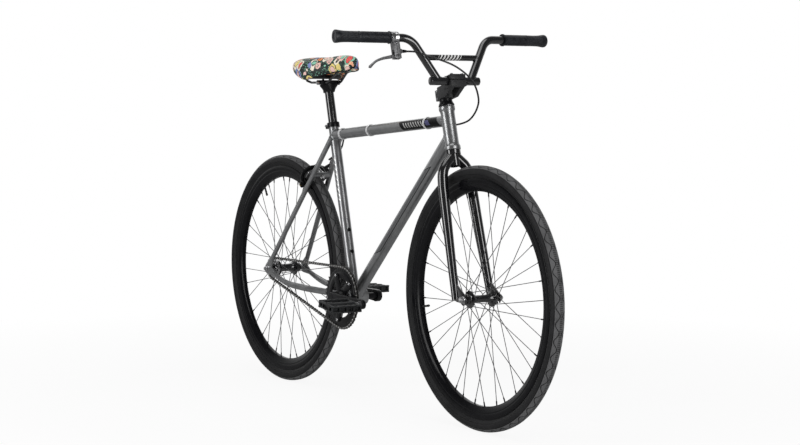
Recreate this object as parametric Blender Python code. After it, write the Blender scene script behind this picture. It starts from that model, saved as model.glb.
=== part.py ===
"""City bike with a single gear, built as separate pieces in metres.

X points forward, Y to the rider's left and Z up. The origin lies on the ground,
halfway between the axles, in the bike's middle plane.
"""

from math import acos, atan2, cos, pi, radians, sin, sqrt, tan

import bmesh
import bpy
from mathutils import Matrix, Vector

# Clearance that is kept between pieces that touch
GAP = 0.0003

# Flat sides of a round tube, of a slim one and of a small turned piece
TUBE_SIDES = 16
SLIM_SIDES = 10
SMALL_SIDES = 12

# Wheels and frame
WHEELBASE = 1.059
TYRE_RADIUS = 0.349
BRACKET_AHEAD_OF_TYRE = 0.0685
BRACKET_BELOW_AXLES = 0.053
BOTTOM_BRACKET_BEHIND_MIDDLE = WHEELBASE / 2 - TYRE_RADIUS - BRACKET_AHEAD_OF_TYRE
BOTTOM_BRACKET_HEIGHT = TYRE_RADIUS - BRACKET_BELOW_AXLES
HEAD_ANGLE = radians(75)
HEAD_TUBE_LENGTH = 0.120
FORK_ABOVE_TYRE = 0.058
FORK_LENGTH = TYRE_RADIUS + FORK_ABOVE_TYRE
FORK_RAKE = 0.030
SEAT_ANGLE = radians(75.7)
SEAT_TUBE_LENGTH = 0.520
TOP_TUBE_BELOW_HEAD_TOP = 0.0386
TOP_TUBE_BELOW_SEAT_TOP = 0.0366
DOWN_TUBE_ABOVE_HEAD_BOTTOM = 0.038
HEAD_TUBE_RADIUS = 0.019
HEAD_CUP_RADIUS = 0.022
HEAD_CUP_LENGTH = 0.012
HEAD_TUBE_BORE = 0.0165
TOP_TUBE_RADIUS = 0.015
DOWN_TUBE_RADIUS = 0.017
SEAT_TUBE_RADIUS = 0.015
TUBE_WALL = 0.0011
SHELL_RADIUS = 0.0225
SHELL_WIDTH = 0.068
BOTTLE_BOSS_RADIUS = 0.006
BOTTLE_BOSS_HEIGHT = 0.002
BOTTLE_BOSS_BORE = 0.0025
BOTTLE_BOSS_SPACING = 0.064
DOWN_TUBE_BOSS_DISTANCE = 0.232
SEAT_TUBE_BOSS_DISTANCE = 0.132

# Rear triangle
REAR_DROPOUT_INSIDE = 0.060
DROPOUT_THICKNESS = 0.005
DROPOUT_RADIUS = 0.017
STAY_END_DISTANCE = 0.0467
SEAT_STAY_RADIUS = 0.0075
SEAT_STAY_END_RADIUS = 0.0068
SEAT_STAY_BELOW_SEAT_TOP = 0.0456
SEAT_STAY_AHEAD_OF_SEAT_TUBE = 0.0053
SEAT_STAY_HALF_SPACING = 0.0145
CHAIN_STAY_RADIUS = 0.0095
CHAIN_STAY_END_RADIUS = 0.0072
CHAIN_STAY_END_ANGLE = radians(-19)
CHAIN_STAY_STRAIGHT = 0.115
CHAIN_STAY_BEND_BEHIND_BRACKET = 0.188
CHAIN_STAY_BEND_HALF_SPACING = 0.052
CHAIN_STAY_BEND_RISE = 0.010
CHAIN_STAY_WAIST_BEHIND_BRACKET = 0.093
CHAIN_STAY_WAIST_HALF_SPACING = 0.0318
CHAIN_STAY_WAIST_RISE = 0.006
CHAIN_STAY_FRONT_HALF_SPACING = 0.0205
CHAIN_STAY_FRONT_RISE = 0.0015
STAY_OVER_DROPOUT = 0.012
STAY_WALL = 0.001
BRIDGE_RADIUS = 0.008
BRIDGE_ABOVE_TYRE = 0.020
BRIDGE_DISTANCE = TYRE_RADIUS + BRIDGE_ABOVE_TYRE

# Headset and steerer
STEERER_RADIUS = 0.0143
STEERER_WALL = 0.0018
STEERER_BELOW_HEAD = 0.045
BEARING_RADIUS = 0.0205
BEARING_HEIGHT = 0.007
CROWN_RACE_HEIGHT = 0.012
HEADSET_COVER_RADIUS = 0.0215
HEADSET_COVER_HEIGHT = 0.0117
SPACER_RADIUS = 0.0175
SPACER_HEIGHT = 0.007

# Fork
BLADE_RADIUS = 0.014
BLADE_END_RADIUS = 0.0105
BLADE_WALL = 0.0014
BLADE_TOP_HALF_SPACING = 0.0105
BLADE_TOP_DEPTH = 0.022
BLADE_SHOULDER_HALF_SPACING = 0.0457
BLADE_SHOULDER_DEPTH = 0.098
BLADE_SET_BACK = 0.003
BLADE_FOOT_RISE = 0.005
BLADE_FOOT_INSET = 0.001
FORK_TANG_REACH = 0.030
FORK_TANG_RISE = 0.040
FORK_TANG_END_RADIUS = 0.005
FORK_SHELF_RISE = 0.008
FORK_DROPOUT_INSIDE = 0.052
FORK_DROPOUT_RADIUS = 0.0135

# Stem and handlebar, forward of and above the head tube's bottom along the steering axis
STEM_CLAMP_HEIGHT = 0.0335
STEM_CLAMP_RADIUS = 0.0195
STEM_WALL_HALF_WIDTH = 0.022
STEM_POCKET_HALF_WIDTH = 0.010
STEM_BLOCK_HALF_WIDTH = 0.024
STEM_BLOCK_HALF_LENGTH = 0.020
STEM_CAP_HEIGHT = 0.0162
STEM_SPLIT = 0.0013
PINCH_SLOT = 0.002
BAR_RADIUS = 0.0111
BAR_FORWARD = 0.0535
BAR_ABOVE_COVER = 0.036
BAR_FOOT_HALF_WIDTH = 0.0765
UPRIGHT_FOOT = 0.0503
BAR_RISE = 0.1165
BAR_BEND_RADIUS = 0.048
BAR_HALF_WIDTH = 0.336
BEND_INSIDE_LEVER = 0.0485
BACKSWEEP = radians(7)
UPSWEEP = radians(2.2)
CROSSBAR_RADIUS = 0.008
CROSSBAR_RISE = 0.0645

# Grips and brake lever
GRIP_LENGTH = 0.156
GRIP_RADIUS = 0.0150
GRIP_FLANGE_RADIUS = 0.0205
GRIP_RIB_HEIGHT = 0.0010
GRIP_RIB_COUNT = 4
GRIP_END_WALL = 0.003
LEVER_INSIDE_GRIP = 0.012
LEVER_CLAMP_INBOARD = BAR_HALF_WIDTH - GRIP_LENGTH - LEVER_INSIDE_GRIP
UPRIGHT_HEAD = LEVER_CLAMP_INBOARD - BEND_INSIDE_LEVER
LEVER_CLAMP_WIDTH = 0.020
LEVER_CLAMP_RADIUS = 0.0155
LEVER_DROP = 0.0495
LEVER_BODY_THICKNESS = 0.017
LEVER_THICKNESS = 0.0084
LEVER_REACH = 0.0927
LEVER_REST_ANGLE = radians(20.2)
LEVER_PIN_RADIUS = 0.0025
ADJUSTER_RADIUS = 0.0045
ADJUSTER_REACH = 0.033
ADJUSTER_INBOARD = LEVER_CLAMP_INBOARD - ADJUSTER_REACH

# Saddle and seat post
POST_RADIUS = 0.0136
POST_LENGTH = 0.300
POST_EXPOSED = 0.1118
COLLAR_RADIUS = 0.01875
COLLAR_HEIGHT = 0.014
COLLAR_EAR_DEPTH = 0.030
COLLAR_EAR_HALF_WIDTH = 0.010
RAIL_RADIUS = 0.0035
RAIL_HALF_SPACING = 0.022
RAIL_ABOVE_POST = 0.0105
RAIL_FLAT_BEHIND_POST = 0.0619
RAIL_FLAT_AHEAD_OF_POST = 0.0331
RAIL_BACK_BEHIND_POST = 0.0809
RAIL_BACK_HALF_SPACING = 0.030
RAIL_BACK_RISE = 0.0228
RAIL_BACK_BEND_RISE = 0.006
RAIL_NOSE_AHEAD_OF_POST = 0.1081
RAIL_NOSE_HALF_SPACING = 0.006
RAIL_NOSE_RISE = 0.0345
RAIL_NOSE_LENGTH = 0.020
RAIL_BEND_RADIUS = 0.006
SADDLE_LENGTH = 0.272
SADDLE_HALF_WIDTH = 0.0745
SADDLE_TOP_ABOVE_RAILS = 0.0788
SADDLE_BACK_BEHIND_POST = 0.1149
SADDLE_CLAMP_HALF_LENGTH = 0.020
SADDLE_CLAMP_PLATE = 0.007

# Crank, chain and pedals
CRANK_LENGTH = 0.165
CRANK_ANGLE = radians(-1)
CRANK_OUTSIDE = 0.083
CRANK_THICKNESS = 0.014
CRANK_BOSS_RADIUS = 0.0175
CRANK_END_RADIUS = 0.0135
SPINDLE_RADIUS = 0.0095
CHAIN_LINE = 0.0455
CHAIN_PITCH = 0.0127
CHAINRING_TEETH = 44
COG_TEETH = 16
TOOTH_HEIGHT = 0.0034
SPROCKET_THICKNESS = 0.0028
CHAINRING_INNER_RADIUS = 0.0625
SPIDER_RADIUS = 0.0725
SPIDER_ARMS = 5
SPIDER_ARM_WIDTH = 0.014
SPIDER_THICKNESS = 0.004
SPIDER_FIRST_ANGLE = radians(40)
CHAIN_PLATE_HEIGHT = 0.0085
CHAIN_PLATE_THICKNESS = 0.001
CHAIN_INNER_WIDTH = 0.0036
PEDAL_LENGTH = 0.080
PEDAL_WIDTH = 0.096
PEDAL_HEIGHT = 0.021
PEDAL_CENTRE = 0.147
PEDAL_FRAME = 0.009
PEDAL_AXLE_RADIUS = 0.006
RIGHT_PEDAL_TILT = radians(9)

# Wheels
WHEEL_STEPS = 32
TYRE_HEIGHT = 0.0388
RIM_FLOOR_RADIUS = TYRE_RADIUS - TYRE_HEIGHT
RIM_HOOK_HEIGHT = 0.0058
RIM_EDGE_RADIUS = RIM_FLOOR_RADIUS + RIM_HOOK_HEIGHT
RIM_SHOULDER_DEPTH = 0.0102
RIM_SHOULDER_RADIUS = RIM_FLOOR_RADIUS - RIM_SHOULDER_DEPTH
RIM_DEPTH = 0.0292
RIM_INNER_RADIUS = RIM_FLOOR_RADIUS - RIM_DEPTH
RIM_HALF_WIDTH = 0.0125
RIM_HOOK_HALF_WIDTH = 0.0108
RIM_TIP_HALF_WIDTH = 0.006
TYRE_HALF_WIDTH = 0.0185
TYRE_WIDEST_BELOW_TREAD = 0.018
TYRE_WIDEST_RADIUS = TYRE_RADIUS - TYRE_WIDEST_BELOW_TREAD
TYRE_SHOULDER_DROP = 0.0055
TYRE_SHOULDER_HALF_WIDTH = 0.0125
TREAD_FLAT_HALF_WIDTH = 0.003
TYRE_BEAD_THICKNESS = 0.0027
TYRE_WALL = 0.0035
INNER_TUBE_WALL = 0.0016
SPOKE_COUNT = 36
SPOKE_RADIUS = 0.001
SPOKE_CIRCLE = 0.019
SPOKE_CROSSING = radians(60)
SPOKE_HALF_SPREAD_AT_RIM = 0.0025
VALVE_RADIUS = 0.003
VALVE_REACH = 0.030
VALVE_END_RADIUS = RIM_INNER_RADIUS - VALVE_REACH
FRONT_VALVE_ANGLE = radians(189.5)
REAR_VALVE_ANGLE = radians(119.7)
FLANGE_RADIUS = 0.023
FLANGE_THICKNESS = 0.003
FRONT_FLANGE = 0.035
REAR_FLANGE = 0.029
FRONT_BARREL_RADIUS = 0.0085
REAR_BARREL_RADIUS = 0.0095
HUB_HALF_WIDTH = 0.047
FRONT_AXLE_RADIUS = 0.0045
REAR_AXLE_RADIUS = 0.005
NUT_HALF_WIDTH = 0.0085
NUT_LENGTH = 0.0085
AXLE_PAST_NUT = 0.003
FREEWHEEL_CORE_RADIUS = 0.0165
FREEWHEEL_BODY_RADIUS = 0.0235

# Rear caliper
CALIPER_BEHIND = 0.034
CALIPER_ARM_THICKNESS = 0.005
CALIPER_ARM_GAP = 0.001
CALIPER_BOLT_RADIUS = 0.003
PAD_THICKNESS = 0.010
PAD_HEIGHT = 0.010
PAD_LENGTH = 0.050
PAD_CLEARANCE = 0.0025
PAD_STUD_RADIUS = 0.003
PAD_NUT_RADIUS = 0.0052
SHOE_INSIDE = RIM_HALF_WIDTH + 0.014
SHOE_OUTSIDE = SHOE_INSIDE + 0.008
SHOE_HALF_LENGTH = 0.011
SHOE_HALF_DEPTH = 0.006
PAD_NUT_END = SHOE_OUTSIDE + 0.0042
PAD_BELOW_RIM_FLOOR = 0.0002
PAD_CIRCLE = RIM_FLOOR_RADIUS - PAD_BELOW_RIM_FLOOR

# Brake cable
CABLE_RADIUS = 0.0025
CABLE_POINT_SPACING = 0.014
CLIP_WIDTH = 0.006
CLIP_THICKNESS = 0.0013
FRONT_CLIP_BEHIND_HEAD = 0.1011
MIDDLE_CLIP_SHARE = 0.3408
REAR_CLIP_AHEAD_OF_SEAT = 0.0504
CABLE_LEAVES_TUBE_BEHIND_HEAD = 0.0721
CABLE_LEAVES_TUBE_AHEAD_OF_SEAT = 0.0284
CLIP_ANGLE = radians(-25)

X = Vector((1, 0, 0))
Y = Vector((0, 1, 0))
Z = Vector((0, 0, 1))

# Where the sides of two tubes begin, half a side round, so that they have flats on top
HALF_SIDE = pi / TUBE_SIDES
TOP_TUBE_FACING = Vector((0, cos(HALF_SIDE), sin(HALF_SIDE)))
BAR_FACING = Vector((cos(HALF_SIDE), 0, sin(HALF_SIDE)))
STUD_FACING = Vector((0, 1, 0.3))

# Points that follow from the sizes
REAR_AXLE = Vector((-WHEELBASE / 2, 0, TYRE_RADIUS))
FRONT_AXLE = Vector((WHEELBASE / 2, 0, TYRE_RADIUS))
BRACKET = Vector((-BOTTOM_BRACKET_BEHIND_MIDDLE, 0, BOTTOM_BRACKET_HEIGHT))
HEAD_UP = Vector((-cos(HEAD_ANGLE), 0, sin(HEAD_ANGLE)))
HEAD_FORWARD = Vector((sin(HEAD_ANGLE), 0, cos(HEAD_ANGLE)))
HEAD_BOTTOM = FRONT_AXLE - FORK_RAKE * HEAD_FORWARD + FORK_LENGTH * HEAD_UP
SEAT_UP = Vector((-cos(SEAT_ANGLE), 0, sin(SEAT_ANGLE)))
SEAT_TOP = BRACKET + SEAT_TUBE_LENGTH * SEAT_UP
TOP_TUBE_FRONT = HEAD_BOTTOM + (HEAD_TUBE_LENGTH - TOP_TUBE_BELOW_HEAD_TOP) * HEAD_UP
TOP_TUBE_REAR = BRACKET + (SEAT_TUBE_LENGTH - TOP_TUBE_BELOW_SEAT_TOP) * SEAT_UP
DOWN_TUBE_FRONT = HEAD_BOTTOM + DOWN_TUBE_ABOVE_HEAD_BOTTOM * HEAD_UP
POST_TOP = SEAT_TOP + POST_EXPOSED * SEAT_UP
SEAT_FORWARD = Vector((sin(SEAT_ANGLE), 0, cos(SEAT_ANGLE)))
SEAT_STAY_TOP = (
    SEAT_TOP
    - SEAT_STAY_BELOW_SEAT_TOP * SEAT_UP
    + SEAT_STAY_AHEAD_OF_SEAT_TUBE * SEAT_FORWARD
    + SEAT_STAY_HALF_SPACING * Y
)

FINISHES = {
    "frame_paint": ((0.16, 0.165, 0.17), 0.7, 0.35),
    "black_paint": ((0.012, 0.012, 0.014), 0.2, 0.3),
    "black_metal": ((0.02, 0.02, 0.022), 0.8, 0.35),
    "steel": ((0.45, 0.45, 0.47), 1.0, 0.35),
    "silver": ((0.62, 0.63, 0.65), 1.0, 0.3),
    "tyre": ((0.03, 0.032, 0.036), 0.0, 0.8),
    "rubber": ((0.02, 0.022, 0.03), 0.0, 0.7),
    "plastic": ((0.03, 0.031, 0.033), 0.0, 0.5),
    "cable": ((0.02, 0.02, 0.02), 0.0, 0.45),
    "cover": ((0.06, 0.10, 0.09), 0.0, 0.6),
}


# Objects, materials and cutters


def clear_scene():
    for obj in list(bpy.data.objects):
        bpy.data.objects.remove(obj, do_unlink=True)


def material_for(name, finish):
    colour, metallic, roughness = FINISHES[finish]
    material = bpy.data.materials.new(name)
    material.use_nodes = True
    shader = material.node_tree.nodes["Principled BSDF"]
    shader.inputs["Base Color"].default_value = (*colour, 1)
    shader.inputs["Metallic"].default_value = metallic
    shader.inputs["Roughness"].default_value = roughness
    return material


def add_empty(name, location, rotation=None):
    """An empty on a joint's axis, turned by a 3x3 rotation if one is given."""
    empty = bpy.data.objects.new(name, None)
    bpy.context.scene.collection.objects.link(empty)
    turned = rotation.to_4x4() if rotation else Matrix.Identity(4)
    empty.matrix_world = Matrix.Translation(location) @ turned
    empty.empty_display_size = 0.03
    return empty


def add_piece(name, bm, finish, parent=None, local=False):
    """One mesh object. Its shape is in its parent's frame if local, otherwise in the world's."""
    bmesh.ops.remove_doubles(bm, verts=bm.verts, dist=1e-6)
    bmesh.ops.recalc_face_normals(bm, faces=bm.faces)
    mesh = bpy.data.meshes.new(name)
    bm.to_mesh(mesh)
    bm.free()
    mesh.shade_smooth()
    mesh.set_sharp_from_angle(angle=radians(35))
    obj = bpy.data.objects.new(name, mesh)
    bpy.context.scene.collection.objects.link(obj)
    mesh.materials.append(material_for(name, finish))
    if parent:
        obj.parent = parent
        if not local:
            obj.matrix_parent_inverse = parent.matrix_world.inverted()
    return obj


def add_guide(name, bm, parent=None, local=False):
    """A shape that only cuts others or joins them: it is no piece of its own."""
    obj = add_piece(name, bm, "plastic", parent, local)
    obj.hide_render = True
    obj.display_type = "WIRE"
    return obj


def combine(target, guide, operation):
    modifier = target.modifiers.new(f"{operation.lower()} {guide.name}", "BOOLEAN")
    modifier.operation = operation
    modifier.object = guide
    modifier.solver = "EXACT"


def cut(target, *guides):
    for guide in guides:
        combine(target, guide, "DIFFERENCE")


def fuse(target, *guides):
    for guide in guides:
        combine(target, guide, "UNION")


# Shapes


def axes_for(axis, reference=None):
    """Unit vectors square to an axis, the first as near to the reference as it can be."""
    axis = axis.normalized()
    reference = reference or (X if abs(axis.dot(X)) < 0.9 else Y)
    first = (reference - axis * axis.dot(reference)).normalized()
    return first, axis.cross(first)


def turn(bm, profile, steps, origin, axis, closed=True, reference=None):
    """Turns a profile of (radius, height) points round an axis through the origin given."""
    axis = axis.normalized()
    first, _ = axes_for(axis, reference)
    verts = [bm.verts.new(origin + first * r + axis * h) for r, h in profile]
    pairs = list(zip(verts, verts[1:]))
    if closed:
        pairs.append((verts[-1], verts[0]))
    edges = [bm.edges.new(pair) for pair in pairs]
    bmesh.ops.spin(
        bm,
        geom=verts + edges,
        cent=origin,
        axis=axis,
        angle=2 * pi,
        steps=steps,
        use_merge=True,
        use_duplicate=False,
    )
    ends = ((verts[0], profile[0], profile[1]), (verts[-1], profile[-1], profile[-2]))
    for vert, pole, beside in ends:
        if pole[0] == 0 and pole[1] == beside[1]:
            bmesh.ops.dissolve_verts(bm, verts=[vert])


def turned(profile, steps, origin=Vector(), axis=Z, closed=True, reference=None):
    bm = bmesh.new()
    turn(bm, profile, steps, origin, axis, closed, reference)
    return bm


def rod(bm, start, end, radius, steps=16, end_radius=None, reference=None):
    """A solid bar with flat ends, tapered if an end radius is given."""
    far = radius if end_radius is None else end_radius
    length = (end - start).length
    profile = [(0, 0), (radius, 0), (far, length), (0, length)]
    turn(bm, profile, steps, start, end - start, closed=False, reference=reference)


def rod_mesh(start, end, radius, steps=16, end_radius=None, reference=None):
    bm = bmesh.new()
    rod(bm, start, end, radius, steps, end_radius, reference)
    return bm


def pipe_mesh(start, end, radius, wall, steps=TUBE_SIDES, reference=None):
    length = (end - start).length
    profile = [(radius, 0), (radius, length), (radius - wall, length), (radius - wall, 0)]
    return turned(profile, steps, start, end - start, reference=reference)


def box(bm, low, high, frame=None):
    """A box between two corners, in the axes of a frame if one is given."""
    low, high = Vector(low), Vector(high)
    size = high - low
    matrix = Matrix.Translation((low + high) / 2) @ Matrix.Diagonal((*size, 1))
    bmesh.ops.create_cube(bm, size=1, matrix=(frame or Matrix.Identity(4)) @ matrix)


def box_mesh(low, high, frame=None):
    bm = bmesh.new()
    box(bm, low, high, frame)
    return bm


def plate(bm, outline, low, high, frame):
    """A flat plate: an outline in the frame's X and Y, from low to high along its Z."""
    verts = [bm.verts.new(frame @ Vector((u, v, low))) for u, v in outline]
    face = bm.faces.new(verts)
    made = bmesh.ops.extrude_face_region(bm, geom=[face])
    moved = [item for item in made["geom"] if isinstance(item, bmesh.types.BMVert)]
    direction = (frame.to_3x3() @ Z).normalized() * (high - low)
    bmesh.ops.translate(bm, vec=direction, verts=moved)


def plate_mesh(outline, low, high, frame):
    bm = bmesh.new()
    plate(bm, outline, low, high, frame)
    return bm


def arc(centre, radius, start, end, count):
    """Points along an arc in a plane, ends included."""
    angles = [start + (end - start) * i / (count - 1) for i in range(count)]
    return [(centre[0] + radius * cos(a), centre[1] + radius * sin(a)) for a in angles]


def link_outline(start, start_radius, end, end_radius, count=8):
    """The outline that wraps two circles: a bar with round ends."""
    along_u, along_v = end[0] - start[0], end[1] - start[1]
    length = sqrt(along_u**2 + along_v**2)
    facing = atan2(along_v, along_u)
    lean = acos((start_radius - end_radius) / length)
    near = arc(start, start_radius, facing + lean, facing + 2 * pi - lean, count)
    far = arc(end, end_radius, facing - lean, facing + lean, count)
    return near + far


def ribbon_mesh(points, half_widths, low, high):
    """A flat arm along a centre line, with a width at each point, made of four-sided faces."""
    bm = bmesh.new()
    rings = []
    for i, (u, v) in enumerate(points):
        before = points[max(i - 1, 0)]
        after = points[min(i + 1, len(points) - 1)]
        along = Vector((after[0] - before[0], after[1] - before[1])).normalized()
        across = Vector((-along.y, along.x)) * half_widths[i]
        corners = ((across, low), (-across, low), (-across, high), (across, high))
        rings.append([bm.verts.new((u + shift.x, v + shift.y, depth)) for shift, depth in corners])
    for ring, following in zip(rings, rings[1:]):
        for i in range(4):
            j = (i + 1) % 4
            bm.faces.new((ring[i], ring[j], following[j], following[i]))
    bm.faces.new(rings[0])
    bm.faces.new(rings[-1])
    return bm


def rounded_path(corners, bend_radius, steps=4):
    """The corners of a bent tube, each inner one replaced by an arc."""
    path = [corners[0]]
    for before, corner, after in zip(corners, corners[1:], corners[2:]):
        back = (before - corner).normalized()
        ahead = (after - corner).normalized()
        half = acos(max(-1, min(1, back.dot(ahead)))) / 2
        reach = bend_radius / tan(half)
        centre = corner + (back + ahead).normalized() * bend_radius / sin(half)
        first = corner + back * reach - centre
        last = corner + ahead * reach - centre
        sweep = pi - 2 * half
        for i in range(steps + 1):
            share = i / steps
            blend = first * sin((1 - share) * sweep) + last * sin(share * sweep)
            path.append(centre + blend / sin(sweep))
    path.append(corners[-1])
    return path


def tube_mesh(points, radii, sides, caps=True):
    """A round tube along a path, with a radius at each point, made with a curve's bevel."""
    curve = bpy.data.curves.new("tube", "CURVE")
    curve.dimensions = "3D"
    curve.bevel_depth = 1.0
    curve.bevel_resolution = (sides - 4) // 2
    curve.use_fill_caps = caps
    spline = curve.splines.new("POLY")
    spline.points.add(len(points) - 1)
    for place, point, radius in zip(spline.points, points, radii):
        place.co = (*point, 1)
        place.radius = radius
    holder = bpy.data.objects.new("tube", curve)
    bpy.context.scene.collection.objects.link(holder)
    graph = bpy.context.evaluated_depsgraph_get()
    mesh = bpy.data.meshes.new_from_object(holder.evaluated_get(graph))
    bm = bmesh.new()
    bm.from_mesh(mesh)
    bpy.data.meshes.remove(mesh)
    bpy.data.objects.remove(holder)
    bpy.data.curves.remove(curve)
    return bm


def hollow(obj, wall):
    """Gives an open tube its wall, inwards."""
    modifier = obj.modifiers.new("wall", "SOLIDIFY")
    modifier.thickness = wall
    modifier.offset = -1
    modifier.use_rim = True


def smooth_route(points, spacing):
    """A smooth curve through a route's points, read at an even spacing."""
    fine = []
    padded = [2 * points[0] - points[1], *points, 2 * points[-1] - points[-2]]
    for a, b, c, d in zip(padded, padded[1:], padded[2:], padded[3:]):
        for i in range(20):
            t = i / 20
            fine.append(
                0.5 * (2 * b + (c - a) * t + (2 * a - 5 * b + 4 * c - d) * t**2)
                + 0.5 * (3 * b - 3 * c + d - a) * t**3
            )
    fine.append(points[-1])
    lengths = [0]
    for a, b in zip(fine, fine[1:]):
        lengths.append(lengths[-1] + (b - a).length)
    count = max(2, round(lengths[-1] / spacing))
    route = []
    for i in range(count + 1):
        wanted = lengths[-1] * i / count
        index = next(k for k, far in enumerate(lengths) if far >= wanted - 1e-9)
        if index == 0:
            route.append(fine[0])
            continue
        share = (wanted - lengths[index - 1]) / (lengths[index] - lengths[index - 1])
        route.append(fine[index - 1].lerp(fine[index], share))
    return route


def loft(bm, sections):
    """A closed solid through sections of equally many points."""
    rings = [[bm.verts.new(point) for point in section] for section in sections]
    for ring, following in zip(rings, rings[1:]):
        for i in range(len(ring)):
            j = (i + 1) % len(ring)
            bm.faces.new((ring[i], ring[j], following[j], following[i]))
    bm.faces.new(rings[0])
    bm.faces.new(rings[-1])


def side_frame(centre):
    """A frame for plates that stand along the bike: X forward, Y up, Z to the right."""
    return Matrix.Translation(centre) @ Matrix.Rotation(pi / 2, 4, "X")


def in_side_frame(centre, point):
    return (point.x - centre.x, point.z - centre.z)


# Frame


def main_tubes():
    steering_frame = HEAD_BOTTOM, HEAD_UP
    cup_depth = BEARING_HEIGHT + GAP
    cup_bore = BEARING_RADIUS + GAP
    taper = HEAD_CUP_LENGTH + HEAD_CUP_RADIUS - HEAD_TUBE_RADIUS
    top = HEAD_TUBE_LENGTH
    head_profile = [
        (HEAD_CUP_RADIUS, 0),
        (HEAD_CUP_RADIUS, HEAD_CUP_LENGTH),
        (HEAD_TUBE_RADIUS, taper),
        (HEAD_TUBE_RADIUS, top - taper),
        (HEAD_CUP_RADIUS, top - HEAD_CUP_LENGTH),
        (HEAD_CUP_RADIUS, top),
        (cup_bore, top),
        (cup_bore, top - cup_depth),
        (HEAD_TUBE_BORE, top - cup_depth),
        (HEAD_TUBE_BORE, cup_depth),
        (cup_bore, cup_depth),
        (cup_bore, 0),
    ]
    add_piece("head_tube", turned(head_profile, TUBE_SIDES, *steering_frame), "frame_paint")
    outside = [(r + GAP, h) for r, h in head_profile[:6]]
    head_solid = [(0, 0), *outside, (0, top)]
    head_cutter = add_guide(
        "head_tube_outside", turned(head_solid, TUBE_SIDES, *steering_frame, closed=False)
    )

    def tube_pair(name, start, end, radius, reference=None):
        hollow_tube = pipe_mesh(start, end, radius, TUBE_WALL, reference=reference)
        piece = add_piece(name, hollow_tube, "frame_paint")
        solid = rod_mesh(start, end, radius + GAP, TUBE_SIDES, reference=reference)
        return piece, add_guide(f"{name}_outside", solid)

    top_tube, top_cutter = tube_pair(
        "top_tube", TOP_TUBE_REAR, TOP_TUBE_FRONT, TOP_TUBE_RADIUS, TOP_TUBE_FACING
    )
    down_tube, _ = tube_pair("down_tube", BRACKET, DOWN_TUBE_FRONT, DOWN_TUBE_RADIUS)
    seat_tube, seat_cutter = tube_pair("seat_tube", BRACKET, SEAT_TOP, SEAT_TUBE_RADIUS)

    half = SHELL_WIDTH / 2
    bearing_bore = SPINDLE_RADIUS + GAP + BEARING_HEIGHT + GAP
    shell = [
        (SHELL_RADIUS, -half),
        (SHELL_RADIUS, half),
        (bearing_bore, half),
        (bearing_bore, -half),
    ]
    add_piece("bottom_bracket_shell", turned(shell, 20, BRACKET, Y), "frame_paint")
    shell_cutter = add_guide(
        "bottom_bracket_shell_outside",
        rod_mesh(BRACKET - Y * half, BRACKET + Y * half, SHELL_RADIUS + GAP, 20),
    )
    cut(top_tube, head_cutter, seat_cutter)
    cut(seat_tube, shell_cutter)
    cut(down_tube, head_cutter, shell_cutter, seat_cutter, top_cutter)
    bottle_bosses(down_tube, BRACKET, DOWN_TUBE_FRONT, DOWN_TUBE_RADIUS, DOWN_TUBE_BOSS_DISTANCE, Z)
    bottle_bosses(seat_tube, BRACKET, SEAT_TOP, SEAT_TUBE_RADIUS, SEAT_TUBE_BOSS_DISTANCE, X)
    return top_cutter, seat_cutter, shell_cutter


def bottle_bosses(tube, start, end, radius, distance, outwards):
    """Two threaded bosses on the side of a tube that faces the main triangle."""
    along = (end - start).normalized()
    out = (outwards - along * along.dot(outwards)).normalized()
    bosses, holes = bmesh.new(), bmesh.new()
    for step in (0, BOTTLE_BOSS_SPACING):
        foot = start + along * (distance + step)
        face = foot + out * (radius + BOTTLE_BOSS_HEIGHT)
        rod(bosses, foot + out * radius * 0.8, face, BOTTLE_BOSS_RADIUS, 8)
        rod(holes, foot, face + out * GAP, BOTTLE_BOSS_BORE, 6)
    fuse(tube, add_guide(f"{tube.name}_bosses", bosses))
    cut(tube, add_guide(f"{tube.name}_boss_holes", holes))


def frame_bearings():
    for name, height in (("lower", 0), ("upper", HEAD_TUBE_LENGTH - BEARING_HEIGHT)):
        ring = [
            (BEARING_RADIUS, height),
            (BEARING_RADIUS, height + BEARING_HEIGHT),
            (running_bore(STEERER_RADIUS, TUBE_SIDES), height + BEARING_HEIGHT),
            (running_bore(STEERER_RADIUS, TUBE_SIDES), height),
        ]
        bm = turned(ring, TUBE_SIDES, HEAD_BOTTOM, HEAD_UP)
        add_piece(f"headset_bearing_{name}", bm, "steel")
    outer = SHELL_WIDTH / 2
    inner = outer - BEARING_HEIGHT - 0.003
    radius = SPINDLE_RADIUS + GAP + BEARING_HEIGHT
    for name, side in (("right", -1), ("left", 1)):
        ring = [
            (radius, side * inner),
            (radius, side * outer),
            (running_bore(SPINDLE_RADIUS, TUBE_SIDES), side * outer),
            (running_bore(SPINDLE_RADIUS, TUBE_SIDES), side * inner),
        ]
        add_piece(f"bottom_bracket_bearing_{name}", turned(ring, TUBE_SIDES, BRACKET, Y), "steel")


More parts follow.
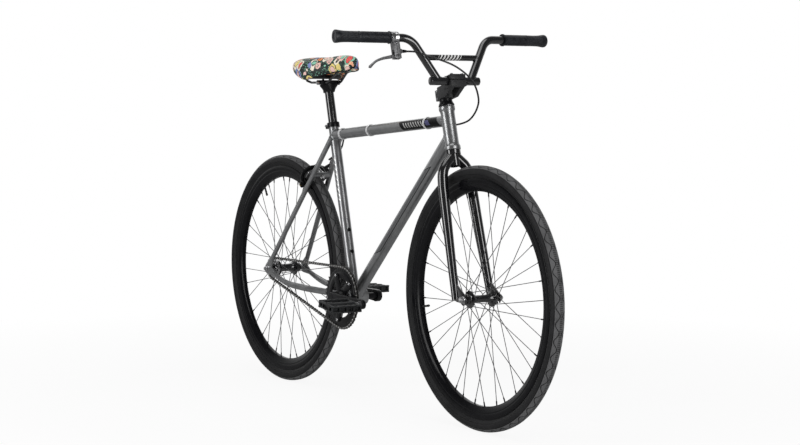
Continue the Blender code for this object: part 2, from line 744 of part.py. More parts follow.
def rear_triangle(top_cutter, seat_cutter, shell_cutter):
    plate_middle = REAR_DROPOUT_INSIDE + DROPOUT_THICKNESS / 2
    stay_direction = stay_along()
    chain_direction = Vector((cos(CHAIN_STAY_END_ANGLE), 0, sin(CHAIN_STAY_END_ANGLE)))
    slot_half = REAR_AXLE_RADIUS + GAP
    seat_stays = None
    for name, side in (("right", -1), ("left", 1)):
        stay_end = REAR_AXLE + stay_direction * STAY_END_DISTANCE
        chain_end = REAR_AXLE + chain_direction * STAY_END_DISTANCE

        ends = (stay_end, chain_end)
        first, second = dropout_plates(side, plate_middle, ends, 0)
        dropout = add_piece(f"rear_dropout_{name}", first, "frame_paint")
        fuse(dropout, add_guide(f"rear_dropout_{name}_foot", second))
        slot = box_mesh(
            (-DROPOUT_RADIUS * 1.5, -slot_half, -side * plate_middle - DROPOUT_THICKNESS),
            (0, slot_half, -side * plate_middle + DROPOUT_THICKNESS),
            side_frame(REAR_AXLE),
        )
        rounding = rod_mesh(
            REAR_AXLE + Y * side * (plate_middle - DROPOUT_THICKNESS),
            REAR_AXLE + Y * side * (plate_middle + DROPOUT_THICKNESS),
            slot_half,
            16,
        )
        cut(
            dropout,
            add_guide(f"rear_dropout_{name}_slot", slot),
            add_guide(f"rear_dropout_{name}_slot_end", rounding),
        )
        stay_slot, chain_slot = (
            add_guide(f"rear_dropout_{name}_outside_{i}", bm)
            for i, bm in enumerate(dropout_plates(side, plate_middle, ends, GAP))
        )

        stay_top = Vector((SEAT_STAY_TOP.x, side * SEAT_STAY_TOP.y, SEAT_STAY_TOP.z))
        stay_foot = stay_end + Y * side * plate_middle - stay_direction * STAY_OVER_DROPOUT
        points = [stay_foot, stay_foot.lerp(stay_top, 0.25), stay_top]
        radii = [SEAT_STAY_END_RADIUS, SEAT_STAY_RADIUS, SEAT_STAY_RADIUS]
        bm = tube_mesh(points, radii, SLIM_SIDES, caps=False)
        if seat_stays is None:
            seat_stays = add_piece("seat_stays", bm, "frame_paint")
            hollow(seat_stays, STAY_WALL)
            cut(seat_stays, seat_cutter, top_cutter, stay_slot)
        else:
            other = add_guide("seat_stay_left_half", bm)
            hollow(other, STAY_WALL)
            cut(other, seat_cutter, top_cutter, stay_slot)
            fuse(seat_stays, other)

        points = [
            chain_end + Y * side * plate_middle - chain_direction * STAY_OVER_DROPOUT,
            REAR_AXLE + chain_direction * CHAIN_STAY_STRAIGHT + Y * side * plate_middle,
        ]
        for behind, spacing, rise in (
            (CHAIN_STAY_BEND_BEHIND_BRACKET, CHAIN_STAY_BEND_HALF_SPACING, CHAIN_STAY_BEND_RISE),
            (CHAIN_STAY_WAIST_BEHIND_BRACKET, CHAIN_STAY_WAIST_HALF_SPACING, CHAIN_STAY_WAIST_RISE),
            (0, CHAIN_STAY_FRONT_HALF_SPACING, CHAIN_STAY_FRONT_RISE),
        ):
            points.append(BRACKET + Vector((-behind, side * spacing, rise)))
        radii = [CHAIN_STAY_END_RADIUS, *[CHAIN_STAY_RADIUS] * 4]
        chain_stay = add_piece(
            f"chain_stay_{name}", tube_mesh(points, radii, SLIM_SIDES, caps=False), "frame_paint"
        )
        hollow(chain_stay, STAY_WALL)
        cut(chain_stay, shell_cutter, chain_slot)

    bridge_centre = REAR_AXLE + stay_direction * BRIDGE_DISTANCE
    share = (bridge_centre.z - REAR_AXLE.z) / (SEAT_STAY_TOP.z - REAR_AXLE.z)
    half_width = plate_middle + (SEAT_STAY_TOP.y - plate_middle) * share
    bridge = rod_mesh(bridge_centre - Y * half_width, bridge_centre + Y * half_width, BRIDGE_RADIUS)
    fuse(seat_stays, add_guide("brake_bridge", bridge))
    behind = stay_behind()
    hole = rod_mesh(
        bridge_centre - behind * 2 * BRIDGE_RADIUS,
        bridge_centre + behind * 2 * BRIDGE_RADIUS,
        CALIPER_BOLT_RADIUS + GAP,
        8,
        reference=Y,
    )
    cut(seat_stays, add_guide("brake_bridge_hole", hole))


def dropout_plates(side, middle, ends, extra):
    """Two plates from the rear axle, one towards the end of each stay."""
    frame = side_frame(REAR_AXLE)
    low = -side * middle - DROPOUT_THICKNESS / 2 - extra
    high = -side * middle + DROPOUT_THICKNESS / 2 + extra
    end_radius = SEAT_STAY_END_RADIUS - STAY_WALL + extra
    plates = []
    for end in ends:
        place = in_side_frame(REAR_AXLE, end)
        outline = link_outline((0, 0), DROPOUT_RADIUS + extra, place, end_radius)
        plates.append(plate_mesh(outline, low, high, frame))
    return plates


def stay_along():
    """Up along the seat stays, in the middle plane."""
    along = SEAT_STAY_TOP - REAR_AXLE
    along.y = 0
    return along.normalized()


def stay_behind():
    along = stay_along()
    return Vector((-along.z, 0, along.x))


def axle_piece(name, centre, radius, inside, hub_right, hub_left):
    """An axle with the locknuts that fill the space to the hub, and its outer nuts."""
    outside = inside + DROPOUT_THICKNESS + GAP
    end = outside + NUT_LENGTH + AXLE_PAST_NUT
    locknut = radius + 0.003
    profile = [
        (0, -end),
        (radius, -end),
        (radius, -inside + GAP),
        (locknut, -inside + GAP),
        (locknut, -hub_right - GAP),
        (radius, -hub_right - GAP),
        (radius, hub_left + GAP),
        (locknut, hub_left + GAP),
        (locknut, inside - GAP),
        (radius, inside - GAP),
        (radius, end),
        (0, end),
    ]
    axle = add_piece(name, turned(profile, 8, centre, Y, closed=False), "steel")
    nuts = bmesh.new()
    for side in (-1, 1):
        start = centre + Y * side * outside
        rod(nuts, start, start + Y * side * NUT_LENGTH, NUT_HALF_WIDTH / cos(pi / 6), 6)
    fuse(axle, add_guide(f"{name}_nuts", nuts))


# Wheels


def wheel(name, centre, valve_angle, flange, barrel, bore, hub_right, hub_left, core=None):
    hub_end = barrel + 0.0015
    half = FLANGE_THICKNESS / 2
    right_end = [(hub_end, -hub_right), (hub_end, -flange - half)]
    if core:
        right_end = [(core, -hub_right), (core, -flange - half)]
    profile = [
        (running_bore(bore, SMALL_SIDES), -hub_right),
        *right_end,
        (FLANGE_RADIUS, -flange - half),
        (FLANGE_RADIUS, -flange + half),
        (barrel, -flange + half + FLANGE_THICKNESS),
        (barrel, flange - half - FLANGE_THICKNESS),
        (FLANGE_RADIUS, flange - half),
        (FLANGE_RADIUS, flange + half),
        (hub_end, flange + half),
        (hub_end, hub_left),
        (running_bore(bore, SMALL_SIDES), hub_left),
    ]
    hub = add_piece(f"{name}_hub", turned(profile, SMALL_SIDES, centre, Y), "black_metal")
    fuse(hub, add_guide(f"{name}_spokes", spokes(centre, valve_angle, flange)))

    rim_profile = [
        (RIM_INNER_RADIUS, RIM_TIP_HALF_WIDTH),
        (RIM_SHOULDER_RADIUS, RIM_HALF_WIDTH),
        (RIM_EDGE_RADIUS, RIM_HALF_WIDTH),
        (RIM_FLOOR_RADIUS, RIM_HOOK_HALF_WIDTH),
    ]
    rim = add_piece(
        f"{name}_rim", turned(mirrored(rim_profile), WHEEL_STEPS, centre, Y), "black_metal"
    )
    wall = RIM_HALF_WIDTH - RIM_HOOK_HALF_WIDTH
    void = [
        (RIM_INNER_RADIUS + 1.5 * wall, RIM_TIP_HALF_WIDTH - wall / 2),
        (RIM_FLOOR_RADIUS - 1.5 * wall, RIM_HOOK_HALF_WIDTH - wall / 4),
    ]
    cut(rim, add_guide(f"{name}_rim_void", turned(mirrored(void), WHEEL_STEPS, centre, Y)))
    out = Vector((cos(valve_angle), 0, sin(valve_angle)))
    valve_foot = centre + out * VALVE_END_RADIUS
    hole = rod_mesh(
        valve_foot, centre + out * (RIM_FLOOR_RADIUS + GAP), VALVE_RADIUS + 2 * GAP, 8
    )
    cut(rim, add_guide(f"{name}_valve_hole", hole))

    tread = TYRE_RADIUS
    bead = RIM_HOOK_HALF_WIDTH - GAP
    shoulder = (tread - TYRE_SHOULDER_DROP, TYRE_SHOULDER_HALF_WIDTH)
    outer = [
        (RIM_FLOOR_RADIUS + GAP, bead),
        (RIM_EDGE_RADIUS + 3 * GAP, bead),
        (TYRE_WIDEST_RADIUS, TYRE_HALF_WIDTH),
        shoulder,
        (tread, TREAD_FLAT_HALF_WIDTH),
    ]
    inner = [
        (tread - 2.6 * TYRE_WALL, shoulder[1] - TYRE_WALL / 2),
        (RIM_FLOOR_RADIUS + GAP, bead - TYRE_BEAD_THICKNESS),
    ]
    casing = outer + [(r, -y) for r, y in outer[::-1]]
    casing += [(r, -y) for r, y in inner[::-1]] + inner
    add_piece(f"{name}_tyre", turned(casing, WHEEL_STEPS, centre, Y), "tyre")

    tube_profile = [
        (RIM_FLOOR_RADIUS + 2 * GAP, inner[1][1] - 2 * GAP),
        (inner[0][0] - 2 * GAP, inner[0][1] - 2 * GAP),
    ]
    tube = add_piece(
        f"{name}_inner_tube", turned(mirrored(tube_profile), WHEEL_STEPS, centre, Y), "rubber"
    )
    air = [
        (tube_profile[0][0] + INNER_TUBE_WALL, tube_profile[0][1] - INNER_TUBE_WALL),
        (tube_profile[1][0] - INNER_TUBE_WALL, tube_profile[1][1] - INNER_TUBE_WALL),
    ]
    stem = rod_mesh(valve_foot, centre + out * (air[0][0] - GAP), VALVE_RADIUS, 8)
    bore_mesh = rod_mesh(
        valve_foot - out * GAP, centre + out * (air[0][0] + INNER_TUBE_WALL), VALVE_RADIUS / 2.5, 6
    )
    fuse(tube, add_guide(f"{name}_valve_stem", stem))
    cut(
        tube,
        add_guide(f"{name}_inner_tube_air", turned(mirrored(air), WHEEL_STEPS, centre, Y)),
        add_guide(f"{name}_valve_bore", bore_mesh),
    )


def running_bore(radius, sides):
    """The corner radius of a many-sided bore that clears a turning bar all round."""
    return (radius + GAP) / cos(pi / sides)


def mirrored(half_profile):
    """A profile of (radius, half width) points, closed by its mirror image."""
    return half_profile + [(r, -y) for r, y in half_profile[::-1]]


def spokes(centre, valve_angle, flange):
    """Spokes laced over three, half of them on each flange, clear of the valve."""
    bm = bmesh.new()
    step = 2 * pi / SPOKE_COUNT
    first = valve_angle + step / 2
    offset = SPOKE_RADIUS + GAP / 2
    for side in (-1, 1):
        for i in range(SPOKE_COUNT // 2):
            lean = 1 if i % 2 else -1
            angle = first + 2 * step * i + (step if side > 0 else 0)
            hub_point = Vector((cos(angle), 0, sin(angle))) * SPOKE_CIRCLE
            hub_point.y = side * flange + lean * offset
            rim_angle = angle + lean * SPOKE_CROSSING
            out = Vector((cos(rim_angle), 0, sin(rim_angle)))
            rim_point = out * (RIM_INNER_RADIUS * cos(pi / WHEEL_STEPS) - GAP)
            rim_point.y = side * SPOKE_HALF_SPREAD_AT_RIM + lean * offset
            rod(bm, centre + hub_point, centre + rim_point, SPOKE_RADIUS, 4)
    return bm


# Fork, stem and handlebar, in the steering axis' own frame


def steering_parts(steering):
    cover_bottom = HEAD_TUBE_LENGTH + GAP
    spacer_bottom = cover_bottom + HEADSET_COVER_HEIGHT
    stem_bottom = spacer_bottom + SPACER_HEIGHT + GAP
    stem_top = stem_bottom + STEM_CLAMP_HEIGHT
    bore = STEERER_RADIUS - STEERER_WALL
    race_bottom = -CROWN_RACE_HEIGHT
    race_step = -0.0035
    steerer = [
        (bore, -STEERER_BELOW_HEAD),
        (STEERER_RADIUS, -STEERER_BELOW_HEAD),
        (STEERER_RADIUS, race_bottom),
        (BEARING_RADIUS, race_bottom),
        (BEARING_RADIUS, race_step),
        (BEARING_RADIUS - 0.002, -GAP),
        (STEERER_RADIUS, -GAP),
        (STEERER_RADIUS, stem_top - 0.002),
        (bore, stem_top - 0.002),
    ]
    add_piece("steerer", turned(steerer, TUBE_SIDES), "black_paint", steering, local=True)
    outside = [
        (0, -STEERER_BELOW_HEAD - GAP),
        (STEERER_RADIUS + GAP, -STEERER_BELOW_HEAD - GAP),
        (STEERER_RADIUS + GAP, race_bottom - GAP),
        (BEARING_RADIUS + GAP, race_bottom - GAP),
        (BEARING_RADIUS + GAP, 0),
        (0, 0),
    ]
    outside_mesh = turned(outside, TUBE_SIDES, closed=False, reference=BAR_FACING)
    steerer_cutter = add_guide("steerer_outside", outside_mesh, steering, local=True)
    for name, side in (("right", -1), ("left", 1)):
        fork_blade(name, side, steering, steerer_cutter)

    inside = STEERER_RADIUS + GAP
    cover = [
        (inside, cover_bottom),
        (HEADSET_COVER_RADIUS, cover_bottom),
        (HEADSET_COVER_RADIUS, cover_bottom + 0.004),
        (SPACER_RADIUS, spacer_bottom),
        (SPACER_RADIUS, spacer_bottom + SPACER_HEIGHT),
        (inside, spacer_bottom + SPACER_HEIGHT),
    ]
    add_piece("headset_cover", turned(cover, TUBE_SIDES), "black_metal", steering, local=True)
    stem(steering, stem_bottom, stem_top)
    handlebar(steering, bar_height())


def bar_height():
    """Height of the bar's middle above the head tube's bottom."""
    spacers = HEADSET_COVER_HEIGHT + SPACER_HEIGHT + 2 * GAP
    return HEAD_TUBE_LENGTH + spacers + BAR_ABOVE_COVER


# The blade's bend from the crown to its shoulder, as shares of its set-back, spread and depth
BLADE_BEND_SHARES = (
    (0, 0, 0),
    (0, 0.5256, 0.2171),
    (0.3333, 0.7955, 0.3947),
    (0.6667, 0.9290, 0.6316),
    (1, 1, 1),
)


def fork_blade(name, side, steering, steerer_cutter):
    axle_x, axle_z = FORK_RAKE, -FORK_LENGTH
    outside = FORK_DROPOUT_INSIDE + DROPOUT_THICKNESS
    outward = BLADE_SHOULDER_HALF_SPACING - BLADE_TOP_HALF_SPACING
    downward = BLADE_SHOULDER_DEPTH - BLADE_TOP_DEPTH
    points = []
    for back, across, down in BLADE_BEND_SHARES:
        spacing = BLADE_TOP_HALF_SPACING + outward * across
        depth = BLADE_TOP_DEPTH + downward * down
        points.append(Vector((-BLADE_SET_BACK * back, side * spacing, -depth)))
    foot_spacing = outside - BLADE_FOOT_INSET
    points.append(Vector((-BLADE_SET_BACK, side * foot_spacing, axle_z + BLADE_FOOT_RISE)))
    radii = [BLADE_RADIUS] * 5 + [BLADE_END_RADIUS]
    shell = tube_mesh(points, radii, SMALL_SIDES)
    blade = add_piece(f"fork_blade_{name}", shell, "black_paint", steering, local=True)
    core_radii = [radius * cos(pi / 8) - BLADE_WALL for radius in radii]
    core_points = points[:-1] + [points[-2].lerp(points[-1], 0.85)]
    core = tube_mesh(core_points, core_radii, 8)

    frame = side_frame(Vector((axle_x, 0, axle_z)))
    low, high = sorted((-side * FORK_DROPOUT_INSIDE, -side * outside))
    tang_end = (-FORK_TANG_REACH, FORK_TANG_RISE)
    shelf_end = (-FORK_TANG_REACH, FORK_SHELF_RISE)
    tang = link_outline((0, 0), FORK_DROPOUT_RADIUS, tang_end, FORK_TANG_END_RADIUS)
    shelf = link_outline((0, 0), FORK_DROPOUT_RADIUS, shelf_end, FORK_SHELF_RISE)
    for part, outline in (("tang", tang), ("shelf", shelf)):
        bm = plate_mesh(outline, low, high, frame)
        fuse(blade, add_guide(f"fork_dropout_{name}_{part}", bm, steering, local=True))
    slot_half = FRONT_AXLE_RADIUS + GAP
    slot = box_mesh(
        (-slot_half, -2 * FORK_DROPOUT_RADIUS, low - outside / 4),
        (slot_half, 0, high + outside / 4),
        frame,
    )
    middle = Vector((axle_x, 0, axle_z))
    rounding = rod_mesh(
        middle + Y * side * FORK_DROPOUT_INSIDE / 2, middle + Y * side * 2 * outside, slot_half
    )
    cut(
        blade,
        add_guide(f"fork_dropout_{name}_slot", slot, steering, local=True),
        add_guide(f"fork_dropout_{name}_slot_end", rounding, steering, local=True),
        add_guide(f"fork_blade_{name}_bore", core, steering, local=True),
        steerer_cutter,
    )


def stem(steering, bottom, top):
    bar = bar_height()
    block_bottom = bar - 0.018
    split = bar - STEM_SPLIT / 2
    upright = Matrix.Rotation(pi / 2, 4, "X")
    side_outline = [
        (0, bottom),
        (0.030, bottom),
        (BAR_FORWARD + 0.0155, block_bottom + 0.001),
        (BAR_FORWARD + 0.0175, split),
        (BAR_FORWARD - 0.0190, split),
        (0.020, top),
        (0, top),
    ]
    half = STEM_WALL_HALF_WIDTH
    clamp_profile = [(0, bottom), (STEM_CLAMP_RADIUS, bottom), (STEM_CLAMP_RADIUS, top), (0, top)]
    clamp = turned(clamp_profile, TUBE_SIDES, closed=False)
    piece = add_piece("stem", clamp, "black_paint", steering, local=True)
    walls = add_guide(
        "stem_walls", plate_mesh(side_outline, -half, half, upright), steering, local=True
    )
    block = box_mesh(
        (BAR_FORWARD - STEM_BLOCK_HALF_LENGTH, -STEM_BLOCK_HALF_WIDTH, block_bottom),
        (BAR_FORWARD + STEM_BLOCK_HALF_LENGTH, STEM_BLOCK_HALF_WIDTH, split),
    )
    ear_half = 0.011
    ears = box_mesh((-0.030, -ear_half, bottom + 0.002), (-0.012, ear_half, top - 0.002))
    fuse(
        piece,
        walls,
        add_guide("stem_block", block, steering, local=True),
        add_guide("stem_ears", ears, steering, local=True),
    )
    pocket = box_mesh(
        (STEM_CLAMP_RADIUS + 0.002, -STEM_POCKET_HALF_WIDTH, bottom - 0.01),
        (BAR_FORWARD + 0.010, STEM_POCKET_HALF_WIDTH, block_bottom + 0.004),
    )
    slot = box_mesh(
        (-0.040, -PINCH_SLOT / 2, bottom - 0.01), (0, PINCH_SLOT / 2, top + 0.01)
    )
    steerer_bore = rod_mesh(Z * (bottom - 0.01), Z * (top + 0.01), STEERER_RADIUS + GAP, TUBE_SIDES)
    reach = STEM_BLOCK_HALF_WIDTH + 0.01
    middle = Vector((BAR_FORWARD, 0, bar))
    bar_bore = rod_mesh(
        middle - Y * reach, middle + Y * reach, BAR_RADIUS + GAP, TUBE_SIDES, reference=BAR_FACING
    )
    bar_cutter = add_guide("stem_bar_bore", bar_bore, steering, local=True)
    cut(
        piece,
        add_guide("stem_pocket", pocket, steering, local=True),
        add_guide("stem_slot", slot, steering, local=True),
        add_guide("stem_steerer_bore", steerer_bore, steering, local=True),
        bar_cutter,
    )
    cap = box_mesh(
        (BAR_FORWARD - STEM_BLOCK_HALF_LENGTH, -STEM_BLOCK_HALF_WIDTH, split + STEM_SPLIT),
        (BAR_FORWARD + STEM_BLOCK_HALF_LENGTH, STEM_BLOCK_HALF_WIDTH, split + STEM_CAP_HEIGHT),
    )
    bmesh.ops.bevel(
        cap,
        geom=[e for e in cap.edges if all(v.co.z > bar + STEM_SPLIT for v in e.verts)],
        offset=0.002,
        segments=1,
        profile=0.5,
        affect="EDGES",
        material=-1,
    )
    cap_piece = add_piece("stem_cap", cap, "black_paint", steering, local=True)
    cut(cap_piece, bar_cutter)


def bar_corner(side):
    return Vector((BAR_FORWARD, side * UPRIGHT_HEAD, bar_height() + BAR_RISE))


def grip_direction(side):
    """Outwards along a grip, in the steering frame."""
    return Vector((-tan(BACKSWEEP), side, tan(UPSWEEP))).normalized()


def on_grip(side, width):
    """The point of the bar's middle line at a distance from the middle plane."""
    direction = grip_direction(side)
    return bar_corner(side) + direction * ((width - UPRIGHT_HEAD) / abs(direction.y))


def handlebar(steering, height):
    foot = Vector((BAR_FORWARD, 0, height))
    tube_end = BAR_FOOT_HALF_WIDTH
    dome = 0.004
    profile = [
        (0, -tube_end),
        (BAR_RADIUS - dome, -tube_end),
        (BAR_RADIUS, -tube_end + dome),
        (BAR_RADIUS, tube_end - dome),
        (BAR_RADIUS - dome, tube_end),
        (0, tube_end),
    ]
    piece = add_piece(
        "handlebar",
        turned(profile, TUBE_SIDES, foot, Y, closed=False, reference=BAR_FACING),
        "black_paint",
        steering,
        local=True,
    )
    for name, side in (("right", -1), ("left", 1)):
        corners = [
            Vector((BAR_FORWARD, side * UPRIGHT_FOOT, height)),
            bar_corner(side),
            on_grip(side, BAR_HALF_WIDTH - GRIP_END_WALL - GAP),
        ]
        path = rounded_path(corners, BAR_BEND_RADIUS)
        bm = tube_mesh(path, [BAR_RADIUS] * len(path), SMALL_SIDES)
        fuse(piece, add_guide(f"handlebar_{name}", bm, steering, local=True))
    rise_share = CROSSBAR_RISE / BAR_RISE
    crossbar_half = UPRIGHT_FOOT + (UPRIGHT_HEAD - UPRIGHT_FOOT) * rise_share
    crossbar_middle = foot + Z * CROSSBAR_RISE
    crossbar = rod_mesh(
        crossbar_middle - Y * crossbar_half,
        crossbar_middle + Y * crossbar_half,
        CROSSBAR_RADIUS,
        SLIM_SIDES,
    )
    fuse(piece, add_guide("crossbar", crossbar, steering, local=True))
    for name, side in (("right", -1), ("left", 1)):
        grip(name, side, steering)


def grip(name, side, steering):
    direction = grip_direction(side)
    end = on_grip(side, BAR_HALF_WIDTH)
    start = end - direction * GRIP_LENGTH
    bore = BAR_RADIUS + GAP
    flange = 0.003
    rib_start = flange + 0.012
    rib_pitch = (GRIP_LENGTH - 2 * rib_start) / GRIP_RIB_COUNT
    outline = [(GRIP_FLANGE_RADIUS, 0), (GRIP_FLANGE_RADIUS, flange), (GRIP_RADIUS, flange + 0.003)]
    for i in range(GRIP_RIB_COUNT):
        low = rib_start + i * rib_pitch
        top = GRIP_RADIUS + GRIP_RIB_HEIGHT
        outline += [
            (GRIP_RADIUS, low),
            (top, low + rib_pitch * 0.25),
            (top, low + rib_pitch * 0.75),
            (GRIP_RADIUS, low + rib_pitch),
        ]
    outline += [
        (GRIP_RADIUS + 0.0025, GRIP_LENGTH - 0.010),
        (GRIP_RADIUS + 0.0025, GRIP_LENGTH - 0.003),
        (GRIP_RADIUS - 0.002, GRIP_LENGTH),
        (0, GRIP_LENGTH),
    ]
    inside = [(0, GRIP_LENGTH - GRIP_END_WALL), (bore, GRIP_LENGTH - GRIP_END_WALL), (bore, 0)]
    profile = inside + outline
    bm = turned(profile, SMALL_SIDES, start, direction, closed=False, reference=Z)
    add_piece(f"grip_{name}", bm, "rubber", steering, local=True)


def brake_lever(steering):
    """The lever of the rear brake hangs from the right side of the bar."""
    clamp = on_grip(-1, LEVER_CLAMP_INBOARD)
    outwards = grip_direction(-1)
    half = LEVER_CLAMP_WIDTH / 2
    pivot = Vector((clamp.x, clamp.y, clamp.z - LEVER_DROP))
    clamp_bore = BAR_RADIUS + GAP
    ring = pipe_mesh(
        clamp - outwards * half,
        clamp + outwards * half,
        LEVER_CLAMP_RADIUS,
        LEVER_CLAMP_RADIUS - clamp_bore,
        SMALL_SIDES,
        reference=Z,
    )
    bracket = add_piece("lever_bracket", ring, "silver", steering, local=True)
    body_half = LEVER_BODY_THICKNESS / 2
    boss = 0.008
    body = box_mesh(
        (pivot.x - body_half, pivot.y - half + 0.002, pivot.z - boss),
        (pivot.x + body_half, pivot.y + half + 0.001, clamp.z - clamp_bore - 0.001),
    )
    adjuster_end = -ADJUSTER_INBOARD
    socket_end = pivot.y + half + 0.008
    socket_middle = Vector((pivot.x, 0, pivot.z + boss * 1.6))
    socket = rod_mesh(
        socket_middle + Y * (pivot.y + half - 0.005), socket_middle + Y * socket_end, 0.0065, 10
    )
    fuse(
        bracket,
        add_guide("lever_body", body, steering, local=True),
        add_guide("lever_socket", socket, steering, local=True),
    )
    slot_half = LEVER_THICKNESS / 2 + 2 * GAP
    slot = box_mesh(
        (pivot.x - slot_half, pivot.y - 2 * half, pivot.z - 2 * boss),
        (pivot.x + slot_half, pivot.y + boss + 2 * GAP, pivot.z + boss + 0.002),
    )
    hole = rod_mesh(
        pivot - X * 2 * body_half, pivot + X * 2 * body_half, LEVER_PIN_RADIUS + GAP, 8
    )
    cable_hole = rod_mesh(
        socket_middle + Y * (pivot.y - half), socket_middle + Y * (socket_end + GAP), 0.0035, 8
    )
    cut(
        bracket,
        add_guide("lever_slot", slot, steering, local=True),
        add_guide("lever_pin_hole", hole, steering, local=True),
        add_guide("lever_cable_hole", cable_hole, steering, local=True),
    )

    adjuster = [
        (0.0013, socket_end - 0.006),
        (0.0032, socket_end - 0.006),
        (0.0032, socket_end + GAP),
        (ADJUSTER_RADIUS, socket_end + GAP),
        (ADJUSTER_RADIUS, adjuster_end - 0.003),
        (ADJUSTER_RADIUS - 0.001, adjuster_end),
        (0.0013, adjuster_end),
    ]
    add_piece(
        "barrel_adjuster", turned(adjuster, 8, socket_middle, Y), "black_metal", steering, local=True
    )

    lever_axis = add_empty("brake_lever_axis", Vector())
    lever_axis.parent = steering
    lever_axis.location = pivot
    flat = Matrix.Rotation(pi / 2, 4, "Y") @ Matrix.Rotation(pi / 2, 4, "Z")
    tip = (-LEVER_REACH * cos(LEVER_REST_ANGLE), -LEVER_REACH * sin(LEVER_REST_ANGLE))
    knee = (tip[0] * 0.35, tip[1] * 0.35 - 0.002)
    half_thick = LEVER_THICKNESS / 2
    blade = plate_mesh(
        link_outline((0, 0), boss - GAP, knee, 0.0065), -half_thick, half_thick, flat
    )
    lever = add_piece("brake_lever", blade, "silver", lever_axis, local=True)
    finger = plate_mesh(
        link_outline(knee, 0.0065, tip, 0.0055), -half_thick * 0.8, half_thick * 0.8, flat
    )
    pin_half = body_half
    pin = rod_mesh(-X * pin_half, X * pin_half, LEVER_PIN_RADIUS, 8)
    fuse(
        lever,
        add_guide("lever_finger", finger, lever_axis, local=True),
        add_guide("lever_pin", pin, lever_axis, local=True),
    )


# Saddle and seat post


def saddle_parts():
    seat_axis = add_empty("seat_height_axis", SEAT_TOP)
    post_bottom = POST_TOP - SEAT_UP * POST_LENGTH
    post = add_piece(
        "seat_post", pipe_mesh(post_bottom, POST_TOP, POST_RADIUS, 0.0016), "black_paint", seat_axis
    )
    bottom = -COLLAR_HEIGHT
    ring = [(0, bottom), (COLLAR_RADIUS, bottom), (COLLAR_RADIUS, 0), (0, 0)]
    ring_mesh = turned(ring, TUBE_SIDES, SEAT_TOP, SEAT_UP, closed=False)
    collar = add_piece("seat_collar", ring_mesh, "black_metal")
    back = -axes_for(SEAT_UP)[0]
    collar_frame = Matrix.Translation(SEAT_TOP) @ Matrix((back, -Y, SEAT_UP)).transposed().to_4x4()
    ears = box_mesh(
        (0.014, -COLLAR_EAR_HALF_WIDTH, bottom + 0.002),
        (COLLAR_EAR_DEPTH, COLLAR_EAR_HALF_WIDTH, -0.002),
        collar_frame,
    )
    fuse(collar, add_guide("seat_collar_ears", ears))
    slot = box_mesh(
        (COLLAR_RADIUS / 4, -PINCH_SLOT / 2, bottom * 2),
        (COLLAR_EAR_DEPTH * 2, PINCH_SLOT / 2, -bottom),
        collar_frame,
    )
    bore = rod_mesh(
        SEAT_TOP + SEAT_UP * bottom * 2,
        SEAT_TOP - SEAT_UP * bottom,
        SEAT_TUBE_RADIUS + GAP,
        TUBE_SIDES,
    )
    cut(collar, add_guide("seat_collar_slot", slot), add_guide("seat_collar_bore", bore))

    rail_height = POST_TOP.z + RAIL_ABOVE_POST
    clamp_x = POST_TOP.x
    half_length = SADDLE_CLAMP_HALF_LENGTH
    clamp_width = RAIL_HALF_SPACING + 0.009
    lower = box_mesh(
        (clamp_x - half_length, -clamp_width, rail_height - SADDLE_CLAMP_PLATE),
        (clamp_x + half_length, clamp_width, rail_height + SADDLE_CLAMP_PLATE),
    )
    bevel_all(lower, 0.003)
    clamp = add_piece("saddle_clamp", lower, "black_metal", seat_axis)
    socket = POST_RADIUS + GAP
    sleeve_outside = POST_RADIUS + 0.004
    sleeve_profile = [
        (0, 0.007),
        (sleeve_outside, 0.007),
        (sleeve_outside, -0.018),
        (socket, -0.018),
        (socket, GAP),
        (0, GAP),
    ]
    sleeve = turned(sleeve_profile, TUBE_SIDES, POST_TOP, SEAT_UP, closed=False)
    fuse(clamp, add_guide("saddle_clamp_sleeve", sleeve, seat_axis))
    rails = rail_route(rail_height)
    radii = [RAIL_RADIUS] * len(rails)
    add_piece("saddle_rails", tube_mesh(rails, radii, 8), "black_paint", seat_axis)
    longer = [extended(rails[1], rails[0]), *rails[1:-1], extended(rails[-2], rails[-1])]
    wide = tube_mesh(longer, [RAIL_RADIUS + GAP] * len(rails), 8)
    rail_cutter = add_guide("saddle_rails_outside", wide, seat_axis)
    cut(clamp, rail_cutter)

    pad, base = saddle_shell()
    add_piece("saddle_pad", pad, "cover", seat_axis)
    base_piece = add_piece("saddle_base", base, "plastic", seat_axis)
    cut(base_piece, rail_cutter)


def extended(before, end):
    """The end of a path, moved on by the clearance."""
    return end + (end - before).normalized() * GAP


def bevel_all(bm, width):
    bmesh.ops.bevel(
        bm, geom=bm.edges[:], offset=width, segments=1, profile=0.5, affect="EDGES", material=-1
    )


def rail_route(height):
    """One bent wire: up into the base at the back on both sides, round the nose in front."""
    half = RAIL_HALF_SPACING
    back = RAIL_BACK_HALF_SPACING
    nose = RAIL_NOSE_HALF_SPACING
    side = []
    for ahead, spacing, rise in (
        (-RAIL_BACK_BEHIND_POST, back, RAIL_BACK_RISE),
        (-RAIL_BACK_BEHIND_POST, back * 0.75 + half * 0.25, RAIL_BACK_BEND_RISE),
        (-RAIL_FLAT_BEHIND_POST, half, 0),
        (RAIL_FLAT_AHEAD_OF_POST, half, 0),
        (RAIL_NOSE_AHEAD_OF_POST - RAIL_NOSE_LENGTH, 2.5 * nose, RAIL_NOSE_RISE * 0.957),
        (RAIL_NOSE_AHEAD_OF_POST, nose, RAIL_NOSE_RISE),
    ):
        side.append(Vector((POST_TOP.x + ahead, -spacing, height + rise)))
    route = side + [Vector((p.x, -p.y, p.z)) for p in side[::-1]]
    return rounded_path(route, RAIL_BEND_RADIUS, 2)


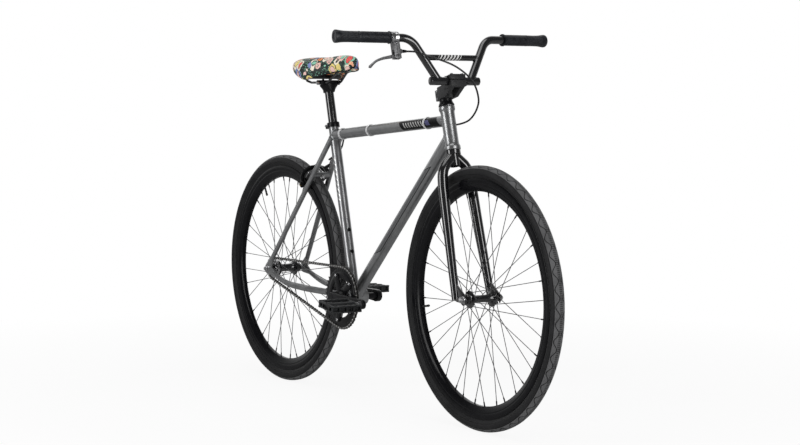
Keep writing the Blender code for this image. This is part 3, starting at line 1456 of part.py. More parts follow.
# Saddle stations from back to front, as shares of its length, half width and height above
# the rails: place, half width, top, edge
SADDLE_STATIONS = (
    (0.000, 0.604, 0.828, 0.536),
    (0.015, 0.765, 0.904, 0.422),
    (0.066, 0.926, 0.936, 0.321),
    (0.158, 1.000, 0.943, 0.206),
    (0.290, 0.993, 0.936, 0.092),
    (0.382, 0.872, 0.930, 0.130),
    (0.526, 0.644, 0.936, 0.295),
    (0.673, 0.443, 0.974, 0.435),
    (0.783, 0.342, 1.000, 0.460),
    (0.893, 0.289, 0.993, 0.448),
    (0.967, 0.242, 0.943, 0.473),
    (1.000, 0.148, 0.841, 0.524),
)
SADDLE_ARC_POINTS = 14
SADDLE_RECESS = 0.007
SADDLE_RECESS_SHARE = 0.84
SADDLE_BASE_THICKNESS = 0.0035


def saddle_shell():
    """The cushion with its crown and drawn-in sides, and the base shell in its recess."""
    last = len(SADDLE_STATIONS) - 1
    pad_sections, base_sections = [], []
    rail_height = POST_TOP.z + RAIL_ABOVE_POST
    back_end = POST_TOP.x - SADDLE_BACK_BEHIND_POST
    for i, (place, width_share, top_share, edge_share) in enumerate(SADDLE_STATIONS):
        x = back_end + place * SADDLE_LENGTH
        half = width_share * SADDLE_HALF_WIDTH
        top = rail_height + top_share * SADDLE_TOP_ABOVE_RAILS
        edge = rail_height + edge_share * SADDLE_TOP_ABOVE_RAILS
        recess = SADDLE_RECESS if 0 < i < last else 0.0004
        widest = edge + (top - edge) * 0.42
        arc_points = []
        for k in range(SADDLE_ARC_POINTS + 1):
            angle = radians(-55) + radians(290) * k / SADDLE_ARC_POINTS
            c, s = cos(angle), sin(angle)
            rise = top - widest if s > 0 else (widest - edge) / sin(radians(55))
            y = half * (abs(c) ** 0.75) * (1 if c > 0 else -1)
            if s < 0:
                y = half * (1 if c > 0 else -1) * (1 - 0.16 * (s / sin(radians(55))) ** 2)
            arc_points.append(Vector((x, y, widest + rise * (abs(s) ** 0.8) * (1 if s > 0 else -1))))
        inner = half * SADDLE_RECESS_SHARE - 0.004
        under = [
            Vector((x, -inner, edge + 0.0001)),
            Vector((x, -inner, edge + recess)),
            Vector((x, inner, edge + recess)),
            Vector((x, inner, edge + 0.0001)),
        ]
        pad_sections.append(arc_points + under)
        if 0 < i < last:
            high = edge + recess - GAP
            low = high - SADDLE_BASE_THICKNESS
            width = inner - GAP
            base_sections.append(
                [
                    Vector((x, -width, low)),
                    Vector((x, -width, high)),
                    Vector((x, width, high)),
                    Vector((x, width, low)),
                ]
            )
    pad, base = bmesh.new(), bmesh.new()
    loft(pad, pad_sections)
    loft(base, base_sections)
    return pad, base


# Crank, chain and pedals


def pitch_radius(teeth):
    return CHAIN_PITCH / (2 * sin(pi / teeth))


def sprocket_outline(teeth):
    """Two points a tooth: a valley and a tip."""
    middle = pitch_radius(teeth)
    points = []
    for i in range(teeth):
        start = 2 * pi * i / teeth
        for share, radius in ((0, middle - TOOTH_HEIGHT * 0.9), (0.5, middle + TOOTH_HEIGHT)):
            angle = start + share * 2 * pi / teeth
            points.append((radius * cos(angle), radius * sin(angle)))
    return points


def crank_parts():
    crank_axis = add_empty("crank_axis", BRACKET)
    frame = side_frame(BRACKET)
    low = CHAIN_LINE - SPROCKET_THICKNESS / 2
    high = CHAIN_LINE + SPROCKET_THICKNESS / 2
    ring = add_piece(
        "chainring",
        plate_mesh(sprocket_outline(CHAINRING_TEETH), low, high, frame),
        "black_metal",
        crank_axis,
    )
    opening = rod_mesh(
        BRACKET - Y * (low - 0.01), BRACKET - Y * (high + 0.01), CHAINRING_INNER_RADIUS, 20
    )
    cut(ring, add_guide("chainring_opening", opening, crank_axis))

    spindle_end = CRANK_OUTSIDE - 0.006
    spindle = rod_mesh(BRACKET - Y * spindle_end, BRACKET + Y * spindle_end, SPINDLE_RADIUS, 16)
    add_piece("crank_spindle", spindle, "steel", crank_axis)
    socket = rod_mesh(
        BRACKET - Y * (spindle_end + GAP), BRACKET + Y * (spindle_end + GAP), SPINDLE_RADIUS + GAP, 16
    )
    socket_cutter = add_guide("crank_spindle_outside", socket, crank_axis)
    for name, side in (("right", -1), ("left", 1)):
        crank_arm(name, side, crank_axis, frame, high, socket_cutter)


def crank_direction(side):
    """From the bottom bracket to a pedal, as (forward, up)."""
    return (-side * cos(CRANK_ANGLE), -side * sin(CRANK_ANGLE))


def pedal_centre(side):
    forward, up = crank_direction(side)
    return BRACKET + Vector((forward, 0, up)) * CRANK_LENGTH + Y * side * PEDAL_CENTRE


def crank_arm(name, side, crank_axis, frame, ring_outside, socket_cutter):
    forward, up = crank_direction(side)
    eye = (forward * CRANK_LENGTH, up * CRANK_LENGTH)
    outline = link_outline((0, 0), CRANK_BOSS_RADIUS, eye, CRANK_END_RADIUS)
    low, high = sorted((-side * (CRANK_OUTSIDE - CRANK_THICKNESS), -side * CRANK_OUTSIDE))
    arm = add_piece(
        f"crank_arm_{name}", plate_mesh(outline, low, high, frame), "black_paint", crank_axis
    )
    boss_start = ring_outside + GAP if side < 0 else SHELL_WIDTH / 2 + 0.012
    boss = rod_mesh(
        BRACKET + Y * side * boss_start,
        BRACKET + Y * side * (CRANK_OUTSIDE - CRANK_THICKNESS / 2),
        CRANK_BOSS_RADIUS - 0.0015,
        SMALL_SIDES,
    )
    fuse(arm, add_guide(f"crank_boss_{name}", boss, crank_axis))
    if side < 0:
        fuse(arm, add_guide("crank_spider", spider(frame, boss_start), crank_axis))
    cut(arm, socket_cutter)
    eye_point = BRACKET + Vector((eye[0], 0, eye[1]))
    axle_end = PEDAL_CENTRE + PEDAL_WIDTH / 2 - PEDAL_FRAME
    axle = rod_mesh(
        eye_point + Y * side * (CRANK_OUTSIDE - CRANK_THICKNESS / 2),
        eye_point + Y * side * axle_end,
        PEDAL_AXLE_RADIUS,
        8,
    )
    collar = rod_mesh(
        eye_point + Y * side * (CRANK_OUTSIDE - CRANK_THICKNESS / 2),
        eye_point + Y * side * (PEDAL_CENTRE - PEDAL_WIDTH / 2 - 2 * GAP),
        PEDAL_AXLE_RADIUS + 0.0025,
        8,
    )
    fuse(
        arm,
        add_guide(f"pedal_axle_{name}", axle, crank_axis),
        add_guide(f"pedal_axle_collar_{name}", collar, crank_axis),
    )


def spider(frame, start):
    """Arms from the crank's boss out to the chainring, joined in a star."""
    points = []
    half = SPIDER_ARM_WIDTH / 2
    root = CRANK_BOSS_RADIUS + 0.008
    for i in range(SPIDER_ARMS):
        angle = SPIDER_FIRST_ANGLE + 2 * pi * i / SPIDER_ARMS
        c, s = cos(angle), sin(angle)
        corners = ((root, -half), (SPIDER_RADIUS, -half), (SPIDER_RADIUS, half), (root, half))
        for along, across in corners:
            points.append((along * c - across * s, along * s + across * c))
    return plate_mesh(points, start, start + SPIDER_THICKNESS, frame)


def pedals():
    for name, side, tilt in (("right", -1, RIGHT_PEDAL_TILT), ("left", 1, 0)):
        centre = pedal_centre(side)
        pedal_axis = add_empty(f"pedal_axis_{name}", centre, Matrix.Rotation(tilt, 3, "Y"))
        half_length, half_width, half_height = PEDAL_LENGTH / 2, PEDAL_WIDTH / 2, PEDAL_HEIGHT / 2
        corner = (half_length, half_width, half_height)
        body = box_mesh([-size for size in corner], corner)
        bmesh.ops.bevel(
            body,
            geom=[e for e in body.edges if abs(e.verts[0].co.z - e.verts[1].co.z) > half_height],
            offset=0.010,
            segments=2,
            profile=0.5,
            affect="EDGES",
            material=-1,
        )
        pedal = add_piece(f"pedal_{name}", body, "plastic", pedal_axis, local=True)
        windows = bmesh.new()
        barrel = 0.011
        window_low = barrel
        window_high = half_length - PEDAL_FRAME
        for forward in (-1, 1):
            for across in (-1, 1):
                near, far = sorted((forward * window_low, forward * window_high))
                sides = (across * PEDAL_FRAME / 2, across * (half_width - PEDAL_FRAME))
                inner, outer = sorted(sides)
                box(windows, (near, inner, -PEDAL_HEIGHT), (far, outer, PEDAL_HEIGHT))
        bore_end = side * (half_width - PEDAL_FRAME + GAP)
        bore_start = -side * (half_width + PEDAL_FRAME)
        bore_radius = running_bore(PEDAL_AXLE_RADIUS, 8)
        bore = rod_mesh(Y * bore_start, Y * bore_end, bore_radius, 8)
        cut(
            pedal,
            add_guide(f"pedal_windows_{name}", windows, pedal_axis, local=True),
            add_guide(f"pedal_bore_{name}", bore, pedal_axis, local=True),
        )


def rear_cog():
    cog_axis = add_empty("rear_wheel_axis", REAR_AXLE)
    frame = side_frame(REAR_AXLE)
    low = CHAIN_LINE - SPROCKET_THICKNESS / 2
    high = CHAIN_LINE + SPROCKET_THICKNESS / 2
    cog = add_piece(
        "rear_cog", plate_mesh(sprocket_outline(COG_TEETH), low, high, frame), "silver", cog_axis
    )
    body_start = REAR_FLANGE + FLANGE_THICKNESS / 2 + 0.0025
    body_end = freewheel_end()
    body = rod_mesh(
        REAR_AXLE - Y * body_start, REAR_AXLE - Y * body_end, FREEWHEEL_BODY_RADIUS, TUBE_SIDES
    )
    bore = rod_mesh(
        REAR_AXLE - Y * (body_start - FLANGE_THICKNESS),
        REAR_AXLE - Y * (body_end + FLANGE_THICKNESS),
        running_bore(FREEWHEEL_CORE_RADIUS, TUBE_SIDES),
        TUBE_SIDES,
    )
    fuse(cog, add_guide("freewheel_body", body, cog_axis))
    cut(cog, add_guide("freewheel_bore", bore, cog_axis))


def freewheel_end():
    return CHAIN_LINE + SPROCKET_THICKNESS / 2 + 0.003


def chain():
    """Two plates that run round both sprockets, with rollers along the straight runs."""
    big, small = pitch_radius(CHAINRING_TEETH), pitch_radius(COG_TEETH)
    apart = REAR_AXLE - BRACKET
    distance = sqrt(apart.x**2 + apart.z**2)
    facing = atan2(apart.z, apart.x)
    lean = acos((big - small) / distance)
    frame = side_frame(BRACKET)
    cog_centre = (apart.x, apart.z)

    def loop(offset):
        around_big = arc((0, 0), big + offset, facing + lean, facing + 2 * pi - lean, 16)
        around_small = arc(cog_centre, small + offset, facing - lean, facing + lean, 8)
        return around_big + around_small

    half_height = CHAIN_PLATE_HEIGHT / 2
    bm = bmesh.new()
    for side in (-1, 1):
        middle = CHAIN_LINE + side * (CHAIN_INNER_WIDTH + CHAIN_PLATE_THICKNESS) / 2
        low = middle - CHAIN_PLATE_THICKNESS / 2
        outer, inner = loop(half_height), loop(-half_height)
        count = len(outer)
        rings = []
        for outline, depth in (
            (outer, low),
            (outer, low + CHAIN_PLATE_THICKNESS),
            (inner, low + CHAIN_PLATE_THICKNESS),
            (inner, low),
        ):
            rings.append([bm.verts.new(frame @ Vector((u, v, depth))) for u, v in outline])
        for ring, following in zip(rings, rings[1:] + rings[:1]):
            for i in range(count):
                j = (i + 1) % count
                bm.faces.new((ring[i], ring[j], following[j], following[i]))
    piece = add_piece("chain", bm, "steel")

    rollers = bmesh.new()
    run = sqrt(distance**2 - (big - small) ** 2)
    roller_radius = 0.0036
    clear_of_ring = 0.040
    clear_of_cog = 0.026
    reach = (CHAIN_INNER_WIDTH + CHAIN_PLATE_THICKNESS) / 2
    for side in (-1, 1):
        normal = facing + side * lean
        start = Vector((big * cos(normal), big * sin(normal), 0))
        end = Vector((*cog_centre, 0)) + Vector((small * cos(normal), small * sin(normal), 0))
        along = (end - start).normalized()
        place = clear_of_ring
        while place < run - clear_of_cog:
            spot = frame @ (start + along * place)
            rod(
                rollers,
                spot - Y * (CHAIN_LINE - reach),
                spot - Y * (CHAIN_LINE + reach),
                roller_radius,
                6,
            )
            place += 3 * CHAIN_PITCH
    fuse(piece, add_guide("chain_rollers", rollers))


# Rear caliper


# Where the cable pulls on the arms, to the left of the pivot and above it. The arm of the right
# pad crosses over the pivot to the lower lug, so the cable closes the pads as it draws both together
UPPER_LUG = (0.038, 0.010)
LOWER_LUG = (0.047, -0.016)


def caliper_pivot():
    bridge = REAR_AXLE + stay_along() * BRIDGE_DISTANCE
    return bridge + stay_behind() * CALIPER_BEHIND


def caliper():
    along, behind = stay_along(), stay_behind()
    bridge = REAR_AXLE + along * BRIDGE_DISTANCE
    turned_axes = Matrix((Y, along, -behind)).transposed()
    pivot = caliper_pivot()
    pivot_frame = Matrix.Translation(pivot) @ turned_axes.to_4x4()

    bolt = [
        (0, -BRIDGE_RADIUS - 0.010),
        (CALIPER_BOLT_RADIUS, -BRIDGE_RADIUS - 0.010),
        (CALIPER_BOLT_RADIUS, -BRIDGE_RADIUS - 0.006),
        (0.0065, -BRIDGE_RADIUS - 0.006),
        (0.0065, -BRIDGE_RADIUS - GAP),
        (CALIPER_BOLT_RADIUS, -BRIDGE_RADIUS - GAP),
        (CALIPER_BOLT_RADIUS, BRIDGE_RADIUS + GAP),
        (0.007, BRIDGE_RADIUS + GAP),
        (0.007, CALIPER_BEHIND - CALIPER_ARM_THICKNESS - CALIPER_ARM_GAP / 2 - GAP),
        (CALIPER_BOLT_RADIUS, CALIPER_BEHIND - CALIPER_ARM_THICKNESS - CALIPER_ARM_GAP / 2 - GAP),
        (CALIPER_BOLT_RADIUS, CALIPER_BEHIND + CALIPER_ARM_THICKNESS + CALIPER_ARM_GAP / 2 + GAP),
        (0.0055, CALIPER_BEHIND + CALIPER_ARM_THICKNESS + CALIPER_ARM_GAP / 2 + GAP),
        (0.0055, CALIPER_BEHIND + CALIPER_ARM_THICKNESS + 0.006),
        (0, CALIPER_BEHIND + CALIPER_ARM_THICKNESS + 0.006),
    ]
    bolt_mesh = turned(bolt, 8, bridge, behind, closed=False, reference=Y)
    add_piece("caliper_bolt", bolt_mesh, "steel")

    drop = BRIDGE_DISTANCE - sqrt(PAD_CIRCLE**2 - CALIPER_BEHIND**2)
    half_gap = CALIPER_ARM_GAP / 2
    for name, side in (("right", -1), ("left", 1)):
        axis = add_empty(f"caliper_axis_{name}", pivot, turned_axes)
        centre_line = [
            (side * 0.0305, -drop - 0.004),
            (side * 0.0308, -drop + 0.0075),
            (side * 0.0385, -0.036),
            (side * 0.0375, -0.018),
            (side * 0.0225, -0.003),
            (0, 0),
        ]
        widths = [0.0042, 0.0045, 0.0055, 0.0065, 0.007, 0.008]
        if side < 0:
            centre_line += [(0.022, -0.0045), (0.043, -0.014)]
            widths += [0.0065, 0.0055]
        else:
            centre_line += [(-0.006, 0.001)]
            widths += [0.005]
        layer = (-CALIPER_ARM_THICKNESS - half_gap, -half_gap)
        if side > 0:
            layer = (half_gap, CALIPER_ARM_THICKNESS + half_gap)
        arm_mesh = ribbon_mesh(centre_line, widths, *layer)
        bmesh.ops.triangulate(arm_mesh, faces=arm_mesh.faces)
        arm = add_piece(f"caliper_arm_{name}", arm_mesh, "black_metal", axis, local=True)
        shoe_inner = (side * SHOE_INSIDE, -drop - SHOE_HALF_LENGTH, -SHOE_HALF_DEPTH)
        shoe_outer = (side * SHOE_OUTSIDE, -drop + SHOE_HALF_LENGTH, SHOE_HALF_DEPTH)
        shoe = box_mesh(*ordered(shoe_inner, shoe_outer))
        bmesh.ops.triangulate(shoe, faces=shoe.faces)
        fuse(arm, add_guide(f"caliper_shoe_{name}", shoe, axis, local=True))
        lug_place = LOWER_LUG if side < 0 else UPPER_LUG
        lug_root = (0.038, -0.0125) if side < 0 else (0.024, -0.001)
        inset = 0.0004
        lug_layer = (layer[0] + inset, layer[1] - inset)
        lug_outline = link_outline(lug_root, 0.0055, lug_place, 0.0058, 5)
        lug = plate_mesh(lug_outline, *lug_layer, Matrix.Identity(4))
        fuse(arm, add_guide(f"caliper_lug_{name}", lug, axis, local=True))
        pivot_hole = rod_mesh(Z * -0.02, Z * 0.02, CALIPER_BOLT_RADIUS + GAP, 8, reference=X)
        stud_hole = rod_mesh(
            Vector((side * (SHOE_INSIDE - SHOE_HALF_DEPTH), -drop, 0)),
            Vector((side * (SHOE_OUTSIDE + 2 * SHOE_HALF_DEPTH), -drop, 0)),
            PAD_STUD_RADIUS + GAP,
            8,
            reference=STUD_FACING,
        )
        cut(
            arm,
            add_guide(f"caliper_pivot_hole_{name}", pivot_hole, axis, local=True),
            add_guide(f"caliper_stud_hole_{name}", stud_hole, axis, local=True),
        )
        brake_pad(name, side, axis, drop)


def ordered(a, b):
    """The low and high corners of a box given by any two opposite ones."""
    return [tuple(min(pair) for pair in zip(a, b)), tuple(max(pair) for pair in zip(a, b))]


def brake_pad(name, side, axis, drop):
    inner = RIM_HALF_WIDTH + PAD_CLEARANCE
    outer = inner + PAD_THICKNESS
    lean = atan2(CALIPER_BEHIND, BRIDGE_DISTANCE - drop)
    frame = Matrix.Translation((0, -drop, 0)) @ Matrix.Rotation(-lean, 4, "X")
    low, high = ordered(
        (side * inner, -PAD_HEIGHT / 2, -PAD_LENGTH / 2),
        (side * outer, PAD_HEIGHT / 2, PAD_LENGTH / 2),
    )
    pad = add_piece(f"brake_pad_{name}", box_mesh(low, high, frame), "rubber", axis, local=True)
    stud = rod_mesh(
        Vector((side * (outer - 0.002), -drop, 0)),
        Vector((side * (PAD_NUT_END + 0.0008), -drop, 0)),
        PAD_STUD_RADIUS,
        8,
        reference=STUD_FACING,
    )
    nut = rod_mesh(
        Vector((side * (SHOE_OUTSIDE + 0.001), -drop, 0)),
        Vector((side * PAD_NUT_END, -drop, 0)),
        PAD_NUT_RADIUS,
        6,
    )
    fuse(
        pad,
        add_guide(f"brake_pad_stud_{name}", stud, axis, local=True),
        add_guide(f"brake_pad_nut_{name}", nut, axis, local=True),
    )


# Brake cable


def top_tube_point(ahead):
    """The point of the top tube's middle line that lies so far ahead of its rear end."""
    return TOP_TUBE_REAR.lerp(TOP_TUBE_FRONT, ahead / top_tube_reach())


def beside_top_tube(ahead):
    """Where the cable lies against the top tube's lower left side."""
    along = (TOP_TUBE_FRONT - TOP_TUBE_REAR).normalized()
    up = along.cross(Y) * -1
    distance = TOP_TUBE_RADIUS + CLIP_THICKNESS + 3 * GAP + CABLE_RADIUS
    return top_tube_point(ahead) + (Y * cos(CLIP_ANGLE) + up * sin(CLIP_ANGLE)) * distance


def top_tube_reach():
    """How far the top tube's front end is ahead of its rear end."""
    return TOP_TUBE_FRONT.x - TOP_TUBE_REAR.x


def clip_places():
    """Each clip's place, ahead of the top tube's rear end."""
    return (
        top_tube_reach() - FRONT_CLIP_BEHIND_HEAD,
        top_tube_reach() * MIDDLE_CLIP_SHARE,
        REAR_CLIP_AHEAD_OF_SEAT,
    )


# The cable's points, measured from the head tube's bottom as far as the top tube, then from the
# top tube's rear end, and last from the caliper's pivot
FRONT_CABLE_POINTS = (
    Vector((-0.0092, -0.1347, 0.2616)),
    Vector((0.0033, -0.1190, 0.2586)),
    Vector((0.0133, -0.0960, 0.2506)),
    Vector((0.0198, -0.0600, 0.2401)),
    Vector((0.0278, -0.0227, 0.2266)),
    Vector((0.0348, 0.0000, 0.2132)),
    Vector((0.0398, 0.0230, 0.1946)),
    Vector((0.0378, 0.0440, 0.1716)),
    Vector((0.0298, 0.0600, 0.1446)),
    Vector((0.0198, 0.0680, 0.1246)),
    Vector((0.0048, 0.0670, 0.0986)),
    Vector((-0.0102, 0.0580, 0.0792)),
    Vector((-0.0272, 0.0430, 0.0696)),
    Vector((-0.0497, 0.0303, 0.0656)),
)
CABLE_POINTS_BEFORE_TUBE = (
    Vector((-0.0502, 0.0300, 0.0656)),
    Vector((-0.0722, 0.0220, 0.0646)),
)
CABLE_POINTS_AT_SEAT_TUBE = (
    Vector((0.0209, 0.0190, -0.0114)),
    Vector((0.0154, 0.0200, -0.0214)),
    Vector((0.0089, 0.0195, -0.0354)),
    Vector((-0.0016, 0.0150, -0.0504)),
)
CABLE_POINTS_AT_CALIPER = (
    Vector((0.0896, 0.0080, 0.0373)),
    Vector((0.0736, 0.0045, 0.0298)),
    Vector((0.0565, 0.0090, 0.0258)),
    Vector((0.0421, 0.0190, 0.0252)),
    Vector((0.0306, 0.0300, 0.0238)),
    Vector((0.0197, 0.0365, 0.0188)),
    Vector((0.0123, 0.0380, 0.0115)),
)


def rear_cable_route():
    front, middle, rear = clip_places()
    first = top_tube_reach() - CABLE_LEAVES_TUBE_BEHIND_HEAD
    final = CABLE_LEAVES_TUBE_AHEAD_OF_SEAT
    run = [
        first,
        (first + front) / 2,
        front - 2 * CLIP_WIDTH,
        (front + middle) / 2,
        middle,
        (2 * middle + rear) / 3,
        rear + 2 * CLIP_WIDTH,
        rear - 2 * CLIP_WIDTH,
        final,
    ]
    return [
        *[HEAD_BOTTOM + point for point in CABLE_POINTS_BEFORE_TUBE],
        *[beside_top_tube(ahead) for ahead in run],
        *[TOP_TUBE_REAR + point for point in CABLE_POINTS_AT_SEAT_TUBE],
        *[caliper_pivot() + point for point in CABLE_POINTS_AT_CALIPER],
    ]


def cable_tube(points, radius):
    return tube_mesh(points, [radius] * len(points), 6)


def brake_cable():
    rear = smooth_route(rear_cable_route(), CABLE_POINT_SPACING)
    add_piece("brake_cable_rear", cable_tube(rear, CABLE_RADIUS), "cable")
    front_route = [HEAD_BOTTOM + point for point in FRONT_CABLE_POINTS]
    front = smooth_route(front_route, CABLE_POINT_SPACING)
    add_piece("brake_cable_front", cable_tube(front, CABLE_RADIUS), "cable")
    half = (TOP_TUBE_FRONT - TOP_TUBE_REAR).normalized() * CLIP_WIDTH / 2
    for name, ahead in zip(("front", "middle", "rear"), clip_places()):
        tube_middle = top_tube_point(ahead)
        cable_middle = beside_top_tube(ahead)
        band = pipe_mesh(
            tube_middle - half,
            tube_middle + half,
            TOP_TUBE_RADIUS + GAP + CLIP_THICKNESS,
            CLIP_THICKNESS,
            reference=TOP_TUBE_FACING,
        )
        loop = pipe_mesh(
            cable_middle - half * 0.8,
            cable_middle + half * 0.8,
            CABLE_RADIUS + 2 * GAP + CLIP_THICKNESS,
            CLIP_THICKNESS,
            8,
            reference=tube_middle - cable_middle,
        )
        clip = add_piece(f"cable_clip_{name}", band, "silver")
        fuse(clip, add_guide(f"cable_clip_loop_{name}", loop))


def build():
    clear_scene()
    top_cutter, seat_cutter, shell_cutter = main_tubes()
    frame_bearings()
    rear_triangle(top_cutter, seat_cutter, shell_cutter)
    axle_piece("rear_axle", REAR_AXLE, REAR_AXLE_RADIUS, REAR_DROPOUT_INSIDE,
               freewheel_end(), HUB_HALF_WIDTH)
    chain()
    rear_cog()
    crank_parts()
    pedals()
    caliper()
    brake_cable()
    saddle_parts()

    steering_axes = Matrix((HEAD_FORWARD, Y, HEAD_UP)).transposed()
    steering = add_empty("steering_axis", HEAD_BOTTOM, steering_axes)
    steering_parts(steering)
    brake_lever(steering)
    axle_piece("front_axle", FRONT_AXLE, FRONT_AXLE_RADIUS, FORK_DROPOUT_INSIDE,
               HUB_HALF_WIDTH, HUB_HALF_WIDTH)
    wheel("front", FRONT_AXLE, FRONT_VALVE_ANGLE, FRONT_FLANGE, FRONT_BARREL_RADIUS,
          FRONT_AXLE_RADIUS, HUB_HALF_WIDTH, HUB_HALF_WIDTH)
    wheel("rear", REAR_AXLE, REAR_VALVE_ANGLE, REAR_FLANGE, REAR_BARREL_RADIUS,
          REAR_AXLE_RADIUS, freewheel_end(), HUB_HALF_WIDTH, FREEWHEEL_CORE_RADIUS)


build()
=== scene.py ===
# %% [markdown]
# # A city bike, dressed for its photograph
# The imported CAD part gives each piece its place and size. This file loads it as a fixed frame and
# builds the finely made pieces that are seen: painted tubes with their welds, laced wheels, a
# printed saddle. Each new piece rides on the CAD body that moves it.

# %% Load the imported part
from math import acos, atan2, cos, pi, radians, sin, sqrt, tan

import bmesh
import bpy
from mathutils import Matrix, Quaternion, Vector


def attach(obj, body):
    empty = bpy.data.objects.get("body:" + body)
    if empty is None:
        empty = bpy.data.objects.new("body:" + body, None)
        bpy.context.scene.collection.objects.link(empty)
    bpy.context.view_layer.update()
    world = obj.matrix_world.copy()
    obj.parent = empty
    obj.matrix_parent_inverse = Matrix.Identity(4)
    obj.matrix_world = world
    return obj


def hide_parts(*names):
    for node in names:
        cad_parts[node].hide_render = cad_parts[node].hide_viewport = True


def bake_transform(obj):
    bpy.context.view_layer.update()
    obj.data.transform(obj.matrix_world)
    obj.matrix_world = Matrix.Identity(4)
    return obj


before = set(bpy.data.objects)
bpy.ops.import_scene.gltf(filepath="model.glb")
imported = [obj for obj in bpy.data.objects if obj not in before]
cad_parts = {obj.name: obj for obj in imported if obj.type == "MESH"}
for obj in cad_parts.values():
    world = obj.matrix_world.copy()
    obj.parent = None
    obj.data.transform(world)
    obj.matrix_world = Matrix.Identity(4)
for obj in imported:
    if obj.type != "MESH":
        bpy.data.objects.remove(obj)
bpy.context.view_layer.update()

# %% [markdown]
# The camera comes first, so that each piece can be looked at from the photograph's side as it is
# made. The picture is 800 pixels wide, and a long lens from about five metres gives its flat look.
# A heading, a small pitch and a hair of roll turn the camera, and the lens follows from the
# width of the picture in pixels.

# %% Camera
CAMERA_PLACE = Vector((4.493, -2.746, 0.865))
HEADING, PITCH, ROLL = radians(147.804), radians(-3.76), radians(0.152)
SENSOR_WIDTH, PICTURE_WIDTH, FOCAL_PIXELS = 36, 800, 1850.5

ahead = Vector((cos(PITCH) * cos(HEADING), cos(PITCH) * sin(HEADING), sin(PITCH)))
level_right = Vector((sin(HEADING), -cos(HEADING), 0))
level_up = level_right.cross(ahead)
right = level_right * cos(ROLL) + level_up * sin(ROLL)
up = level_up * cos(ROLL) - level_right * sin(ROLL)
camera_data = bpy.data.cameras.new("photo_camera")
camera_data.sensor_width = SENSOR_WIDTH
camera_data.lens = FOCAL_PIXELS * SENSOR_WIDTH / PICTURE_WIDTH
camera = bpy.data.objects.new("photo_camera", camera_data)
bpy.context.scene.collection.objects.link(camera)
camera.matrix_world = Matrix.Translation(CAMERA_PLACE) @ Matrix((right, up, -ahead)).transposed().to_4x4()
bpy.context.scene.camera = camera
print("lens in mm:", round(camera_data.lens, 2))

# %% [markdown]
# Two tall soft boxes, each about a metre wide, stand left and right of the camera. Each is
# mirrored in a round tube as one upright light line, which is what gives the paint its depth. A
# wide, weak box above lifts the tops of the tubes. The world is the studio's walls: white where
# the camera looks, and for reflections a white sweep behind the bike that falls off to a dim room
# behind the camera, so black paint stays black between its light lines.

# %% Soft boxes
def soft_box(name, place, target, width, height, radiance):
    data = bpy.data.lights.new(name, "AREA")
    data.shape = "RECTANGLE"
    data.size = width
    data.size_y = height
    data.energy = radiance * pi * width * height
    lamp = bpy.data.objects.new(name, data)
    bpy.context.scene.collection.objects.link(lamp)
    place, target = Vector(place), Vector(target)
    lamp.location = place
    lamp.rotation_mode = "QUATERNION"
    lamp.rotation_quaternion = (target - place).to_track_quat("-Z", "Y")
    print(name, "stands at", [round(x, 2) for x in place])

BOX_HEIGHT, BOX_RADIANCE = 2.6, 4.8
soft_box("box_left", (-0.35, -3.6, 1.25), (0, 0, 0.6), 1.20, BOX_HEIGHT, BOX_RADIANCE)
soft_box("box_right", (3.55, 0.15, 1.25), (0, 0, 0.6), 1.10, BOX_HEIGHT, BOX_RADIANCE)
soft_box("box_above", (0.4, -0.6, 3.4), (0, 0, 0.4), 2.2, 2.2, 1.8)

# %% A node with its inputs set
def linked(tree, kind, **inputs):
    """A new node whose inputs are given by name: a socket is linked, a number or colour is set."""
    node = tree.nodes.new(kind)
    for name, value in inputs.items():
        socket = node.inputs[int(name[1:])] if name[0] == "i" and name[1:].isdigit() else node.inputs[name]
        if isinstance(value, bpy.types.NodeSocket):
            tree.links.new(value, socket)
        else:
            socket.default_value = value
    return node

def calc(tree, operation, a, b=0.0, c=None):
    node = tree.nodes.new("ShaderNodeMath")
    node.operation = operation
    for socket, value in zip(node.inputs, (a, b, c)):
        if isinstance(value, bpy.types.NodeSocket):
            tree.links.new(value, socket)
        elif value is not None:
            socket.default_value = value
    return node.outputs[0]

def spread(tree, value, low, high, start=0.3, end=0.7):
    """A value from one range carried to another."""
    node = linked(tree, "ShaderNodeMapRange", Value=value)
    for name, number in (("From Min", start), ("From Max", end), ("To Min", low), ("To Max", high)):
        node.inputs[name].default_value = number
    return node.outputs["Result"]

def vector_calc(tree, operation, a, b=(0, 0, 0)):
    """Vector maths. A dot product or a length comes out as a number."""
    node = linked(tree, "ShaderNodeVectorMath", i0=a, i1=b)
    node.operation = operation
    return node.outputs["Value" if operation in ("DOT_PRODUCT", "LENGTH") else "Vector"]

def object_place(tree):
    return tree.nodes.new("ShaderNodeTexCoord").outputs["Object"]

def noise(tree, place, scale, detail):
    return linked(tree, "ShaderNodeTexNoise", Vector=place, Scale=scale, Detail=detail).outputs["Fac"]

# %% World
ROOM_LIGHT = 0.36
world = bpy.data.worlds.new("studio")
bpy.context.scene.world = world
world.use_nodes = True
sky = world.node_tree
sky.nodes.clear()
rays = sky.nodes.new("ShaderNodeLightPath")
looking = sky.nodes.new("ShaderNodeTexCoord").outputs["Generated"]
sweep = spread(sky, vector_calc(sky, "DOT_PRODUCT", looking, tuple(ahead)), 0.10, 1.0, 0.25, 0.80)
mirrored = calc(sky, "MAXIMUM", rays.outputs["Is Glossy Ray"], rays.outputs["Is Transmission Ray"])
room, behind, white = [linked(sky, "ShaderNodeBackground", Color=(1, 1, 1, 1), Strength=strength).outputs[0]
                       for strength in (ROOM_LIGHT, sweep, 1.0)]
lit = linked(sky, "ShaderNodeMixShader", i0=mirrored, i1=room, i2=behind)
shown = linked(sky, "ShaderNodeMixShader", i0=rays.outputs["Is Camera Ray"], i1=lit.outputs[0], i2=white)
linked(sky, "ShaderNodeOutputWorld", Surface=shown.outputs[0])
bpy.context.scene.view_settings.view_transform = "Standard"
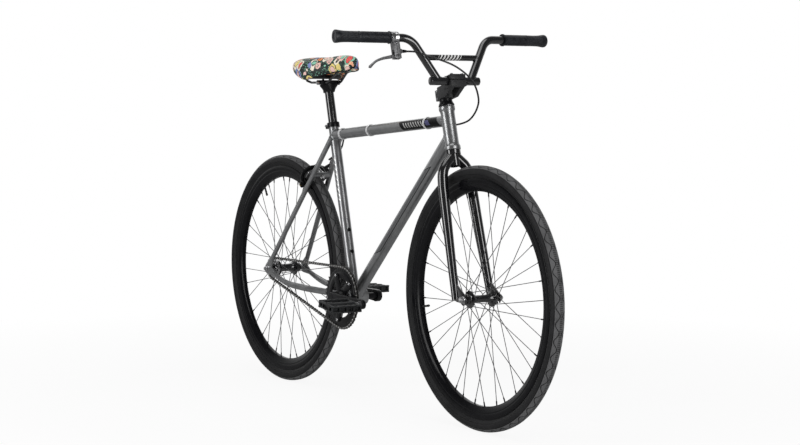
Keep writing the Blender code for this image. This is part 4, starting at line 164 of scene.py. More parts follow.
print("the world is white for the camera and", ROOM_LIGHT, "for light")

# %% [markdown]
# The floor is one large pale sheet. Close to the bike it takes a faint shadow, and further out it
# fades into the white of the world, so no horizon shows. The fade is a distance from the origin,
# read from Object coordinates. Mirrored rays meet a darker floor, so black undersides stay black.

# %% Floor
FLOOR_REACH = 14
FLOOR_COLOUR, MIRRORED_COLOUR, MIRRORED_GLOW = 0.93, 0.25, 0.15
floor_mesh = bmesh.new()
bmesh.ops.create_grid(floor_mesh, x_segments=8, y_segments=8, size=FLOOR_REACH)
floor_data = bpy.data.meshes.new("floor")
floor_mesh.to_mesh(floor_data)
floor_mesh.free()
floor = bpy.data.objects.new("floor", floor_data)
bpy.context.scene.collection.objects.link(floor)

pale = bpy.data.materials.new("pale_floor")
pale.use_nodes = True
tree = pale.node_tree
tree.nodes.clear()
fade = spread(tree, vector_calc(tree, "LENGTH", object_place(tree)), 0.90, 1.0, 0.9, 2.4)
path = tree.nodes.new("ShaderNodeLightPath")
glossy = path.outputs["Is Glossy Ray"]
visible = calc(tree, "MAXIMUM", path.outputs["Is Camera Ray"], calc(tree, "MULTIPLY", glossy, MIRRORED_GLOW))
share = calc(tree, "MULTIPLY", fade, visible)
colour = calc(tree, "MULTIPLY_ADD", glossy, MIRRORED_COLOUR - FLOOR_COLOUR, FLOOR_COLOUR)
matt = linked(tree, "ShaderNodeBsdfDiffuse", Color=colour)
glow = linked(tree, "ShaderNodeEmission", Color=(1, 1, 1, 1), Strength=1.0)
blend_floor = linked(tree, "ShaderNodeMixShader", i0=share, i1=matt.outputs[0], i2=glow.outputs[0])
linked(tree, "ShaderNodeOutputMaterial", Surface=blend_floor.outputs[0])
floor_data.materials.append(pale)
print("floor is", 2 * FLOOR_REACH, "m wide")

# %% [markdown]
# Nearly every finish on a bike is one colour that varies a little: paint over fine flakes,
# anodised alloy, moulded rubber. One helper makes them all from the same two noises, a broad one
# for colour and gloss and a fine one for the surface, because the eye reads a perfectly even
# surface as false. What is the same all over is set on the shader's own sockets.

# %% A finish with a varied surface
def ramp(tree, value, stops):
    node = linked(tree, "ShaderNodeValToRGB", Fac=value)
    band = node.color_ramp
    while len(band.elements) < len(stops):
        band.elements.new(0.5)
    for element, (position, colour) in zip(band.elements, stops):
        element.position = position
        element.color = (*colour, 1)
    return node.outputs["Color"]

def bumped(tree, shader, height, distance, strength=1.0):
    bump = linked(tree, "ShaderNodeBump", Height=height, Strength=strength, Distance=distance)
    tree.links.new(bump.outputs["Normal"], shader.inputs["Normal"])

def new_material(name, specular):
    """A material, its node tree and its shader."""
    material = bpy.data.materials.new(name)
    material.use_nodes = True
    shader = material.node_tree.nodes["Principled BSDF"]
    shader.inputs["Specular IOR Level"].default_value = specular
    return material, material.node_tree, shader

def finish(name, dark, light, metallic, rough, broad=30, fine=900, depth=0.00002, specular=0.5, coat=0.0):
    """A material with a broad noise in its colour and gloss and a fine one in its surface."""
    material, tree, shader = new_material(name, specular)
    for socket, value in (("Metallic", metallic), ("Coat Weight", coat), ("Coat Roughness", 0.04)):
        shader.inputs[socket].default_value = value
    place = object_place(tree)
    slow, quick = noise(tree, place, broad, 4.0), noise(tree, place, fine, 2.0)
    mixed = calc(tree, "MULTIPLY_ADD", quick, 0.35, calc(tree, "MULTIPLY", slow, 0.65))
    tree.links.new(ramp(tree, mixed, ((0.35, dark), (0.65, light))), shader.inputs["Base Color"])
    tree.links.new(spread(tree, slow, *rough), shader.inputs["Roughness"])
    bumped(tree, shader, quick, depth)
    print("finish:", name)
    return material

gunmetal = finish("gunmetal_paint", (0.30, 0.305, 0.31), (0.39, 0.395, 0.40), 0.92, (0.31, 0.36),
                  fine=700, depth=0.000004)
gloss_black = finish("gloss_black_paint", (0.004, 0.004, 0.005), (0.007, 0.007, 0.008), 0.0, (0.13, 0.18),
                     fine=700, depth=0.000002, coat=1.0)
for socket, value in (("IOR", 1.55), ("Coat IOR", 1.6), ("Coat Roughness", 0.09)):
    gloss_black.node_tree.nodes["Principled BSDF"].inputs[socket].default_value = value
satin_black = finish("satin_black_alloy", (0.004, 0.004, 0.005), (0.008, 0.008, 0.009), 0.0, (0.24, 0.34),
                     depth=0.00001, specular=0.22)
rim_black = finish("anodised_rim", (0.003, 0.003, 0.004), (0.006, 0.006, 0.007), 0.0, (0.14, 0.22),
                   broad=60, depth=0.000006, specular=0.16)
matt_black = finish("shot_peened_black", (0.016, 0.016, 0.017), (0.030, 0.030, 0.032), 0.1, (0.42, 0.55),
                    broad=120, fine=1400, depth=0.00006)

# %% [markdown]
# The bright parts differ more in gloss than in colour: spokes are drawn stainless wire, nuts and
# rings are plated and nearly mirror-like, the brake lever is cast and brushed, and the chain is
# darkened by its oil. Rubber and plastic have no metal in them and a rough, low sheen.

# %% Bright and soft finishes
spoke_steel = finish("stainless_wire", (0.10, 0.10, 0.105), (0.17, 0.17, 0.175), 0.9, (0.25, 0.35), broad=80)
plated = finish("plated_steel", (0.52, 0.52, 0.53), (0.66, 0.66, 0.67), 1.0, (0.14, 0.24), broad=60)
chain_steel = finish("oiled_chain", (0.13, 0.128, 0.125), (0.25, 0.245, 0.24), 0.9, (0.26, 0.38), broad=200)
dark_steel = finish("oiled_rollers", (0.030, 0.029, 0.028), (0.060, 0.058, 0.056), 0.8, (0.30, 0.42), broad=200)
pin_steel = finish("chain_pins", (0.38, 0.375, 0.37), (0.52, 0.515, 0.51), 0.8, (0.30, 0.42), broad=200)
bright_band = finish("polished_bands", (0.74, 0.74, 0.75), (0.86, 0.86, 0.87), 0.5, (0.22, 0.32), broad=120)
cast_silver = finish("cast_lever_alloy", (0.19, 0.19, 0.195), (0.30, 0.30, 0.305), 0.8, (0.32, 0.44),
                     broad=150, depth=0.00005)
brass = finish("brass_nut", (0.42, 0.28, 0.08), (0.58, 0.40, 0.14), 1.0, (0.25, 0.35), broad=120)
moulded = finish("moulded_plastic", (0.008, 0.009, 0.010), (0.016, 0.017, 0.019), 0.0, (0.36, 0.50),
                  broad=90, depth=0.00008)
shell_plastic = finish("saddle_shell_plastic", (0.004, 0.004, 0.005), (0.008, 0.008, 0.009), 0.0, (0.42, 0.56),
                       depth=0.00005, specular=0.3)
jacket = finish("cable_jacket", (0.008, 0.008, 0.009), (0.014, 0.014, 0.015), 0.0, (0.3, 0.4), broad=200)
pad_rubber = finish("brake_rubber", (0.010, 0.010, 0.010), (0.020, 0.020, 0.020), 0.0, (0.6, 0.75), broad=200)

# %% [markdown]
# The frame carries plain graphics: slanted bars on the tubes. They are a mask on the paint. A
# point's distance along the tube and its height across it come from two dot products with
# Object coordinates, and bars are cut from them.

# %% Bars on a tube
def layer(tree, amount, under, over):
    """One colour over another, by an amount from 0 to 1."""
    node = tree.nodes.new("ShaderNodeMix")
    node.data_type = "RGBA"
    tree.links.new(amount, node.inputs[0])
    for socket, value in ((node.inputs[6], under), (node.inputs[7], over)):
        if isinstance(value, bpy.types.NodeSocket):
            tree.links.new(value, socket)
        else:
            socket.default_value = (*value, 1)
    return node.outputs[2]

def along_tube(tree, start, along):
    """Distance along a tube and height across it, as two sockets in metres."""
    offset = vector_calc(tree, "SUBTRACT", object_place(tree), tuple(start))
    beside = Vector((1, 0, 0)) if abs(along.y) > 0.9 else Vector((0, 1, 0))
    return [vector_calc(tree, "DOT_PRODUCT", offset, tuple(way)) for way in (along, along.cross(beside))]

def between(tree, value, low, high):
    return calc(tree, "MULTIPLY", calc(tree, "GREATER_THAN", value, low), calc(tree, "LESS_THAN", value, high))

def paint_over(tree, mask, ink):
    shader = tree.nodes["Principled BSDF"]
    under = shader.inputs["Base Color"].links[0].from_socket
    tree.links.new(layer(tree, mask, under, ink), shader.inputs["Base Color"])

def barred(material, start, along, low, high, reach, pitch, ink, slant=0.8, share=0.27):
    """Slanted bars of one ink between two distances along a tube."""
    tree = material.node_tree
    distance, height = along_tube(tree, start, along)
    leaned = calc(tree, "MULTIPLY_ADD", height, slant, distance)
    row = calc(tree, "PINGPONG", calc(tree, "DIVIDE", leaned, pitch), 0.5)
    mask = calc(tree, "MULTIPLY", between(tree, leaned, low, high), between(tree, height, -reach, reach))
    if share < 0.5:
        mask = calc(tree, "MULTIPLY", mask, calc(tree, "GREATER_THAN", row, share))
    paint_over(tree, mask, ink)

def repainted(material, name):
    """A copy of a finish, which can then carry graphics of its own."""
    paint = material.copy()
    paint.name = name
    return paint

# %% [markdown]
# Each new piece is made as a bmesh, which is Blender's mesh in memory. One helper finishes them
# all: doubles merged, faces turned outwards, edges sharper than the crease angle kept crisp, and
# the piece tied to the CAD body that moves it.

# %% Finish a piece
MERGE = 0.00001

def add_piece(name, mesh, body, material, replaces=(), crease=32):
    bmesh.ops.remove_doubles(mesh, verts=mesh.verts, dist=MERGE)
    bmesh.ops.recalc_face_normals(mesh, faces=mesh.faces)
    data = bpy.data.meshes.new(name)
    mesh.to_mesh(data)
    mesh.free()
    data.shade_smooth()
    data.set_sharp_from_angle(angle=radians(crease))
    data.materials.append(material)
    piece = bpy.data.objects.new(name, data)
    bpy.context.scene.collection.objects.link(piece)
    if body:
        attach(piece, body)
    if replaces:
        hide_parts(*replaces)
    print(name, "has", len(data.polygons), "faces")
    return piece

scratch = bpy.data.meshes.new("scratch")

def put(mesh, shape, *places):
    """Copy a shape into a mesh, once for each place given as a matrix."""
    for where in places or (Matrix(),):
        copy = shape.copy()
        copy.transform(where)
        copy.to_mesh(scratch)
        mesh.from_mesh(scratch)
        copy.free()
    shape.free()
    return mesh

def stand(origin, axis, side=(0, 1, 0)):
    """The matrix that stands local Z along an axis, with local X towards a side."""
    z = Vector(axis).normalized()
    x = Vector(side) - z * Vector(side).dot(z)
    x = x.normalized() if x.length > 0.0001 else z.orthogonal().normalized()
    return Matrix.Translation(origin) @ Matrix((x, z.cross(x), z)).transposed().to_4x4()

# %% [markdown]
# Round things are turned, as on a lathe: half of the section is drawn as (radius, height) points
# and spun round Z. A bent tube is a ring carried along a path; at each step the ring's edge is
# extruded and moved to the next station, so it can be narrowed or flattened on the way.

# %% Turned and swept shapes
def turned(profile, steps=48, closed=False):
    mesh = bmesh.new()
    corners = [mesh.verts.new((radius, 0, height)) for radius, height in profile]
    ends = corners[1:] + corners[:1] if closed else corners[1:]
    edges = [mesh.edges.new(pair) for pair in zip(corners, ends)]
    bmesh.ops.spin(mesh, geom=corners + edges, cent=(0, 0, 0), axis=(0, 0, 1), angle=2 * pi,
                   steps=steps, use_merge=True)
    bmesh.ops.remove_doubles(mesh, verts=mesh.verts, dist=0.000005)
    return mesh

def rod(radius, low, high, chamfer=0.0004, steps=24):
    return turned([(0, low), (radius - chamfer, low), (radius, low + chamfer),
                   (radius, high - chamfer), (radius - chamfer, high), (0, high)], steps)

def stations(path, side=None, cyclic=False):
    """A matrix at each point of a path. A side keeps the ring level, or else it doesn't twist."""
    path = [Vector(point) for point in path]
    count = len(path)
    behind = [path[i - 1] if i or cyclic else path[0] for i in range(count)]
    before = [path[(i + 1) % count] if i < count - 1 or cyclic else path[-1] for i in range(count)]
    along = [(b - a).normalized() for a, b in zip(behind, before)]
    across = along[0].orthogonal()
    result = []
    for i in range(count):
        if isinstance(side, list):
            across = Vector(side[i])
        elif side:
            across = Vector(side)
        elif i:
            across = along[i - 1].rotation_difference(along[i]) @ across
        result.append(stand(path[i], along[i], across))
    return result

def swept(path, sizes, sides=20, side=None, cyclic=False):
    """A ring carried along a path. A size is a radius, or a half width to the side and one across it."""
    mesh = bmesh.new()
    places = stations(path, side, cyclic)
    if not isinstance(sizes, list):
        sizes = [sizes] * len(places)
    pairs = [size if isinstance(size, tuple) else (size, size) for size in sizes]
    shapes = [place @ Matrix.Diagonal((a, b, 1, 1)) for place, (a, b) in zip(places, pairs)]
    bmesh.ops.create_circle(mesh, segments=sides, radius=1, matrix=shapes[0])
    first = list(mesh.edges)
    ring = first
    for here, there in zip(shapes, shapes[1:]):
        grown = bmesh.ops.extrude_edge_only(mesh, edges=ring)["geom"]
        points = [item for item in grown if isinstance(item, bmesh.types.BMVert)]
        bmesh.ops.transform(mesh, matrix=there @ here.inverted(), verts=points)
        moved = set(points)
        ring = [item for item in grown if isinstance(item, bmesh.types.BMEdge)
                and item.verts[0] in moved and item.verts[1] in moved]
    if cyclic:
        bmesh.ops.bridge_loops(mesh, edges=ring + first)
    else:
        bmesh.ops.edgeloop_fill(mesh, edges=first)
        bmesh.ops.edgeloop_fill(mesh, edges=ring)
    return mesh

def rounded_path(points, radius, steps=8):
    """A path of straights joined by arcs, as a tube bender makes it."""
    points = [Vector(point) for point in points]
    radii = radius if isinstance(radius, list) else [radius] * (len(points) - 2)
    path = [points[0]]
    for before, corner, after, bend in zip(points, points[1:], points[2:], radii):
        a, b = (before - corner).normalized(), (after - corner).normalized()
        half = acos(max(-1, min(1, a.dot(b)))) / 2
        start, end = corner + a * (bend / tan(half)), corner + b * (bend / tan(half))
        middle = corner + (a + b).normalized() * (bend / sin(half))
        whole = (start - middle).rotation_difference(end - middle)
        for i in range(steps + 1):
            path.append(middle + Quaternion().slerp(whole, i / steps) @ (start - middle))
    return path + [points[-1]]

# %% [markdown]
# Flat parts such as dropouts, plates and levers are cut from sheet: an outline is filled, with
# its holes, then thickened, and its rims are bevelled. The bevel matters more than it seems,
# because it is the rim that catches the light.

# %% Plates and blocks
def plate(outline, thickness, bevel=0.0004, holes=(), segments=2, crease=25):
    """Sheet of a given thickness round local Z = 0."""
    mesh = bmesh.new()
    for loop in (outline, *holes):
        corners = [mesh.verts.new((point[0], point[1], -thickness / 2)) for point in loop]
        for pair in zip(corners, corners[1:] + corners[:1]):
            mesh.edges.new(pair)
    if holes:
        bmesh.ops.triangle_fill(mesh, edges=list(mesh.edges), use_beauty=True)
    else:
        mesh.faces.new(list(mesh.verts))
    grown = bmesh.ops.extrude_face_region(mesh, geom=list(mesh.faces))["geom"]
    top = [item for item in grown if isinstance(item, bmesh.types.BMVert)]
    bmesh.ops.translate(mesh, verts=top, vec=(0, 0, thickness))
    bmesh.ops.recalc_face_normals(mesh, faces=mesh.faces)
    if bevel:
        rims = [edge for edge in mesh.edges if len(edge.link_faces) == 2
                and edge.calc_face_angle() > radians(crease)
                and abs(edge.verts[0].co.z - edge.verts[1].co.z) < thickness / 4]
        bmesh.ops.bevel(mesh, geom=rims, offset=bevel, segments=segments, profile=0.5,
                        affect="EDGES", material=-1)
    return mesh

def circle(centre, radius, count=24, start=0, end=2 * pi):
    full = abs(end - start) > 6.28
    return [(centre[0] + radius * cos(start + (end - start) * i / (count if full else count - 1)),
             centre[1] + radius * sin(start + (end - start) * i / (count if full else count - 1)))
            for i in range(count)]

def block(size, bevel=0.001, segments=3, where=Matrix()):
    mesh = bmesh.new()
    bmesh.ops.create_cube(mesh, size=1, matrix=where @ Matrix.Diagonal((*size, 1)))
    bmesh.ops.bevel(mesh, geom=list(mesh.edges), offset=bevel, segments=segments, profile=0.5,
                    affect="EDGES", material=-1)
    return mesh

def refined(node, bevel=0.0008, segments=3, angle=28):
    """A CAD solid's own shape with its hard edges rounded."""
    mesh = bmesh.new()
    mesh.from_mesh(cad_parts[node].data)
    bmesh.ops.remove_doubles(mesh, verts=mesh.verts, dist=MERGE)
    bmesh.ops.dissolve_limit(mesh, angle_limit=radians(3), verts=mesh.verts, edges=mesh.edges)
    sharp = [edge for edge in mesh.edges if len(edge.link_faces) == 2
             and edge.calc_face_angle() > radians(angle)]
    bmesh.ops.bevel(mesh, geom=sharp, offset=bevel, segments=segments, profile=0.5,
                    affect="EDGES", material=-1, clamp_overlap=True)
    return mesh

# %% [markdown]
# A frame tube is cut at each end to fit round its neighbour, which a builder calls a mitre. Here
# the points of the end ring slide along the tube until they lie on the neighbour's cylinder. The
# bead of the weld follows that same line: a closed sweep, flattened, with the small even
# ripples that a torch leaves.

# %% Mitred tubes and weld beads
def on_cylinder(point, along, centre, axis, radius, sign):
    """Slide a point along a direction onto a cylinder."""
    axis = Vector(axis).normalized()
    a = along - axis * along.dot(axis)
    b = (point - centre) - axis * (point - centre).dot(axis)
    square, mixed = a.dot(a), a.dot(b)
    root = sqrt(max(0, mixed * mixed - square * (b.dot(b) - radius * radius)))
    return point + along * ((-mixed + sign * root) / square)

def tube(start, end, radius, wall=0.0012, at_start=None, at_end=None, steps=48):
    """A straight tube. An end may be cut to a neighbour: (point, axis, radius)."""
    mesh = bmesh.new()
    start, end = Vector(start), Vector(end)
    along = (end - start).normalized()
    base = stand(start, along)
    loops = []
    for size in (radius, radius - wall):
        known = set(mesh.verts)
        bmesh.ops.create_circle(mesh, segments=steps, radius=size, matrix=base)
        low = [vert for vert in mesh.verts if vert not in known]
        edges = list({edge for vert in low for edge in vert.link_edges})
        grown = bmesh.ops.extrude_edge_only(mesh, edges=edges)["geom"]
        high = [item for item in grown if isinstance(item, bmesh.types.BMVert)]
        bmesh.ops.translate(mesh, verts=high, vec=end - start)
        top = [item for item in grown if isinstance(item, bmesh.types.BMEdge)
               and item.verts[0] in set(high) and item.verts[1] in set(high)]
        for points, cut, sign in ((low, at_start, 1), (high, at_end, -1)):
            if cut:
                for vert in points:
                    vert.co = on_cylinder(vert.co, along, Vector(cut[0]), cut[1], cut[2], sign)
        loops.append((edges, top))
    bmesh.ops.bridge_loops(mesh, edges=loops[0][0] + loops[1][0])
    bmesh.ops.bridge_loops(mesh, edges=loops[0][1] + loops[1][1])
    return mesh

def weld(mesh, start, end, radius, neighbour, sign=1, width=0.0026, steps=120):
    """A bead round the joint of a tube and its neighbour."""
    start, end = Vector(start), Vector(end)
    along = (end - start).normalized()
    base = stand(start, along)
    centre, axis = Vector(neighbour[0]), Vector(neighbour[1]).normalized()
    path, sides = [], []
    for i in range(steps):
        angle = 2 * pi * i / steps
        point = base @ Vector((radius * cos(angle), radius * sin(angle), 0))
        point = on_cylinder(point, along, centre, axis, neighbour[2], sign)
        away = (point - centre) - axis * (point - centre).dot(axis)
        path.append(point)
        sides.append(away)
    ripples = [sin(i * 2 * pi * 3 / 10) for i in range(steps)]
    sizes = [(width * 0.55 * (1 + 0.12 * ripple), width * (1 + 0.06 * ripple)) for ripple in ripples]
    put(mesh, swept(path, sizes, sides=8, side=sides, cyclic=True))

# %% [markdown]
# The frame is laid out from four centre lines that meet at the axles, the bracket and the head.
# Welded steel tubes in one dark, metallic paint make it up, so these tubes share a finish but
# each stays a piece of its own.

# %% The frame's main tubes
AXLE_HEIGHT = 0.349
REAR_AXLE, FRONT_AXLE = Vector((-0.5295, 0, AXLE_HEIGHT)), Vector((0.5295, 0, AXLE_HEIGHT))
BRACKET = Vector((-0.112, 0, 0.296))
HEAD_UP, HEAD_FORWARD = Vector((-0.258819, 0, 0.965926)), Vector((0.965926, 0, 0.258819))
HEAD_BOTTOM = Vector((0.39518, 0, 0.73437))
SEAT_UP, SEAT_FORWARD = Vector((-0.2470, 0, 0.96902)), Vector((0.96902, 0, 0.2470))
SEAT_TOP = Vector((-0.24044, 0, 0.79989))
TOP_FRONT, TOP_REAR = Vector((0.37411, 0, 0.81300)), Vector((-0.23140, 0, 0.76442))
DOWN_FRONT = Vector((0.38535, 0, 0.77108))
SIDEWAYS = Vector((0, 1, 0))
HANDS = (("right", -1), ("left", 1))
WHEELS = (("front", FRONT_AXLE), ("rear", REAR_AXLE))
TUBE_RADIUS, DOWN_RADIUS = 0.015, 0.017
head, head_skin = (HEAD_BOTTOM, HEAD_UP, 0.0184), (HEAD_BOTTOM, HEAD_UP, 0.0192)
seat, seat_skin = (SEAT_TOP, SEAT_UP, 0.0146), (SEAT_TOP, SEAT_UP, 0.0151)
shell, shell_skin = (BRACKET, SIDEWAYS, 0.0219), (BRACKET, SIDEWAYS, 0.0227)
WHITE, VIOLET, LINE_GREY = (0.72, 0.72, 0.71), (0.16, 0.16, 0.34), (0.235, 0.240, 0.245)
PATCH_BLACK, EDGE_BLACK = (0.010, 0.010, 0.011), (0.018, 0.018, 0.019)

mesh = tube(TOP_REAR, TOP_FRONT, TUBE_RADIUS, at_start=seat, at_end=head)
weld(mesh, TOP_REAR, TOP_FRONT, TUBE_RADIUS, seat_skin)
weld(mesh, TOP_FRONT, TOP_REAR, TUBE_RADIUS, head_skin)
top_paint = repainted(gunmetal, "top_tube_paint")
top_way = (TOP_FRONT - TOP_REAR).normalized()
barred(top_paint, TOP_REAR, top_way, 0.385, 0.575, 0.0125, 1, PATCH_BLACK, share=1)
barred(top_paint, TOP_REAR, top_way, 0.400, 0.500, 0.0070, 0.0125, WHITE)
barred(top_paint, TOP_REAR, top_way, 0.512, 0.532, 0.0070, 1, VIOLET, share=1)
add_piece("tube_top", mesh, "frame", top_paint, ("top_tube",))

mesh = tube(BRACKET, DOWN_FRONT, DOWN_RADIUS, at_start=shell, at_end=head)
weld(mesh, BRACKET, DOWN_FRONT, DOWN_RADIUS, shell_skin)
weld(mesh, DOWN_FRONT, BRACKET, DOWN_RADIUS, head_skin)
down_paint = repainted(gunmetal, "down_tube_paint")
down_way = (DOWN_FRONT - BRACKET).normalized()
barred(down_paint, BRACKET, down_way, 0.200, 0.560, 0.0092, 1, EDGE_BLACK, slant=2.0, share=1)
barred(down_paint, BRACKET, down_way, 0.204, 0.556, 0.0074, 1, LINE_GREY, slant=2.0, share=1)
add_piece("tube_down", mesh, "frame", down_paint, ("down_tube",))

mesh = tube(BRACKET, SEAT_TOP, TUBE_RADIUS, at_start=shell)
weld(mesh, BRACKET, SEAT_TOP, TUBE_RADIUS, shell_skin)
seat_paint = repainted(gunmetal, "seat_tube_paint")
barred(seat_paint, BRACKET, SEAT_UP, 0.285, 0.415, 0.0072, 0.0150, WHITE, slant=-0.9, share=0.30)
add_piece("tube_seat", mesh, "frame", seat_paint, ("seat_tube",))

# %% [markdown]
# The head tube widens at both ends into the cups that hold the headset's bearings. The lower cup
# ends in a bare, bright lip where it meets the fork. The bracket shell is a short, thick pipe
# across the frame, with a lip at each end where the cup of the crank's bearing is screwed in.

# %% Head tube and bracket shell
HEAD_LENGTH = 0.120
half = [(0.0165, 0.0006), (0.0206, 0.0006), (0.0216, 0.0016), (0.0219, 0.0030), (0.0219, 0.0085),
        (0.0214, 0.0105), (0.0203, 0.0126), (0.0195, 0.0150), (0.0190, 0.0190)]
profile = half + [(radius, HEAD_LENGTH - height) for radius, height in reversed(half)]
mesh = bmesh.new()
put(mesh, turned(profile, 72, closed=True), stand(HEAD_BOTTOM, HEAD_UP))
add_piece("tube_head", mesh, "frame", gunmetal, ("head_tube",))

mesh = bmesh.new()
put(mesh, turned([(0.0170, -0.0001), (0.0208, -0.0001), (0.0213, 0.0004), (0.0208, 0.0010), (0.0170, 0.0010)],
                 72, closed=True), stand(HEAD_BOTTOM, HEAD_UP))
add_piece("lower_lip", mesh, "frame", plated, ())

mesh = bmesh.new()
profile = [(0.0175, 0.034), (0.0218, 0.034), (0.0225, 0.0333), (0.0225, -0.0333), (0.0218, -0.034),
           (0.0175, -0.034)]
put(mesh, turned(profile, 64, closed=True), stand(BRACKET, SIDEWAYS))
add_piece("bracket_shell", mesh, "frame", gunmetal, ("bottom_bracket_shell",))

# %% [markdown]
# Threaded bosses for a bottle cage sit on the down tube and the seat tube. They are small
# riveted collars, each closed by a low button bolt with a hexagon socket.

# %% Bolts and bottle bosses
def socket_bolt(head_radius, head_height, socket=0.45, steps=20):
    """A socket head that stands on local Z = 0."""
    inside = head_radius * socket
    return turned([(0, -0.0005), (head_radius, -0.0005), (head_radius, head_height * 0.45),
                   (head_radius * 0.94, head_height * 0.75), (head_radius * 0.78, head_height),
                   (inside * 1.12, head_height * 1.025), (inside, head_height * 0.92),
                   (inside * 0.94, head_height * 0.3), (0, head_height * 0.26)], steps)

def hexagon(radius, low, high, chamfer=0.0005):
    """A hex nut's body along local Z, with its corners turned off."""
    mesh = plate(circle((0, 0), radius, 6), high - low, chamfer)
    mesh.transform(Matrix.Translation((0, 0, (low + high) / 2)))
    return mesh

BOSS_SPACING = 0.064

def collars(mesh, first, along, out, radius):
    """Two bosses with their bolts, at a distance along a tube from the bracket."""
    for distance in (first, first + BOSS_SPACING):
        spot = BRACKET + along * distance + out * radius
        put(mesh, turned([(0, -0.002), (0.0058, -0.002), (0.0060, 0.0012), (0.0052, 0.0019), (0, 0.0019)], 24),
            stand(spot, out))
        put(mesh, socket_bolt(0.0046, 0.0022), stand(spot + out * 0.0017, out))

mesh = bmesh.new()
collars(mesh, 0.232, down_way, SIDEWAYS.cross(down_way) * -1, 0.0168)
collars(mesh, 0.132, SEAT_UP, SEAT_FORWARD, 0.0148)
add_piece("bottle_bolts", mesh, "frame", satin_black, ())

# %% [markdown]
# Behind the seat tube two pairs of stays hold the rear wheel. The seat stays taper up to the
# seat tube, with a short bridge between them for the brake. The chain stays leave the bracket
# close together and bend outwards to clear the tyre, so they are swept along rounded paths.

# %% Stays
STAY = Vector((0.59937, 0, 0.80047))
SLOPE = Vector((cos(radians(19)), 0, -sin(radians(19))))
DROPOUT_Y, DROPOUT_REACH = 0.0625, 0.0347
STAY_TOP_Y, STAY_TOP_HEIGHT, STAY_STEPS = 0.0145, 0.757, 24
mesh = bmesh.new()
ends = {}
for hand in (-1, 1):
    foot = REAR_AXLE + STAY * DROPOUT_REACH + SIDEWAYS * DROPOUT_Y * hand
    top = Vector((-0.224, STAY_TOP_Y * hand, STAY_TOP_HEIGHT))
    ends[hand] = (foot, top)
    path = [foot.lerp(top, i / STAY_STEPS) for i in range(STAY_STEPS + 1)]
    put(mesh, swept(path, [0.0068 + 0.0007 * min(1, i / 8) for i in range(STAY_STEPS + 1)], 24))
    weld(mesh, top, foot, 0.0072, seat_skin, sign=1, width=0.0018, steps=60)
bridge = REAR_AXLE + STAY * 0.369
reach = DROPOUT_Y + (STAY_TOP_Y - DROPOUT_Y) * (bridge.z - AXLE_HEIGHT) / (STAY_TOP_HEIGHT - AXLE_HEIGHT)
put(mesh, swept([bridge - SIDEWAYS * reach, bridge + SIDEWAYS * reach], 0.008, 24))
for hand, (foot, top) in ends.items():
    weld(mesh, bridge, bridge + SIDEWAYS * hand, 0.008, (bridge + SIDEWAYS * reach * hand, top - foot, 0.0077),
         sign=-1, width=0.0018, steps=60)
add_piece("stays_upper", mesh, "frame", gunmetal, ("seat_stays",))

for word, hand in HANDS:
    outer = REAR_AXLE + SIDEWAYS * DROPOUT_Y * hand
    knots = [outer + SLOPE * DROPOUT_REACH, outer + SLOPE * 0.115,
             BRACKET + Vector((-0.188, 0.052 * hand, 0.010)), BRACKET + Vector((-0.093, 0.0318 * hand, 0.006)),
             BRACKET + Vector((-0.012, 0.0220 * hand, 0.0020))]
    path = rounded_path(knots, [0.35, 0.20, 0.30], 6)
    lengths = [0]
    for a, b in zip(path, path[1:]):
        lengths.append(lengths[-1] + (b - a).length)
    sizes = [0.0072 + 0.0023 * min(1, max(0, (length - 0.04) / 0.10)) for length in lengths]
    mesh = swept(path, sizes, 28)
    weld(mesh, BRACKET + Vector((0, 0.0205 * hand, 0.0015)), knots[-2], 0.0097, shell_skin,
         width=0.0022, steps=72)
    add_piece("stay_lower_" + word, mesh, "frame", gunmetal, ("chain_stay_" + word,))
    mesh = refined("rear_dropout_" + word, 0.0006, 2)
    add_piece("axle_plate_" + word, mesh, "frame", gunmetal, ("rear_dropout_" + word,))

# %% [markdown]
# The fork is painted a deep gloss black. Its blades leave the foot of the steerer side by side,
# swing out over the tyre's shoulders and run down straight, narrowing towards the axle plates. One
# matrix carries everything that is drawn along the steering axis into place.

# %% Fork
STEER = Matrix.Translation(HEAD_BOTTOM) @ Matrix((HEAD_FORWARD, SIDEWAYS, HEAD_UP)).transposed().to_4x4()

def steer(x, y, z):
    return STEER @ Vector((x, y, z))

for word, hand in HANDS:
    knots = [(0, 0.0070, -0.0180), (0, 0.0290, -0.0385), (-0.001, 0.0385, -0.052), (-0.002, 0.0432, -0.070),
             (-0.003, 0.0457, -0.098), (-0.003, 0.0560, -0.4020)]
    path = rounded_path([steer(x, y * hand, z) for x, y, z in knots], [0.030, 0.040, 0.060, 0.15], 6)
    path = path[:-1] + [path[-2].lerp(path[-1], i / 12) for i in range(1, 13)]
    sizes = [0.0140 - 0.0035 * min(1, max(0, (-(STEER.inverted() @ point).z - 0.12) / 0.28)) for point in path]
    mesh = swept(path, sizes, 36)
    add_piece("blade_" + word, mesh, "fork", gloss_black, ("fork_blade_" + word,), crease=40)

    axle = Vector((0.030, -0.407))
    outline = [(axle.x - 0.0048, axle.y - 0.0150), (axle.x - 0.0048, axle.y)]
    outline += circle(axle, 0.0048, 9, pi, 0)[1:-1]
    outline += [(axle.x + 0.0048, axle.y), (axle.x + 0.0048, axle.y - 0.0150)]
    outline += circle(axle, 0.0140, 12, radians(-62), radians(58))
    outline += [(axle.x + x, axle.y + y) for x, y in (
        (-0.0180, 0.0430), (-0.0290, 0.0470), (-0.0360, 0.0420), (-0.0375, 0.0080), (-0.0330, 0.0010),
        (-0.0250, -0.0020))]
    outline += circle(axle, 0.0140, 5, radians(205), radians(242))
    flat = STEER @ Matrix.Translation((0, 0.0545 * hand, 0)) @ Matrix.Rotation(pi / 2, 4, "X")
    mesh = bmesh.new()
    put(mesh, plate(outline, 0.005, 0.0006), flat)
    add_piece("fork_end_" + word, mesh, "fork", gloss_black, ())

